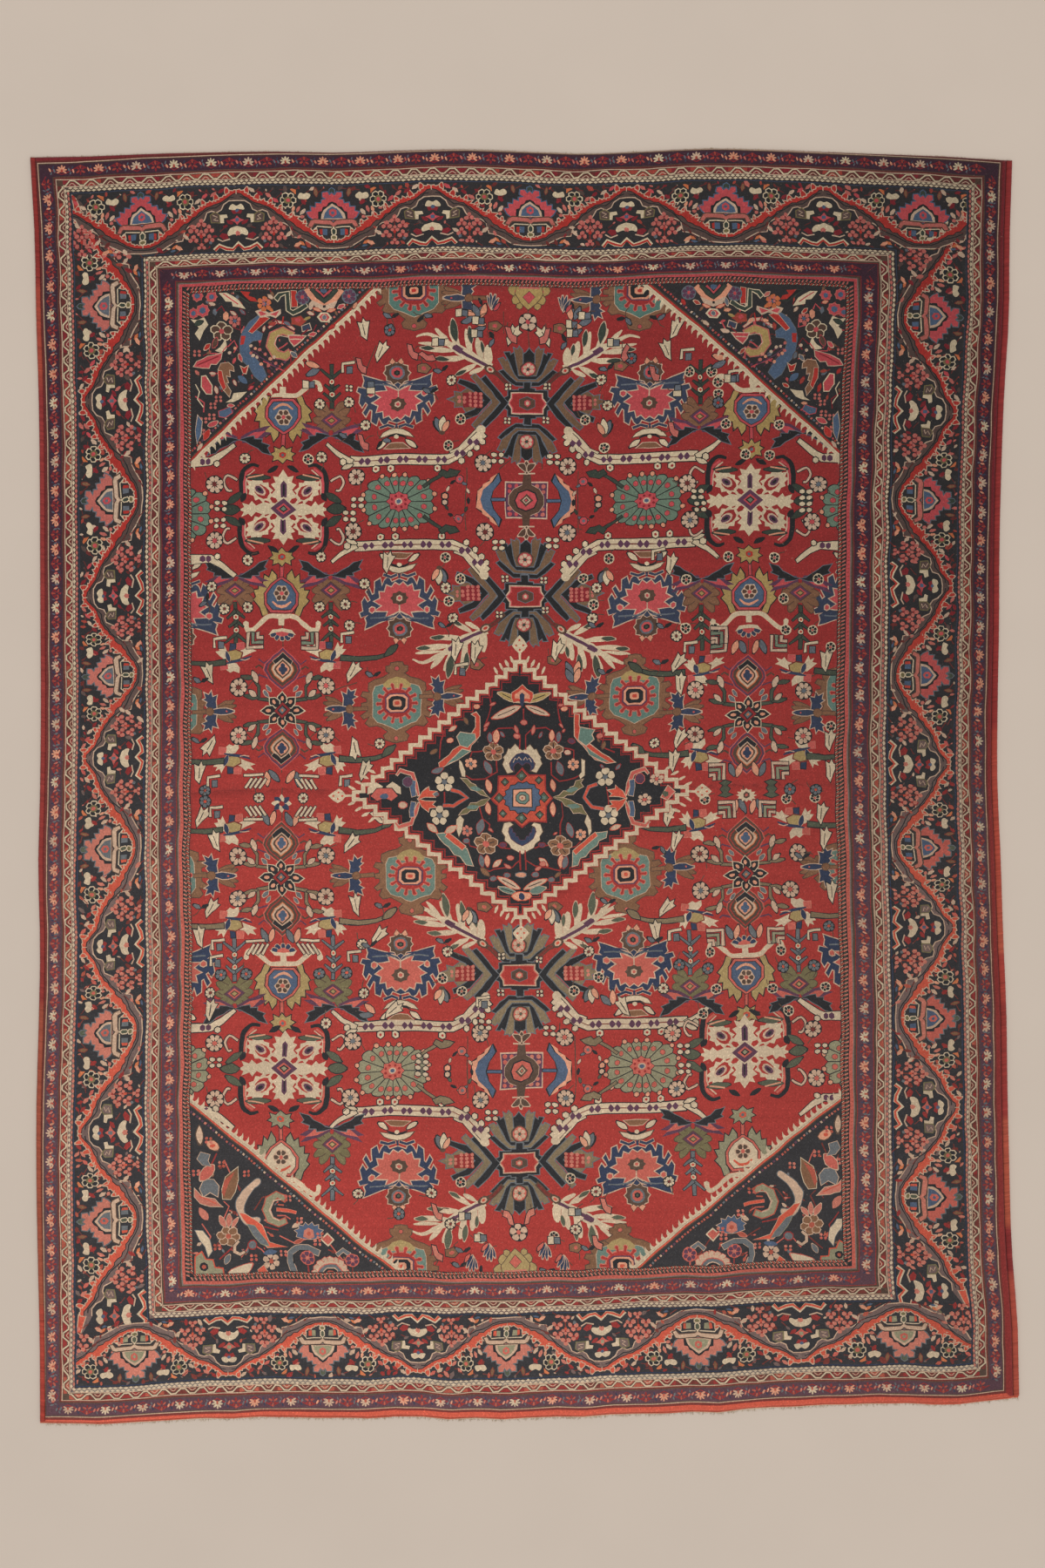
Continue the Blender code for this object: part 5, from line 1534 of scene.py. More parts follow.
def medallionFlowers():
    for path in ((17, 250, 17, 322, 47, 352, 122, 357, 162, 332, 172, 290), (-13, 250, -13, 322, -50, 355,
            -120, 352, -150, 332, -160, 290), (-400, 340, -415, 290, -420, 200), (-258, 205, -250, 232, -200,
            237), (-133, 197, -128, 137, -190, 97, -258, 92, -290, 110), (147, 187, 152, 117, 192, 87, 272,
            107, 300, 120), (212, 257, 262, 247, 262, 200), (202, -18, 207, -83, 190, -123, 192, -190), (-218,
            -40, -200, -100, -165, -130, -170, -160), (-13, -260, -13, -360), (14, -260, 16, -360), (-13,
            -310, -50, -345, -120, -350, -170, -362, -200, -350), (16, -310, 60, -340, 130, -348, 190, -362),
                 (-395, 30, -392, -20, -410, -60), (432, 50, 437, -10, 437, -50), (-168, 517, -158, 467, -173,
            407, -193, 357), (177, 532, 177, 467, 192, 397, 212, 357), (7, 450, 7, 390), (-278, -200, -270,
            -240, -230, -250), (295, -215, 270, -240, 240, -245), (420, 330, 400, 260, 470, 230), (-60, -250,
            -110, -245, -130, -230), (60, -250, 110, -240, 140, -235)):
        pen.line("crimson", path, 7)
    for x, y, size in ((-146, 235, 46), (157, 242, 46), (-186, -228, 54), (192, -238, 54)):
        for _, c, s in around(5, 90):
            pen.disc("brown", x + size * 0.62 * c, y + size * 0.58 * s, size * 0.5, size * 0.42, rim="cream",
                     width=4, sides=7)
        for _, c, s in around(5, 90):
            pen.line("ink", (x, y, x + size * 0.85 * c, y + size * 0.8 * s), 4)
        pen.disc("rose", x, y, size * 0.3, sides=7)
    for x, y, size, dye in ((-258, 170, 30, "apricot"), (259, 175, 30, "apricot"), (-278, -165, 28, "pink"),
                            (295, -180, 28, "apricot"), (-395, 80, 48, "ivory"), (427, 102, 48, "ivory"),
                            (-418, -88, 48, "ivory"), (437, -88, 50, "ivory")):
        bloom(dye, size, 6 if size < 40 else 5, "steel", ground=None, first=90, x=x, y=y)
    for numbers in ((-258, 417, -238, 429, -218, 407, -216, 317, -240, 285, -258, 267, -262, 245, -288, 227,
                     -305, 215, -338, 187, -418, 152, -423, 177, -392, 200, -368, 217, -350, 240, -328, 257,
                     -288, 277, -258, 327, -238, 357, -238, 407), (269, 427, 292, 422, 290, 372, 302, 327,
            342, 277, 370, 250, 402, 227, 440, 205, 472, 179, 432, 177, 372, 197, 340, 230, 312, 267, 285,
            290, 270, 317)):
        pen.poly("brick", numbers, "cream", 4)
    for numbers in ((-333, 312, -318, 332, -280, 326, -243, 322, -238, 297, -278, 257, -313, 267), (-300, 245,
            -262, 235, -330, 190, -390, 162, -340, 205), (300, 357, 367, 342, 352, 320, 360, 297, 322, 267,
            287, 297), (322, 262, 350, 240, 440, 182, 400, 190, 340, 225), (-433, -178, -378, -173, -358,
            -203, -330, -215, -322, -232, -288, -253, -270, -300, -256, -338, -288, -333, -320, -290, -348,
            -278, -375, -240, -398, -223), (432, -173, 377, -178, 332, -208, 257, -268, 254, -338, 280, -330,
            292, -300, 320, -290, 342, -263, 380, -240, 390, -218, 427, -203)):
        pen.poly("sea", numbers, "cream", 4)
    pen.line("brick", (-384, -180, -340, -215, -300, -250), 24, rim="cream", edge=3)
    pen.line("brick", (377, -184, 320, -225, 264, -270), 22, rim="cream", edge=3)
    for numbers in ((162, 7, 192, 17, 215, 40, 235, 38, 250, 60, 268, 64, 276, 90, 312, 97, 300, 80, 312, 60,
                     285, 48, 262, 25, 230, 20, 205, 4), (162, 3, 205, -8, 222, -32, 240, -36, 262, -68, 290,
            -66, 332, -83, 312, -56, 302, -30, 272, -22, 250, -2, 212, 6), (-163, 5, -193, 18, -213, 22, -240,
            40, -262, 44, -312, 97, -280, 92, -262, 74, -240, 66, -228, 48, -200, 40, -186, 22), (-163, 2,
            -208, -6, -232, -20, -262, -22, -276, -46, -300, -56, -318, -83, -278, -76, -262, -60, -232, -56,
            -222, -38, -193, -26)):
        pen.poly("olive", numbers, "cream", 3)
        middle = pairs(numbers).mean(axis=0)
        pen.leaf("sea", *(middle * 0.9), *(middle * 1.16), fat=0.35)
    for numbers in ((302, 202, 319, 192, 322, 117, 300, 100, 290, 118, 306, 132), (330, -76, 347, -113, 352,
            -168, 340, -190, 334, -150, 316, -118), (-318, 187, -303, 177, -288, 132, -290, 102, -308, 106,
            -318, 150), (-313, -86, -294, -108, -304, -158, -323, -193, -333, -150, -330, -108)):
        pen.poly("ivory", numbers, "bark", 3)
    pen.line("brick", (385, 67, 342, 57, 317, 7, 352, -43, 412, -53), 15, rim="steel", edge=3)
    pen.line("brick", (-363, 42, -323, 32, -282, 4, -323, -20, -348, -38, -398, -38), 15, rim="steel", edge=3)
    for dye, other, spots in (("apricot", "crimson", (-178, 97, -163, 32, 157, 92, 165, 37, -178, -18, -165,
            -78, 157, -18, 155, -83, -128, 345, -133, 277, 152, 345, 150, 290, -183, -283, -178, -343, 197,
            -283, 190, -350)), ("steel", "crimson", (-190, 187, -160, 125, 180, 187, 205, 117, -200, -103,
            -220, -178, 230, -118, 250, -188, -165, 330, -160, 280, 190, 335, 185, 285, -215, -283, -205,
            -345, 225, -290, 205, -350, -110, 335, -90, 310, 100, 335, 84, 310, -458, 130, -400, 150, 420,
            150, 400, 165, 480, 140, 500, 165)), ("cream", "brick", (-8, 462, -153, 402, 17, 462, 137, 420,
            -18, -453, -128, -393, 2, -453, 117, -403, -150, -343, -108, -308, 85, -303, 125, -338, -375, 340,
            -340, 362, -480, -130, -430, -170, 500, -140, 450, -160, -330, -140, -390, -170)), ("gold",
            "cream", (-8, 482, -128, 532, 17, 482, 137, 532)), ("sea", "cream", (-38, -473, -128, -443, 32,
            -468, 112, -445)), ("brown", "bark", (-298, 402, -283, 372, 417, 285, 405, 250, -470, 225, -435,
            245, 380, 300, 392, 285, -215, -350, -170, -386, 190, -370, 160, -390)), ("pink", "crimson",
            (-193, 357, -168, 380, -193, 337, -178, 357, 212, 357, 192, 377, 222, 352, 207, 337, -38, 367,
             -22, 330, 62, 367, 48, 325, -165, 467, -140, 480, 180, 470, 205, 480, -170, -150, -150, -165,
             175, -165, 160, -178, 60, -360, 90, -340, -60, -350, -90, -330))):
        for x, y, x1, y1 in np.reshape(spots, (-1, 4)).tolist():
            long = math.hypot(x1 - x, y1 - y)
            pen.leaf(dye, x, y, x1, y1, fat=0.45 if long < 90 else 0.26, rim=other, width=3)
            if long > 90:
                pen.line("ink", (x * 0.8 + x1 * 0.2, y * 0.8 + y1 * 0.2, x * 0.2 + x1 * 0.8,
                                 y * 0.2 + y1 * 0.8), 4)
    for x, y, dye in ((-368, 292, "apricot"), (252, 292, "purple"), (392, 312, "pink"), (-233, 457,
            "apricot"), (212, 457, "apricot"), (7, 382, "pink"), (-100, -230, "purple"), (100, -235,
            "purple"), (-28, 315, "pink"), (-60, -297, "pink"), (100, -330, "pink"), (-285, -215, "steel"),
                      (60, -380, "steel"), (-80, -385, "steel"), (-150, -400, "steel"), (140, -405, "steel"),
                      (230, 235, "cream"), (-440, 20, "steel")):
        pen.disc(dye, x, y, 17, 12, rim="crimson", width=3, sides=7)
    pen.sym("brick", (0, 570, 25, 550, 52, 530, 54, 505, 42, 480, 20, 487, 0, 478), "cream", 3)
    pen.sym("apricot", (0, 548, 20, 534, 38, 520, 38, 500, 18, 500, 0, 492))
    pen.sym("deep", (0, 530, 12, 520, 10, 480, 0, 455))
    pen.disc("apricot", -10, -488, 42, 24, rim="brick", width=4, sides=12, lobes=2, depth=0.2)
    pen.disc("deep", -10, -490, 16, 18)
    pen.disc("apricot", -10, -383, 26, 12, rim="steel", width=4)


# The slanted edge's ends, the corner, and the mirroring of each corner piece.
spandrels = (((-90.6, 88.4), (-40, 135.6), (-95, 139), 1, 1), ((88.4, 89), (34.6, 135.2), (93, 139), -1, 1),
             ((-90.4, -86.4), (-35, -133), (-95, -138), 1, -1), ((87.2, -88), (30.4, -132.4), (93, -138), -1,
        -1))


def spandrel(first, last, corner, wide, tall):
    (x0, y0), (x1, y1), (cx, cy) = first, last, corner
    run = np.array((x1 - x0, y1 - y0))
    length = float(np.linalg.norm(run))
    along = run / length
    start, stop = np.array((x0, y0)) - along * 6, np.array((x1, y1)) + along * 6
    pen.add("navy", np.array([start, stop, (cx, cy)]), zone="corners")
    turn = math.degrees(math.atan2(along[1], along[0]))
    flip = 1 if wide * tall < 0 else -1
    with pen.at(x0, y0, turn=turn, tall=flip):
        # Here x runs along the slanted edge and y points into the red.
        pen.line("ivory", (-6, 0, length + 6, 0), 1)
        pen.line("brick", (-6, -0.8, length + 6, -0.8), 0.5)
        pen.line("bark", (-6, -1.25, length + 6, -1.25), 0.3)
        pitch = 1.95
        for k in range(int((length + 10) / pitch)):
            x = -5 + pitch * k
            pen.poly("ivory", (x, 0.3, x + 1.25, 0.3, x + 1, 1.2, x + 0.1, 2.2, x + 0.3, 1.2))
            for bead, dye in ((0, pick("pink", "rose", "cream")), (1, pick("steel", "purple", "rust"))):
                pen.disc(dye, x + 0.2 + bead, -2.4, 0.4, sides=4)
    # What stands in the corner, drawn for the top left one.
    # Its origin is the field's own corner; x runs inward, and y is negative towards the field.
    with pen.at(cx + wide * 4.0, cy - tall * 3.0, wide=wide, tall=tall), pen.at(1.0, -0.9):
        sprinkled(90)
        if tall < 0:
            nearCornerFlowers()
        else:
            cornerFlowers()


def sprinkled(count):
    # Berries and twigs between the flowers of a corner.
    for _ in range(count):
        x, y = small.uniform(0, 46), -small.uniform(0, 42)
        if -y > 40 - 0.86 * x:
            continue
        dx, dy = small.uniform(-1.5, 1.5, 2)
        pen.line(pick("crimson", "maroon", "rose"), (x, y, x + dx * 1.6, y + dy * 1.6), 0.32)
        pen.leaf(pick("rose", "rust", "pink", "cream", "maroon", "steel", "brown"), x, y, x + dx, y + dy,
                 fat=0.6)


def scallops(dye, count, reach, petal, rim):
    # Half a ring of petals over the edge.
    for _, c, s in around(count, 90 / count, 180):
        pen.disc(dye, reach * c, -reach * s, petal, rim=rim, width=0.16, sides=7)


def nearCornerFlowers():
    for path in ((2, -14, 4.6, -10.5, 3.4, -7), (7.6, -14.2, 9.6, -18.6, 8.2, -20), (16.4, -17.4, 18.6, -20.6,
            23, -22), (12.6, -4.6, 15.4, -8.4, 18.2, -6.4, 20.4, -4.6), (23.4, -10.4, 27.4, -8.4, 31, -9.6),
                 (6.8, -4, 10.6, -7.6), (8.4, -31.4, 10, -27.8), (4.4, -29, 6.4, -33.2), (36.4, -9, 40.2, -4,
            42.8, -3.9), (30.7, -4.4, 31, -0.4), (43, -4, 43, -0.4), (17.6, -13, 23, -12), (11.6, -12.8, 10.2,
            -15.8)):
        pen.line(pick("crimson", "rose", "maroon"), path, 0.36)
    pen.poly("cream", (18, -25.9, 18.4, -24.6, 15.9, -22.4, 14.2, -19.8, 13.8, -16.9, 15.2, -15.4, 17.8,
                       -15.2, 17.6, -13.8, 15.6, -13, 13.9, -13.6, 12.2, -16.2, 11.6, -19.6, 13.4, -22.6,
                       16.2, -25), "steel", 0.2, soft=True)
    pen.poly("brick", (12.4, -16.6, 14, -16.4, 18.4, -13.2, 20.6, -8.4, 25.6, -7.2, 20, -7, 17.6, -9.6, 14.6,
                       -13.4), "cream", 0.16)
    pen.poly("steel", (14.6, -13.4, 16.4, -13, 19.6, -9, 20.4, -7.4, 18.2, -8, 16, -10.6), "teal", 0.14)
    with pen.at(22.3, -17.2):
        pen.line("teal", (2.6, -3.2, 0.4, -4.2, -1.8, -2.8, -2.8, -0.2, -1.8, 2.4, 0.8, 3.4, 2.6, 2.6), 1.7,
                 rim="rust", edge=0.32, taper=0.2)
        pen.line("cream", (1.6, -3, -0.6, -2.8, -1.9, -0.2, -1, 1.9, 0.8, 2.6), 0.5, taper=0.4)
        pen.line("brick", (0.2, -0.4, 2.6, -0.2, 5.4, 0.4), 0.7, rim="pink", edge=0.14)
        pen.line("rust", (0.4, -1.6, 2.2, -1.6), 0.4)
        pen.line("rose", (0.2, 1.2, 2.4, 1.2, 4, 2.2), 0.35)
        pen.leaf("cream", 4.4, 4.6, 6.8, 3.2)
    with pen.at(31.4, -11.4):
        pen.sym("blue", (0, 1.9, 1.6, 1.8, 3.4, 1.2, 3.1, 0.2, 3.9, -0.4, 2.6, -1, 2.7, -2, 1.5, -1.6, 0.9,
                         -2.6, 0, -1.9), "cream", 0.16)
        pen.sym("pink", (0, 1.9, 1.5, 1.4, 1.3, -0.4, 0, -1.2))
        pen.disc("rust", 0, 0.4, 0.6)
        pen.leaf("rust", -1.6, 2, -4, 3, fat=0.4, rim="pink", width=0.15)
    pen.poly("brown", (12.1, -29.2, 12.2, -26, 11.4, -22.6, 10, -20.6, 8, -20.6, 7.8, -23.4, 8.8, -26.8),
             "ivory", 0.18)
    pen.poly("rust", (11.4, -28.2, 9.6, -24.8, 8.4, -21.2, 7.7, -22.4, 8.4, -26))
    pen.poly("steel", (2.6, -21.4, 1.8, -23.6, 3, -26.2, 5.6, -26, 7, -24.2, 6.6, -21.4, 4.6, -22.6), "cream",
             0.2)
    pen.leaf("rose", 5.6, -30.2, 2, -25.8, rim="cream")
    pen.poly("pink", (0.3, -23.6, 2.2, -21.4, 5.6, -20.6, 7.7, -18.6, 4.4, -18.8, 1.6, -19.6, 0.2, -21.6),
             "cream", 0.2)
    pen.line("brick", (1.4, -21.6, 6, -19.4), 0.3)
    for _, c, s in around(6, 10):
        pen.disc("brown", 9.4 + 1.9 * c, -10.5 + 1.7 * s, 1.15, 1, rim="cream", width=0.24, sides=7)
    pen.disc("rust", 9.4, -10.5, 0.8)
    for x0, y0, x1, y1 in ((8.6, -13, 6.8, -16.2), (9.4, -13.2, 9.6, -16.6), (10.2, -13, 12, -15.4)):
        pen.leaf("pink", x0, y0, x1, y1, fat=0.4, rim="cream", width=0.14)
    pen.poly("ivory", (0.2, -12.2, 2.4, -12, 4.4, -9.6, 5, -6.4, 3.8, -4.8, 3.2, -7.4, 1.6, -9.6), "steel",
             0.16)
    pen.leaf("pink", 1.2, -18.4, 3.6, -15)
    pen.line("cream", (12.2, -9, 11, -7.8, 11, -6.2, 12.4, -5.4, 13.6, -6.2), 0.9, rim="ink", edge=0.15,
             taper=0.3)
    pen.disc("steel", 15.8, -7.8, 1.1, rim="crimson", width=0.3)
    pen.poly("teal", (0.2, -0.2, 0.4, -5, 2, -6, 3, -4, 4.8, -3.8, 5.2, -1.8, 7.2, -1.6, 7.4, -0.2), "brick",
             0.35)
    pen.disc("ink", 2.4, -2.2, 1.2, sides=7)
    pen.disc("rust", 2.4, -2.2, 0.6, sides=5)
    pen.leaf("steel", 8.2, -3, 9.6, -5.4, rim="cream", width=0.14)
    pen.leaf("ivory", 9, -0.6, 15.6, -2.8, fat=0.42, bow=0.12, rim="rose", width=0.18)
    bloom("cream", 2.3, 6, "rust", ground=None, x=20.8, y=-3.3)
    pen.poly("brick", (17, -1, 18.6, -2.2, 19.6, -0.6, 17.6, 0), "cream", 0.14)
    pen.leaf("blue", 18.8, -5.4, 22.6, -6, fat=0.4)
    pen.line("steel", (27.2, 0.2, 26, -3.2, 26.2, -5.6, 28, -7.1, 30.8, -7.2, 33.8, -5.8), 1.5, rim="cream",
             edge=0.16)
    pen.line("ink", (27, -2.6, 27, -5, 28.6, -6.3, 31, -6.4), 0.4)
    pen.line("steel", (38.8, -5.4, 40.4, -6.8, 42.2, -5.6), 1, rim="cream", edge=0.16)
    for x, y in ((30.7, -4.5), (43, -3.9)):
        bloom("purple", 1.7, 6, "pink", ground="rose", x=x, y=y)
    with pen.at(36.8, 0.3):
        scallops("cream", 9, 4.3, 1.0, "rose")
        for dye, reach in (("cream", 4.3), ("rose", 3.7), ("steel", 3.4), ("cream", 2.5), ("ink", 2.2)):
            pen.disc(dye, 0, 0, reach, reach * 0.95, sides=14)
        pen.disc("rust", 0, -0.5, 1.3, 1)
    pen.poly("rose", (35, -9.4, 36.4, -10.8, 37.8, -9.4, 36.4, -8), "ivory", 0.35)
    pen.disc("apricot", 5.4, -35.4, 1.9, 1.2, sides=9, rim="bark", width=0.25, turn=30)
    pen.disc("brick", 5.2, -35.4, 0.8, 0.5)
    pen.leaf("cream", 1.6, -40.6, 1.8, -35.8, fat=0.35, rim="bark", width=0.3)
    pen.poly("steel", (2, -33.6, 4.4, -33, 4, -31.2, 4.8, -29.8, 2.6, -30.2, 1.2, -31.8), "cream", 0.16)
    for x, y in ((7.7, -30.3), (4.2, -36.8), (25.6, -20.6), (0.8, -28), (16, -4.4), (24.4, -5.4), (34.4,
            -10.4), (6.4, -7.4), (28.8, -14.6), (14.6, -27.4), (33.6, -8.6)):
        for dx, dy in fourSpots(0.6, 0.5):
            pen.disc(pick("pink", "rust", "rose"), x + dx, y + dy, 0.46, sides=5)


def cornerFlowers():
    pen.poly("blue", (19.6, -7.2, 17.6, -6.8, 15.2, -8.4, 13.4, -11, 12.6, -13.6, 12.8, -17, 13.8, -19.6,
                      15.3, -21.2, 16.5, -23.6, 18.4, -25, 19.9, -23.4, 18.6, -20.8, 16.9, -18.8, 15.5, -16.8,
                      15.1, -14.8, 16.2, -13.8, 18.4, -13.6, 18.7, -12, 17, -10.8, 15.8, -10.4, 16.4, -9.4),
             "steel", 0.2)
    pen.poly("brick", (20.6, -7.5, 18.5, -6.9, 15, -11, 16, -11.6), "cream", 0.14)
    pen.poly("brick", (12.9, -12.2, 14.2, -12.3, 13.9, -14.8, 12.7, -14.9))
    pen.poly("cream", (16.8, -5.6, 18.6, -5, 20.6, -6, 23.9, -5, 24, -6.2, 22.6, -7.6, 21, -6.9, 18.4, -7.4,
                       17.4, -6.6))
    pen.poly("rose", (17.6, -5.8, 18.6, -5.6, 20, -6.4, 18.4, -6.9))
    pen.poly("rose", (20.8, -6.4, 23.4, -5.5, 22.6, -7))
    with pen.at(24.2, -14.6):
        pen.line("gold", (3, 2.2, 0.4, 3.4, -2.4, 2.2, -3, -0.8, -1.8, -3.2, 0.8, -3.6, 2.2, -2.6), 2.1,
                 rim="pink", edge=0.35, taper=0.35)
        pen.line("cream", (1.9, 1.6, -1, 2, -2, -0.4, -0.8, -2.2), 0.22)
        pen.line("rose", (-0.9, -1.8, 1.6, -0.2), 0.35, rim="bark", edge=0.1)
        pen.line("cream", (-3.6, 4.4, -1.4, 6, 1.2, 5.6, 3.4, 3.8), 0.8, rim="rose", edge=0.15, taper=0.4)
        pen.line("brick", (0.1, 5.4, 0.4, 7.6), 0.4)
    pen.poly("rose", (26.2, -12.6, 30.6, -12.5, 29.4, -14, 27.6, -15.4, 26.6, -14), "cream", 0.28)
    pen.line("cream", (26.6, -13.6, 29.6, -13.5), 0.3)
    pen.disc("navy", 7.7, -11.1, 3.3, 2.9, sides=10)
    for _, c, s in around(5, 90):
        pen.disc("bark", 7.7 + 1.7 * c, -11.1 + 1.5 * s, 1.2, 1.05, rim="ivory", width=0.26)
    pen.disc("rose", 7.7, -11.1, 0.8, sides=5)
    pen.leaf("ivory", 5.8, -16.4, 8.6, -13.2, fat=0.45, bow=-0.3)
    pen.leaf("bark", 5.2, -15.6, 6.4, -12.8, fat=0.45, rim="rose", width=0.15)
    pen.poly("ivory", (-0.6, -7.6, 1.2, -8, 3.2, -7.2, 4.2, -9.4, 2.8, -11, 1.6, -13.6, 0.4, -11.6, 1.6,
                       -10.2))
    pen.leaf("green", 0.4, -9.4, 2.8, -8.2, rim="ink", width=0.15)
    for x, y, r in ((2.8, -5.3, 1.6), (0.2, -6, 1.2), (5.2, -1.6, 1.3), (1.2, -1.2, 1.3)):
        pen.disc("rose", x, y, r, sides=16, lobes=8, depth=0.1, rim="pink", width=0.2)
        pen.disc("blue", x, y, r * 0.6, sides=7)
    pen.poly("ivory", (7.2, -0.6, 9.4, -0.6, 12.6, -2.8, 14.2, -5, 12.4, -4.6, 10.8, -4.4, 10.6, -3.2, 9, -3))
    pen.line("rose", (8.4, -1, 12.4, -3.8), 0.3)
    pen.poly("ink", (11.4, -0.6, 13, -0.6, 17, -3.4, 15.4, -3.4), "green", 0.2)
    pen.poly("brick", (13, -0.4, 15.8, -0.6, 15.2, -1.6, 17, -2.2, 17.6, -3.2, 15.6, -3))
    bloom("orange", 2.0, 6, "blue", ground=None, x=19.4, y=-3.7)
    pen.leaf("orange", 20.6, -4.6, 21.8, -5.6, fat=0.6)
    pen.line("green", (22.6, -2.4, 23.6, -1.2, 25.8, -0.7, 25.9, -5.2, 27.2, -6, 29, -5.2, 31, -4), 1,
             rim="ivory", edge=0.24)
    pen.poly("brick", (26.9, -0.2, 28.3, -0.2, 28.4, -4.4, 26.9, -4.4), "cream", 0.14)
    for x, y in ((30, -1.9), (42.6, -1.4)):
        bloom("purple", 1.75, 7, "rose", ground="steel", x=x, y=y)
    with pen.at(35.8, 0):
        pen.line("apricot", (-4.6, 0.4, -2.6, -2.4, 0, -4.2, 2.6, -2.4, 4.8, 0.4), 1.5)
        pen.line("green", (-3.2, 0.4, -1.6, -1.6, 0, -2.8, 1.6, -1.6, 3.4, 0.4), 1, rim="ink", edge=0.15)
        pen.line("rose", (-1.9, 0.4, 0, -1.5, 2, 0.4), 0.6)
        pen.disc("blue", 0, 0, 1, 0.7)
        pen.poly("cream", (-3.4, -2.6, 0, -4, 3.6, -2.6, 2.6, -4.6, 0, -5.4, -2.4, -4.6))
        pen.disc("ink", 0, -4.2, 0.5, sides=4)
        for way in (-1, 1):
            pen.leaf("apricot", way * 0.8, -5.6, way * 3, -4.8, fat=0.35, rim="brick", width=0.12)
            pen.leaf("brown", way * 2.8, -5.2, way * 3.6, -6.6, fat=0.4)
        pen.poly("ivory", (-2.1, -7.2, -1, -5.9, 1, -5.9, 2.1, -7.2, 1, -8.5, -1, -8.5))
        pen.poly("rose", (-1.5, -7.2, -0.7, -6.3, 0.7, -6.3, 1.5, -7.2, 0.7, -8.1, -0.7, -8.1))
        pen.disc("steel", 0, -7.2, 0.62, rim="cream", width=0.15)
    pen.disc("rust", 28.6, -8.3, 1.9, 1.3, sides=15, lobes=5, depth=0.18, rim="bark", width=0.2)
    pen.disc("rose", 28.4, -8, 0.8, 0.6)
    pen.leaf("gold", 30, -8, 32, -7.2, fat=0.4)
    pen.poly("deep", (29.6, -9.8, 31.6, -9, 32, -10.6, 29.8, -11.2), "cream", 0.2)
    pen.disc("apricot", 8.9, -6.9, 0.8, 1.3)
    bloom("pink", 1.6, 6, "blue", ground=None, x=11.2, y=-8.1)
    pen.leaf("steel", 6.2, -6.8, 6, -4.8, fat=0.6)
    for path in ((9.4, -15.2, 11.2, -13.6, 12, -15.4, 11, -17), (10.6, -9.8, 12.6, -10.6, 12.6, -8), (3.6,
            -14.4, 4.4, -17, 7.4, -17.2, 9.2, -15), (8.4, -19.2, 9, -21), (31.4, -10.4, 29.4, -12.4), (19,
            -19.6, 24.8, -22), (26.8, -16.4, 26.6, -20), (22.4, -7.6, 23.4, -9.4), (0.2, -28.6, 2.6, -30.4,
            2.4, -33), (6.4, -5.6, 8, -4.2, 8.6, -5.6), (32.6, -11.2, 33.6, -9.2)):
        pen.line(pick("crimson", "rose"), path, 0.34)
    pen.line("purple", (16, -16.6, 18.4, -18.6, 21, -20.2, 23, -21.4), 0.35)
    for x, y in ((15.8, -17.3), (17, -16.2), (18.2, -16.4), (16.4, -18.1), (17.4, -18.6), (19.6, -17.7),
                 (18.5, -20.4), (21, -19), (20.5, -20.7), (22.4, -20), (15.8, -15.2), (22, -18.4), (9.8, -17),
                 (11.4, -15.8)):
        pen.disc(pick("pink", "cream", "apricot"), x, y, 0.5)
        pen.line("purple", (x + 0.3, y - 0.3, x + 0.9, y - 1), 0.2)
    pen.poly("rose", (0, -20.6, 0.8, -19.2, 2.4, -18.6, 3.6, -17.9, 5.6, -17.6, 7.6, -17, 7.4, -18.6, 6, -20,
                      4.6, -19.8, 4, -21, 2.2, -21), "cream", 0.2)
    pen.line("crimson", (0.8, -20.2, 6.6, -17.8), 0.3)
    pen.poly("brown", (7.4, -19.8, 9.4, -19.6, 10.8, -20.8, 10.9, -22, 9.6, -21.6, 9.8, -23.4, 8.8, -23.2,
                       9.4, -25, 8.8, -25.2, 10, -27.4, 9.6, -29, 8, -27, 7, -24, 6.6, -21.6), "cream", 0.16)
    pen.poly("brick", (6.6, -21.8, 7.6, -21.8, 7.9, -24, 8.8, -26.4, 8, -27.2, 6.8, -24.4), "cream", 0.12)
    pen.poly("rose", (2.2, -23.4, 3.2, -23.2, 4.8, -25.8, 4.6, -28, 3.4, -28, 2, -26), "ivory", 0.26)
    pen.line("ivory", (0.4, -25.4, 1.4, -27.4, 0.8, -29.4, 2.4, -31.6), 0.3)
    pen.leaf("blue", 12, -23.4, 14.6, -25.4, rim="ink", width=0.15)
    pen.poly("brick", (12.8, -21, 13.8, -21.4, 14.8, -21, 14.2, -22.8, 13.4, -22.6), "cream", 0.22)
    pen.poly("ivory", (8.6, -30.6, 10.8, -30.4, 12.6, -29.6, 14.4, -27.6, 12.4, -27.8, 10.8, -28, 10.2,
                       -29.6))
    for x, y in ((6.6, -29.6), (5, -31.4), (2.4, -35.4), (4.6, -34.4), (1.8, -38.6), (19.8, -3.2), (0.8,
            -17)):
        for dx, dy in fourSpots(0.6, 0.5):
            pen.disc("pink", x + dx, y + dy, 0.46, sides=5)
    pen.poly("blue", (6.6, -33, 9.8, -32, 10.4, -33.4, 8.4, -34.6, 6.8, -34.4), "rose", 0.2)
    pen.poly("blue", (0.8, -34, 2, -35.6, 1.6, -39.4, 0.6, -41.6, 0.2, -38), "cream", 0.18)
    pen.leaf("rose", 3.6, -37, 6.4, -35.8, fat=0.45, rim="cream", width=0.16)
    pen.leaf("brick", 2.6, -40.8, 4, -38, rim="pink", width=0.15)
    pen.leaf("cream", 0.6, -43.6, 2.2, -41.8)
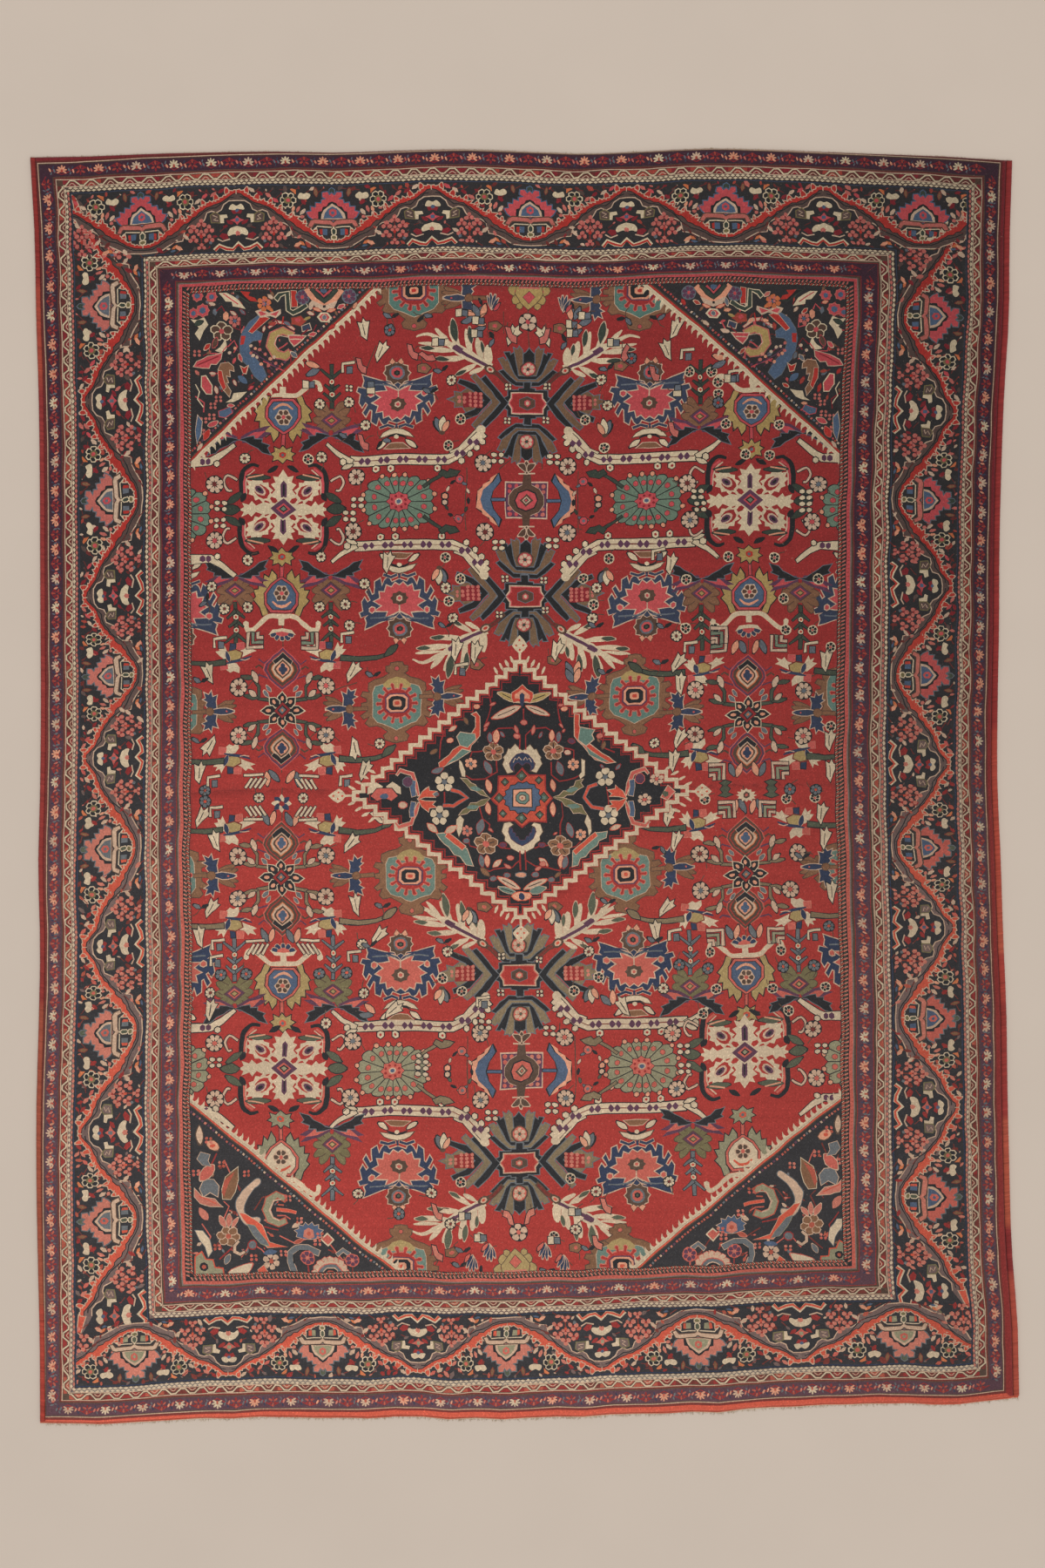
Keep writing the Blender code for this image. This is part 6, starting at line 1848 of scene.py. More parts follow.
    for x, y, x1, y1 in ((4.4, -14.4, 2.8, -16), (11.6, -18.4, 10.6, -20), (13.2, -19.6, 12.4, -17.6), (31,
            -6, 33, -6.4), (20.4, -1, 21.8, -2.4), (32.6, -3, 32, -5), (39.4, -4.6, 41.2, -3.6), (4.4, -3.2,
            6.2, -3.8), (10.2, -5.6, 11.6, -6.6), (14, -6.4, 12.8, -5.2), (22.6, -8.8, 20.8, -9.4), (1.4, -23,
            0.4, -21.6), (11.6, -26, 10.6, -24.4), (16.2, -26.2, 14.8, -27), (4.2, -22.4, 6, -22.6), (19.4,
            -9.6, 19, -11.4), (26.6, -9.6, 24.8, -8.6), (38.8, -9.2, 37, -10.4), (44.6, -3, 43.6, -4.6), (5.8,
            -26, 6.4, -28.2), (33.6, -11.6, 31.6, -12.2), (11, -31.4, 9.2, -31.6), (28.2, -18.4, 26.8, -17)):
        pen.leaf(pick("rose", "cream", "pink", "steel", "rust", "apricot", "brick"), x, y, x1, y1,
                 rim=pick("bark", "crimson", "cream"), width=0.15)


field()
fieldFill()
medallion()
for edges in spandrels:
    spandrel(*edges)
innerStripes()
mainBorder()
outerStripes()
print("drawn", len(pen.shapes), "shapes")


def triangulated():
    # One set of triangles for the whole drawing, which has every outline among its edges.
    grid = 3.0
    xs = np.linspace(clothLeft, clothRight, round((clothRight - clothLeft) / grid) + 1)
    ys = np.linspace(-clothEnd, clothEnd, round(2 * clothEnd / grid) + 1)
    gx, gy = np.meshgrid(xs, ys)
    points = [np.stack([gx.ravel(), gy.ravel()], axis=1)]
    edges = []
    start = len(points[0])
    for inset in (0.0, 0.35, 0.8):
        corners = pairs((clothLeft + inset, -clothEnd + inset, clothRight - inset, -clothEnd + inset,
                         clothRight - inset, clothEnd - inset, clothLeft + inset, clothEnd - inset))
        loop = divided(corners, 1.5)
        index = np.arange(start, start + len(loop))
        points.append(loop)
        edges.append(np.stack([index, np.roll(index, -1)], axis=1))
        start += len(loop)
    for _, loops, _ in pen.shapes:
        for loop in loops:
            index = np.arange(start, start + len(loop))
            points.append(np.clip(loop, (clothLeft, -clothEnd), (clothRight, clothEnd)))
            edges.append(np.stack([index, np.roll(index, -1)], axis=1))
            start += len(loop)
    points, edges = np.concatenate(points), np.concatenate(edges)
    made = delaunay_2d_cdt([Vector(p) for p in points.tolist()], edges.tolist(), [], 0, 2e-4, False)
    return np.array([v[:] for v in made[0]]), np.array(made[2], int)


def insideLoops(points, loops):
    # Whether the loops wind around each point.
    winding = np.zeros(len(points), int)
    chunk = 20000  # points at a time, for the memory
    for loop in loops:
        ahead = np.roll(loop, -1, axis=0)
        for start in range(0, len(points), chunk):
            px, py = points[start:start + chunk, :1], points[start:start + chunk, 1:]
            up = (loop[:, 1] <= py) & (ahead[:, 1] > py)
            down = (loop[:, 1] > py) & (ahead[:, 1] <= py)
            turn = ((ahead[:, 0] - loop[:, 0]) * (py - loop[:, 1])
                    - (px - loop[:, 0]) * (ahead[:, 1] - loop[:, 1]))
            winding[start:start + chunk] += (up & (turn > 0)).sum(axis=1) - (down & (turn < 0)).sum(axis=1)
    return winding != 0


def classified(middles):
    # The dye, zone and lightness of each triangle: the last shape drawn over its middle.
    cell = 2.0
    columns = int((clothRight - clothLeft) / cell) + 2
    rows = int(2 * clothEnd / cell) + 2
    cx = ((middles[:, 0] - clothLeft) / cell).astype(int)
    cy = ((middles[:, 1] + clothEnd) / cell).astype(int)
    order = np.argsort(cy * columns + cx, kind="stable")
    starts = np.searchsorted((cy * columns + cx)[order], np.arange(rows * columns + 1))
    dye = np.full(len(middles), dyeNames.index("red"))
    zone = np.full(len(middles), "field", dtype=object)
    tone = np.ones(len(middles))
    toneSpread = 0.035
    tones = np.random.default_rng(3).normal(1, toneSpread, len(pen.shapes))
    for number, (name, loops, own) in enumerate(pen.shapes):
        low = np.min([loop.min(axis=0) for loop in loops], axis=0)
        high = np.max([loop.max(axis=0) for loop in loops], axis=0)
        c0 = max(0, int((low[0] - clothLeft) / cell))
        c1 = min(columns - 1, int((high[0] - clothLeft) / cell))
        r0, r1 = max(0, int((low[1] + clothEnd) / cell)), min(rows - 1, int((high[1] + clothEnd) / cell))
        if c1 < c0 or r1 < r0:
            continue
        near = np.concatenate([order[starts[r * columns + c0]:starts[r * columns + c1 + 1]]
                               for r in range(r0, r1 + 1)])
        near = near[insideLoops(middles[near], loops)]
        dye[near] = dyeNames.index(name)
        tone[near] = tones[number] if own is None else 1
        if own:
            zone[near] = own
    halfWay = -2
    for name in ("field", "main"):  # two pieces each, for their size
        zone[(zone == name) & (middles[:, 1] < halfWay)] = name + "Near"
    return dye, zone, tone


flat, triangles = triangulated()
middles = flat[triangles].mean(axis=1)
dyeOf, zoneOf, toneOf = classified(middles)
print("triangles", len(triangles), {z: int((zoneOf == z).sum()) for z in set(zoneOf)})


fadeFrom, fadeLong = 75, 110  # where the far dye lots go over into the near ones
woolTint = (1.0, 0.93, 0.89)


def dyeColoursWithShade():
    far = np.array([linear(dyes[name][0]) for name in dyeNames])[dyeOf]
    near = np.array([linear(dyes[name][1]) for name in dyeNames])[dyeOf]
    share = np.clip((fadeFrom - middles[:, 1]) / fadeLong, 0, 1)[:, None]
    share = share * share * (3 - 2 * share)
    x, y = middles[:, 0], middles[:, 1]
    # Painted shade: the slow shift of light across the rug, then a duller, darker patch at the right.
    shade = (0.87 - 0.0009 * x - 0.0000085 * x * x) * (1 - 0.0006 * y)
    shade *= 1 - 0.09 * np.clip((x - 20) / 70, 0, 1) * np.clip((y + 100) / 90, 0, 1)
    return (far * (1 - share) + near * share) * (toneOf * shade)[:, None] * woolTint


baseTop, rimTop, pileFoot = 8.0, 5.5, 2.6
darkWear = 0.55


def heights():
    # The pile's top: worn rounder towards the rim, and lower in the dark wools, whose dye has eaten them.
    inset = np.minimum(np.minimum(flat[:, 0] - clothLeft, clothRight - flat[:, 0]),
                       clothEnd - np.abs(flat[:, 1]))
    rise = np.clip(inset / 0.8, 0, 1)
    top = rimTop + (baseTop - rimTop) * np.sqrt(rise * (2 - rise))
    worn = np.isin(dyeOf, [dyeNames.index(n) for n in lowDyes]) * darkWear
    total, count = np.zeros(len(flat)), np.zeros(len(flat))
    for k in range(3):
        np.add.at(total, triangles[:, k], worn)
        np.add.at(count, triangles[:, k], 1)
    drift = sum(np.sin(flat[:, 0] * a + flat[:, 1] * b + c) for a, b, c in
                ((0.05, 0.03, 1), (-0.04, 0.07, 2), (0.11, -0.02, 4), (0.02, 0.13, 5))) * 0.05
    return (top - total / np.maximum(count, 1) * rise + drift * rise) * mm


topHeight = heights()
floorPlace = lay(flat)
triangleColour = dyeColoursWithShade()


def meshPiece(name, points, faces, colours, material, smooth, uv):
    mesh = bpy.data.meshes.new(name)
    mesh.vertices.add(len(points))
    mesh.vertices.foreach_set("co", np.ascontiguousarray(points, np.float32).ravel())
    mesh.loops.add(faces.size)
    mesh.loops.foreach_set("vertex_index", np.ascontiguousarray(faces, np.int32).ravel())
    mesh.polygons.add(len(faces))
    size = faces.shape[1]
    mesh.polygons.foreach_set("loop_start", np.arange(0, faces.size, size, dtype=np.int32))
    mesh.polygons.foreach_set("use_smooth", np.asarray(smooth, bool))
    mesh.update(calc_edges=True)
    colour = mesh.attributes.new("dye", "FLOAT_COLOR", "CORNER")
    rgba = np.ones((faces.size, 4), np.float32)
    rgba[:, :3] = np.repeat(colours, size, axis=0)
    colour.data.foreach_set("color", rgba.ravel())
    layer = mesh.uv_layers.new(name="OFBake")
    layer.data.foreach_set("uv", np.ascontiguousarray(uv, np.float32).ravel())
    mesh.validate()
    mesh.materials.append(material)
    thing = bpy.data.objects.new(name, mesh)
    bpy.context.scene.collection.objects.link(thing)
    return thing


class Wire:
    # A shader socket; arithmetic on it adds Math nodes.

    def __init__(self, tree, socket):
        self.tree, self.socket = tree, socket

    def math(self, operation, *values):
        return self.tree.node("ShaderNodeMath", {"operation": operation}, dict(enumerate(values)))

    def __add__(self, other):
        return self.math("ADD", self, other)

    def __sub__(self, other):
        return self.math("SUBTRACT", self, other)

    def __mul__(self, other):
        return self.math("MULTIPLY", self, other)

    def __truediv__(self, other):
        return self.math("DIVIDE", self, other)

    def __radd__(self, other):
        return self.math("ADD", other, self)

    def __rsub__(self, other):
        return self.math("SUBTRACT", other, self)

    def __rmul__(self, other):
        return self.math("MULTIPLY", other, self)

    def floor(self):
        return self.math("FLOOR", self)

    def ranged(self, low, high, to=(0.0, 1.0)):
        return self.tree.node("ShaderNodeMapRange", {}, {0: self, 1: low, 2: high, 3: to[0], 4: to[1]})


class Finish:
    # One material's nodes.

    def __init__(self, name):
        self.material = bpy.data.materials.new(name)
        self.material.use_nodes = True
        self.nodes = self.material.node_tree.nodes
        self.links = self.material.node_tree.links
        self.shader = self.nodes["Principled BSDF"]

    def node(self, kind, settings, values, out=0):
        node = self.nodes.new(kind)
        for key, value in settings.items():
            setattr(node, key, value)
        for key, value in values.items():
            if isinstance(value, Wire):
                self.links.new(value.socket, node.inputs[key])
            else:
                node.inputs[key].default_value = value
        return Wire(self, node.outputs[out])

    def place(self):
        return self.node("ShaderNodeTexCoord", {}, {}, "Object")

    def axes(self):
        split = self.node("ShaderNodeSeparateXYZ", {}, {0: self.place()})
        return split, Wire(self, split.socket.node.outputs[1])

    def point(self, x, y, z):
        return self.node("ShaderNodeCombineXYZ", {}, {0: x, 1: y, 2: z})

    def noise(self, point, scale, detail=2.0, rough=0.5):
        return self.node("ShaderNodeTexNoise", {"noise_dimensions": "3D"},
                         {"Vector": point, "Scale": scale, "Detail": detail, "Roughness": rough})

    def speck(self, point):
        return self.node("ShaderNodeTexWhiteNoise", {"noise_dimensions": "3D"}, {"Vector": point})

    def blend(self, share, first, second):
        return self.node("ShaderNodeMix", {"data_type": "RGBA"}, {0: share, 6: first, 7: second}, 2)

    def lit(self, colour, value):
        # A colour made lighter or darker by a factor.
        return self.node("ShaderNodeVectorMath", {"operation": "SCALE"}, {0: colour, "Scale": value})

    def set(self, **values):
        for key, value in values.items():
            name = key.replace("_", " ")
            if isinstance(value, Wire):
                self.links.new(value.socket, self.shader.inputs[name])
            else:
                self.shader.inputs[name].default_value = value

    def bump(self, height, strength, distance):
        bump = self.node("ShaderNodeBump", {}, {"Strength": strength, "Distance": distance, "Height": height})
        self.links.new(bump.socket, self.shader.inputs["Normal"])


bareWool = (0.52, 0.38, 0.29, 1)


def pileFinish():
    finish = Finish("pile_wool")
    dye = finish.node("ShaderNodeAttribute", {"attribute_name": "dye"}, {}, "Color")
    x, y = finish.axes()
    knotWide, knotLong = 0.0030, 0.0034
    knot = finish.speck(finish.point((x / knotWide).floor(), (y / knotLong).floor(), 0.0))
    row = finish.speck(finish.point(0.0, (y / knotLong).floor(), 3.0))
    abrash = finish.noise(finish.point(x * 0.55, y * 16.0, 0.0), 1.6, 4.0, 0.62)
    patch = finish.noise(finish.place(), 2.4, 3.0, 0.55)
    grit = finish.noise(finish.place(), 330.0, 2.0, 0.6)
    fleck = knot.ranged(0.96, 0.98) * 0.22
    light = (1.0 + (knot - 0.5) * 0.26 + fleck + (row - 0.5) * 0.05 + (abrash - 0.5) * 0.34
             + (patch - 0.5) * 0.22 + (grit - 0.5) * 0.22)
    tint = finish.lit(dye, light)
    bare = finish.noise(finish.point(x, y * 1.4, 7.0), 120.0, 2.0, 0.7)
    worn = finish.noise(finish.place(), 5.0, 2.0, 0.5).ranged(0.42, 0.75, (0.0, 0.5))
    finish.set(Base_Color=finish.blend(bare.ranged(0.66, 0.74) * worn, tint, bareWool),
               Roughness=0.94, Sheen_Weight=0.12, Sheen_Roughness=0.5, Specular_IOR_Level=0.15)
    finish.bump(knot * 0.5 + grit * 0.7 + abrash * 0.6, 0.55, 0.0012)
    return finish.material


pileMaterial = pileFinish()


def planarUv(points, faces, seen):
    # Seen from above; walls and undersides are in a thin strip at one side.
    low, high = points.min(axis=0), points.max(axis=0)
    uv = ((points[:, :2] - low[:2]) / (high - low)[:2])[faces]
    hidden = ~seen
    seenWide, hiddenFrom, hiddenWide = 0.975, 0.985, 0.012
    uv[seen, :, 0] *= seenWide
    uv[hidden, :, 0] = hiddenFrom + uv[hidden, :, 0] * hiddenWide
    return uv.reshape(-1, 2)


def closedZone(name, zone):
    chosen = zoneOf == zone
    faces = triangles[chosen]
    used, local = np.unique(faces, return_inverse=True)
    faces = local.reshape(-1, 3)
    count = len(used)
    directed = np.concatenate([faces[:, [0, 1]], faces[:, [1, 2]], faces[:, [2, 0]]])
    code = directed[:, 0] * count + directed[:, 1]
    back = directed[:, 1] * count + directed[:, 0]
    rim = directed[~np.isin(code, back)]
    onRim, rimLocal = np.unique(rim, return_inverse=True)
    rimLocal = rimLocal.reshape(-1, 2)
    rimFlat = flat[used][onRim]
    made = delaunay_2d_cdt([Vector(p) for p in rimFlat.tolist()], rimLocal.tolist(), [], 0, 1e-6, True)
    if len(made[0]) != len(onRim):
        print("note:", name, "rim merged", len(onRim), len(made[0]))
    home = np.array([own[0] for own in made[3]])
    floorFaces = home[np.array(made[2], int)]
    centre = rimFlat[floorFaces].mean(axis=1)
    a, b = rimFlat[rimLocal[:, 0]], rimFlat[rimLocal[:, 1]]
    winding = np.zeros(len(centre), int)
    chunk = 2000
    for start in range(0, len(centre), chunk):
        px, py = centre[start:start + chunk, :1], centre[start:start + chunk, 1:]
        crossing = (a[:, 1] <= py) != (b[:, 1] <= py)
        at = a[:, 0] + (py - a[:, 1]) / np.where(crossing, b[:, 1] - a[:, 1], 1) * (b[:, 0] - a[:, 0])
        winding[start:start + chunk] = (crossing & (px < at)).sum(axis=1)
    floorFaces = floorFaces[winding % 2 == 1]
    top = np.column_stack([floorPlace[used], topHeight[used]])
    foot = np.column_stack([floorPlace[used][onRim], np.full(len(onRim), pileFoot * mm)])
    walls = np.concatenate([np.stack([rim[:, 1], rim[:, 0], count + rimLocal[:, 0]], axis=1),
                            np.stack([rim[:, 1], count + rimLocal[:, 0], count + rimLocal[:, 1]], axis=1)])
    points = np.concatenate([top, foot])
    allFaces = np.concatenate([faces, walls, count + floorFaces[:, ::-1]])
    wallColour = np.tile(linear(dyes["maroon"][0]), (len(walls) + len(floorFaces), 1))
    colours = np.concatenate([triangleColour[chosen], wallColour])
    smooth = np.zeros(len(allFaces), bool)
    smooth[:len(faces)] = True
    thing = meshPiece(name, points, allFaces, colours, pileMaterial, smooth,
                      planarUv(points, allFaces, smooth))
    print(name, len(allFaces))
    return thing


zoneNames = {"field": "pile_field_far", "fieldNear": "pile_field_near", "medallion": "pile_medallion",
             "corners": "pile_corners", "inner": "pile_inner_stripes", "main": "pile_main_border_far",
             "mainNear": "pile_main_border_near", "outer": "pile_outer_stripes"}
pilePieces = [closedZone(name, zone) for zone, name in zoneNames.items() if (zoneOf == zone).any()]


def plainFinish(name, colour):
    finish = Finish(name)
    grain = finish.noise(finish.place(), 3.0, 3.0)
    tint = finish.lit(finish.point(*colour), 0.97 + grain * 0.06)
    finish.set(Base_Color=tint, Roughness=0.9)
    return finish.material


def backing():
    # The woven foundation under the pile. Its underside shows the knots of the same drawing, paler.
    columns, rows = 124, 162
    xs, ys = np.linspace(clothLeft, clothRight, columns + 1), np.linspace(-clothEnd, clothEnd, rows + 1)
    gx, gy = np.meshgrid(xs, ys)
    grid = np.stack([gx.ravel(), gy.ravel()], axis=1)
    place = lay(grid)
    count = len(place)
    wide = columns + 1
    cells = (np.arange(rows)[:, None] * wide + np.arange(columns)).ravel()
    under = np.stack([cells, cells + wide, cells + wide + 1, cells + 1], axis=1)
    knotDye = classified(grid[under].mean(axis=1))[0]
    underColour = np.array([linear(dyes[name][1]) for name in dyeNames])[knotDye] * 0.85 + 0.035
    ring = ([i for i in range(columns)] + [j * wide + columns for j in range(rows)]
            + [rows * wide + i for i in range(columns, 0, -1)] + [j * wide for j in range(rows, 0, -1)])
    low, high = np.array(ring), count + np.arange(len(ring))
    nextLow, nextHigh, middle = np.roll(low, -1), np.roll(high, -1), np.full(len(ring), count + len(ring))
    foot = (pileFoot - 0.05) * mm
    points = np.concatenate([np.column_stack([place, np.zeros(count)]),
                             np.column_stack([place[low], np.full(len(ring), foot)]), [(0, 0, foot)]])
    rest = [(low, nextLow, nextHigh), (low, nextHigh, high), (middle, high, nextHigh)]
    faces = np.concatenate([under[:, [0, 1, 2]], under[:, [0, 2, 3]]]
                           + [np.stack(three, axis=1) for three in rest])
    colours = np.concatenate([underColour, underColour, np.tile(linear((150, 110, 95)), (3 * len(ring), 1))])
    seen = np.arange(len(faces)) < 2 * len(under)
    return meshPiece("rug_foundation", points, faces, colours, pileMaterial, np.zeros(len(faces), bool),
                     planarUv(points, faces, seen))


# Each side's shade is a painted shade factor: both bindings are darkened, the right one more than the left.
bindingLooks = {
    "left": {"rim": rimLeft, "side": -1, "width": 15.0, "shade": 0.88, "stops": (
        (-1.75, (176, 70, 60)), (-1.44, (178, 76, 62)), (-1.42, (166, 90, 68)), (-0.62, (162, 84, 66)),
        (-0.58, (150, 60, 56)), (0.2, (152, 62, 58)), (1.08, (146, 56, 56)), (1.14, (168, 76, 60)),
        (1.36, (166, 74, 60)), (1.4, (140, 52, 48)), (1.75, (138, 50, 48)))},
    "right": {"rim": rimRight, "side": 1, "width": 18.0, "shade": 0.78, "stops": (
        (-1.7, (180, 86, 68)), (-1.35, (178, 82, 68)), (-1.33, (140, 52, 52)), (-1.22, (142, 52, 52)),
        (-1.2, (184, 92, 70)), (-0.92, (180, 88, 70)), (-0.9, (158, 62, 58)), (-0.6, (160, 64, 58)),
        (-0.58, (172, 70, 60)), (-0.47, (170, 68, 60)), (-0.45, (184, 92, 72)), (-0.23, (178, 80, 64)),
        (0.14, (172, 72, 60)), (0.18, (146, 52, 50)), (1.75, (142, 50, 50)))},
}
bindingHeight, wrapPitch = 8.4, 4.0
wrapLean, leanRun, bindingGap = 1.4, 8, 0.15


def tube(points):
    # Triangles over rings of points, closed at both ends, with the ring and column of each corner.
    rings, sides = points.shape[:2]
    r, c = (grid.ravel() for grid in np.meshgrid(np.arange(rings - 1), np.arange(sides), indexing="ij"))
    ring = np.concatenate([np.stack([r, r, r + 1], axis=1), np.stack([r, r + 1, r + 1], axis=1)])
    column = np.concatenate([np.stack([c, c + 1, c + 1], axis=1), np.stack([c, c + 1, c], axis=1)])
    fan = np.array([(0, k + 1, k) for k in range(1, sides - 1)])
    ring = np.concatenate([ring, np.zeros_like(fan), np.full_like(fan, rings - 1)])
    column = np.concatenate([column, fan, fan[:, ::-1]])
    faces = ring * sides + column % sides
    a, b, c = (points.reshape(-1, 3)[faces[:, k]] for k in range(3))
    if np.einsum("ij,ij", a, np.cross(b, c)) < 0:
        faces, ring, column = faces[:, ::-1], ring[:, ::-1], column[:, ::-1]
    return faces, ring, column


def foldedUv(share, across, rows):
    # A long thin piece laid out in rows.
    row = np.clip(np.floor(share.mean(axis=1) * rows), 0, rows - 1)[:, None]
    u = np.clip(share * rows - row, -0.01, 1.01)
    return np.stack([0.01 + 0.98 * u, (row + 0.04 + 0.92 * across) / rows], axis=-1).reshape(-1, 2)


def sideways(line):
    # The direction along a line of floor points, and the one to its left.
    ahead = np.gradient(line, axis=0)
    ahead /= np.linalg.norm(ahead, axis=1)[:, None]
    return ahead, np.stack([-ahead[:, 1], ahead[:, 0]], axis=1)


def wrappedCord(side):
    # Wool wrapped closely around the outermost warps.
    look = bindingLooks[side]
    rim = look["rim"]
    chance = np.random.default_rng(5 if side == "left" else 6)
    along = np.concatenate([[0], np.cumsum(np.linalg.norm(np.diff(rim, axis=0), axis=1))])
    count = round(along[-1] / (wrapPitch * mm))
    rings = 3 * count + 1
    at = np.linspace(0, along[-1], rings)
    spine = np.stack([np.interp(at, along, rim[:, 0]), np.interp(at, along, rim[:, 1])], axis=1)
    half = look["width"] / 2 * mm
    ahead, left = sideways(spine)
    out = -left * look["side"]
    spine = spine + out * (half + bindingGap * mm)
    profile = pairs((-1, 0, -1, 0.34, -0.68, 0.86, 0, 1, 0.68, 0.86, 1, 0.34, 1, 0))
    crest = np.array((0.0, 1.0, 0.8))[np.arange(rings) % 3]
    size = np.repeat(chance.uniform(0.96, 1.0, count + 1), 3)[:rings] * (0.93 + 0.07 * crest)
    lean = np.clip(np.minimum(at, along[-1] - at) / (leanRun * mm), 0, 1) * wrapLean * mm
    points = np.empty((rings, len(profile), 3))
    for k, (a, z) in enumerate(profile):
        points[:, k, :2] = spine + out * (a * half * size)[:, None] + ahead * (a * lean)[:, None]
        points[:, k, 2] = z * bindingHeight * mm * size
    faces, ring, column = tube(points)
    points = points.reshape(-1, 3)
    stops = np.array([stop[0] for stop in look["stops"]])
    shades = np.array([linear(stop[1]) for stop in look["stops"]])
    middle = points[faces].mean(axis=1)[:, 1]
    wraps = chance.normal(1, 0.09, count + 1)[ring.min(axis=1) // 3]
    # Painted shade: the grooves between the wraps are coloured darker.
    grooveShade = 0.84 + 0.16 * crest[ring].mean(axis=1)
    colours = np.stack([np.interp(middle, stops, shades[:, c]) for c in range(3)], axis=1)
    colours *= (wraps * grooveShade)[:, None] * np.array(woolTint) * look["shade"]
    return meshPiece("binding_" + side + "_wraps", points, faces, colours, bindingMaterial,
                     np.ones(len(faces), bool), foldedUv(ring / (rings - 1), column / len(profile), 8))


fringeLooks = {
    "near": {"web": 7.4, "strands": 1500, "longest": 9.0, "shortest": 2.5, "away": -1, "red": (198, 92, 70)},
    "far": {"web": 2.3, "strands": 900, "longest": 4.5, "shortest": 0.8, "away": 1, "red": (138, 56, 58)},
}


def webAndLocks(end):
    # A flat woven band, and the loose warp ends that leave it.
    look = fringeLooks[end]
    away = look["away"]
    rim = rimFar if away > 0 else rimNear
    solid = [v.co.x for v in frame["nodes"]["fringe_" + end].data.vertices]
    chance = np.random.default_rng(21 if away > 0 else 22)
    count = 540
    xs = np.linspace(min(solid) + 0.5 * mm, max(solid) - 0.5 * mm, count)
    ys = np.interp(xs, rim[:, 0], rim[:, 1])
    fray = 0.92 + 0.05 * np.sin(xs * 9 + 1) * np.sin(xs * 31) + chance.uniform(-0.05, 0.05, count)
    reach = look["web"] * mm * fray
    tall = 2.0 * mm
    points = np.empty((count, 6, 3))
    for k, (out, z) in enumerate(((0, 0), (0, 1), (0.35, 0.95), (0.7, 1), (1, 0.55), (1, 0))):
        points[:, k] = np.stack([xs, ys + away * reach * out, np.full(count, tall * z)], axis=1)
    faces, ring, column = tube(points)
    allPoints, allFaces = [points.reshape(-1, 3)], [faces]
    shares, places = [ring / (count - 1)], [column / 6 * 0.6]
    strandRings, strandSides = 4, 3
    for k in range(look["strands"]):
        x = chance.uniform(xs[0] + 0.001, xs[-1] - 0.001)
        root = np.interp(x, xs, ys) + away * look["web"] * mm * 0.35
        long = look["web"] * mm * 0.55 + mm * (look["shortest"] + (look["longest"] - look["shortest"])
                                               * chance.random() ** 2)
        lean = chance.normal(0, 0.4) * long
        curl = chance.uniform(-0.12, 0.12) * long
        thick = chance.uniform(0.35, 0.7) * mm
        strand = np.empty((strandRings, strandSides, 3))
        for n, share in enumerate(np.linspace(0, 1, strandRings)):
            wide = thick * (1 - 0.55 * share)
            middle = np.array((x + lean * share + curl * math.sin(share * 3.1), root + away * long * share))
            high = 1.9 * mm * (1 - share) ** 2 + 0.75 * wide
            for m, (dx, dz) in enumerate(((-1, -0.7), (1, -0.7), (0, 0.9))):
                strand[n, m] = (middle[0] + dx * wide, middle[1], max(high + dz * wide, 0))
        faces, ring, column = tube(strand)
        allFaces.append(faces + len(allPoints[0]) + strandRings * strandSides * k)
        allPoints.append(strand.reshape(-1, 3))
        shares.append(np.full(ring.shape, (x - xs[0]) / (xs[-1] - xs[0])) + (column % 2) * 0.0002)
        places.append(0.65 + ring / 3 * 0.3)
    webFaces = len(allFaces[0])
    points, faces = np.concatenate(allPoints), np.concatenate(allFaces)
    middle = points[faces].mean(axis=1)
    ends = np.abs(middle[:, 1] - np.interp(middle[:, 0], xs, ys)) / (look["web"] * mm)
    waves = ((3.1, 0.4), (7.7, 2.0), (17.0, 4.1), (41.0, 1.0))
    drift = sum(np.sin(middle[:, 0] * a + b) for a, b in waves) / len(waves)
    bare = np.clip((ends - 0.55 + 0.3 * drift) * 2.5, 0, 1)[:, None]
    tone = np.concatenate([chance.normal(1, 0.08, webFaces), np.repeat(
        chance.normal(1, 0.12, look["strands"]), (len(faces) - webFaces) // look["strands"])])
    colours = (linear(look["red"]) * (1 - bare) + linear((204, 186, 160)) * bare) * tone[:, None] * 0.84
    return meshPiece("web_" + end + "_locks", points, faces, colours, cottonMaterial,
                     np.zeros(len(faces), bool), foldedUv(np.concatenate(shares), np.concatenate(places), 6))


def threadFinish(name, scale, rough):
    # Binding wool or warp cotton.
    finish = Finish(name)
    dye = finish.node("ShaderNodeAttribute", {"attribute_name": "dye"}, {}, "Color")
    fuzz = finish.noise(finish.place(), scale, 3.0, 0.6)
    stain = finish.noise(finish.place(), 9.0, 2.0, 0.5)
    finish.set(Base_Color=finish.lit(dye, 0.86 + (fuzz - 0.5) * 0.5 + stain * 0.28), Roughness=rough,
               Sheen_Weight=0.1, Specular_IOR_Level=0.15)
    finish.bump(fuzz, 0.5, 0.0008)
    return finish.material


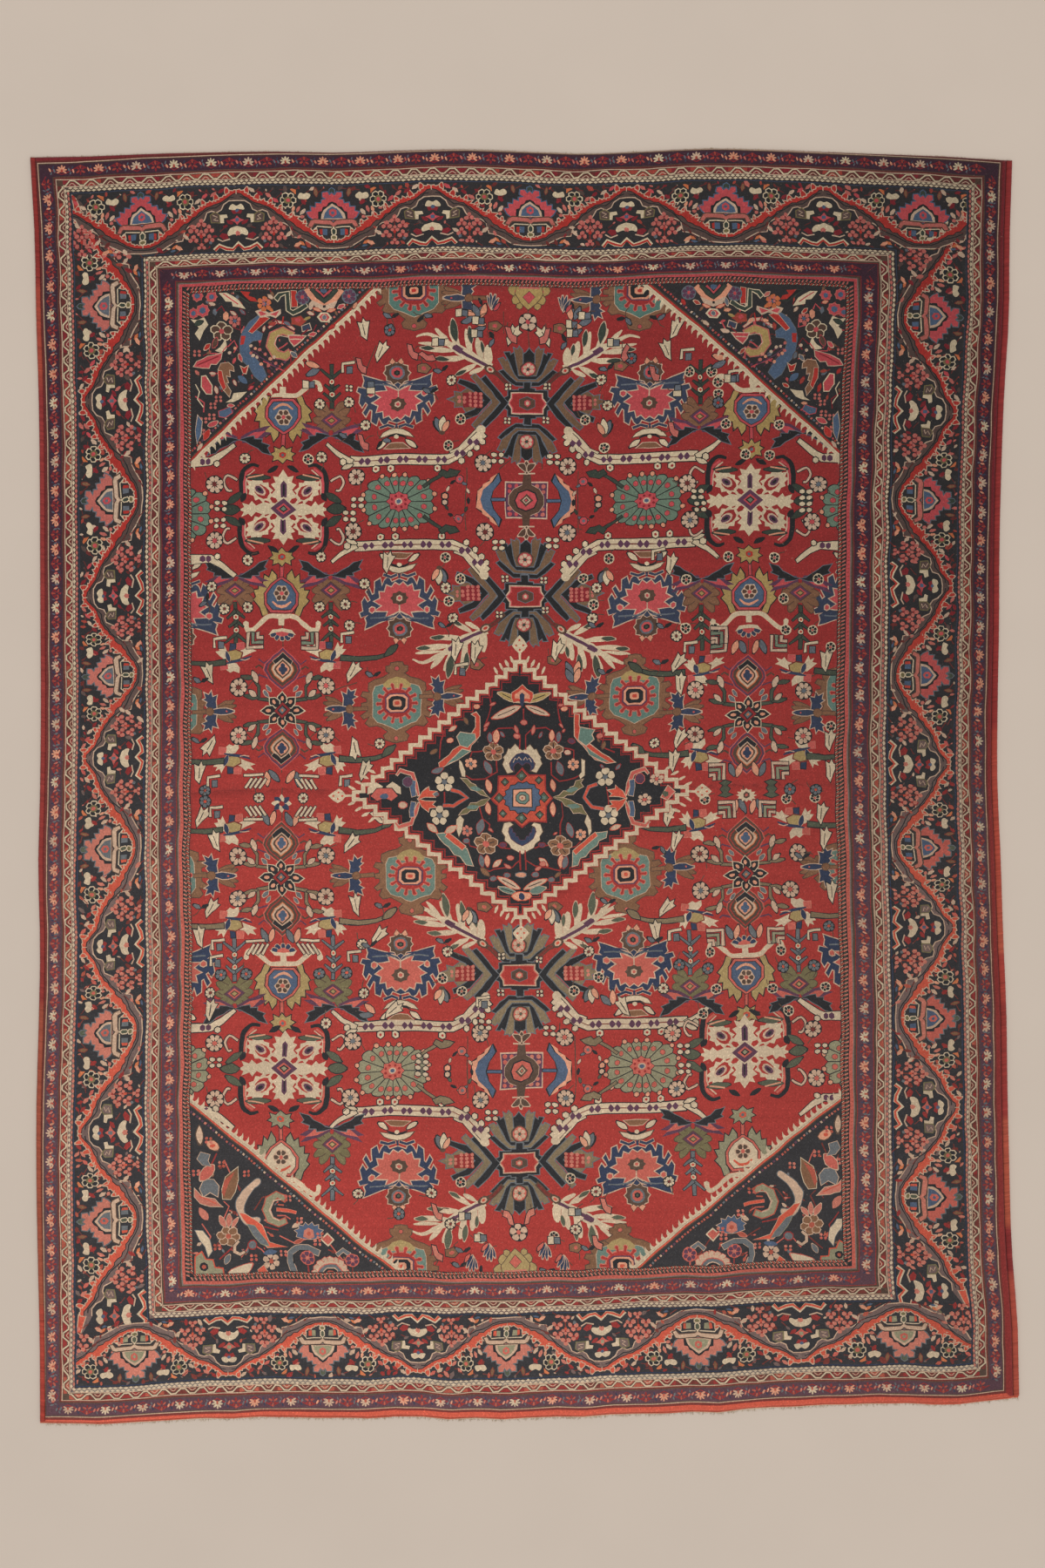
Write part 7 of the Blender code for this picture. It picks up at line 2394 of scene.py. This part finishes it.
bindingMaterial = threadFinish("binding_wool", 420.0, 0.92)
cottonMaterial = threadFinish("web_cotton", 700.0, 0.95)
cords = [wrappedCord(side) for side in ("left", "right")]
for side, cord in zip(("left", "right"), cords):
    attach(cord, "root")
    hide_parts("binding_" + side)
webs = [webAndLocks(end) for end in ("near", "far")]
for end, web in zip(("near", "far"), webs):
    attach(web, "root")
    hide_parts("fringe_" + end)
print("bindings and webs")

foundation = backing()
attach(foundation, "root")
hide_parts("rug_cloth")
for piece in pilePieces:
    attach(piece, "root")
print("triangles in all", sum(len(p.vertices) - 2 for o in pilePieces + cords + webs + [foundation]
                               for p in o.data.polygons))


def floorAndLight():
    mesh = bpy.data.meshes.new("floor")
    size, level = 12, -0.0005
    mesh.from_pydata([(x * size, y * size, level) for x, y in ((-1, -1), (1, -1), (1, 1), (-1, 1))], [],
                     [(0, 1, 2, 3)])
    mesh.materials.append(plainFinish("floor_paint", linear((198, 184, 171))))
    floor = bpy.data.objects.new("floor", mesh)
    bpy.context.scene.collection.objects.link(floor)
    world = bpy.data.worlds.new("studio")
    world.use_nodes = True
    world.node_tree.nodes["Background"].inputs[0].default_value = (1.0, 0.99, 0.975, 1)
    world.node_tree.nodes["Background"].inputs[1].default_value = 0.80
    bpy.context.scene.world = world
    sun = bpy.data.lights.new("window", "SUN")
    sun.energy = 0.85
    sun.angle = math.radians(35)
    sun.color = (1.0, 0.98, 0.95)
    lamp = bpy.data.objects.new("window", sun)
    lamp.rotation_euler = (math.radians(38), 0, math.radians(35))
    bpy.context.scene.collection.objects.link(lamp)
    bpy.context.scene.view_settings.view_transform = "Standard"


def cameraAbove():
    lens, sensor, tall = 50.0, 36.0, 4.32
    data = bpy.data.cameras.new("camera")
    data.lens, data.sensor_width = lens, sensor
    data.clip_end = 50
    camera = bpy.data.objects.new("camera", data)
    camera.location = (-0.0053, 0.0077, tall * lens / sensor)
    bpy.context.scene.collection.objects.link(camera)
    bpy.context.scene.camera = camera


floorAndLight()
cameraAbove()
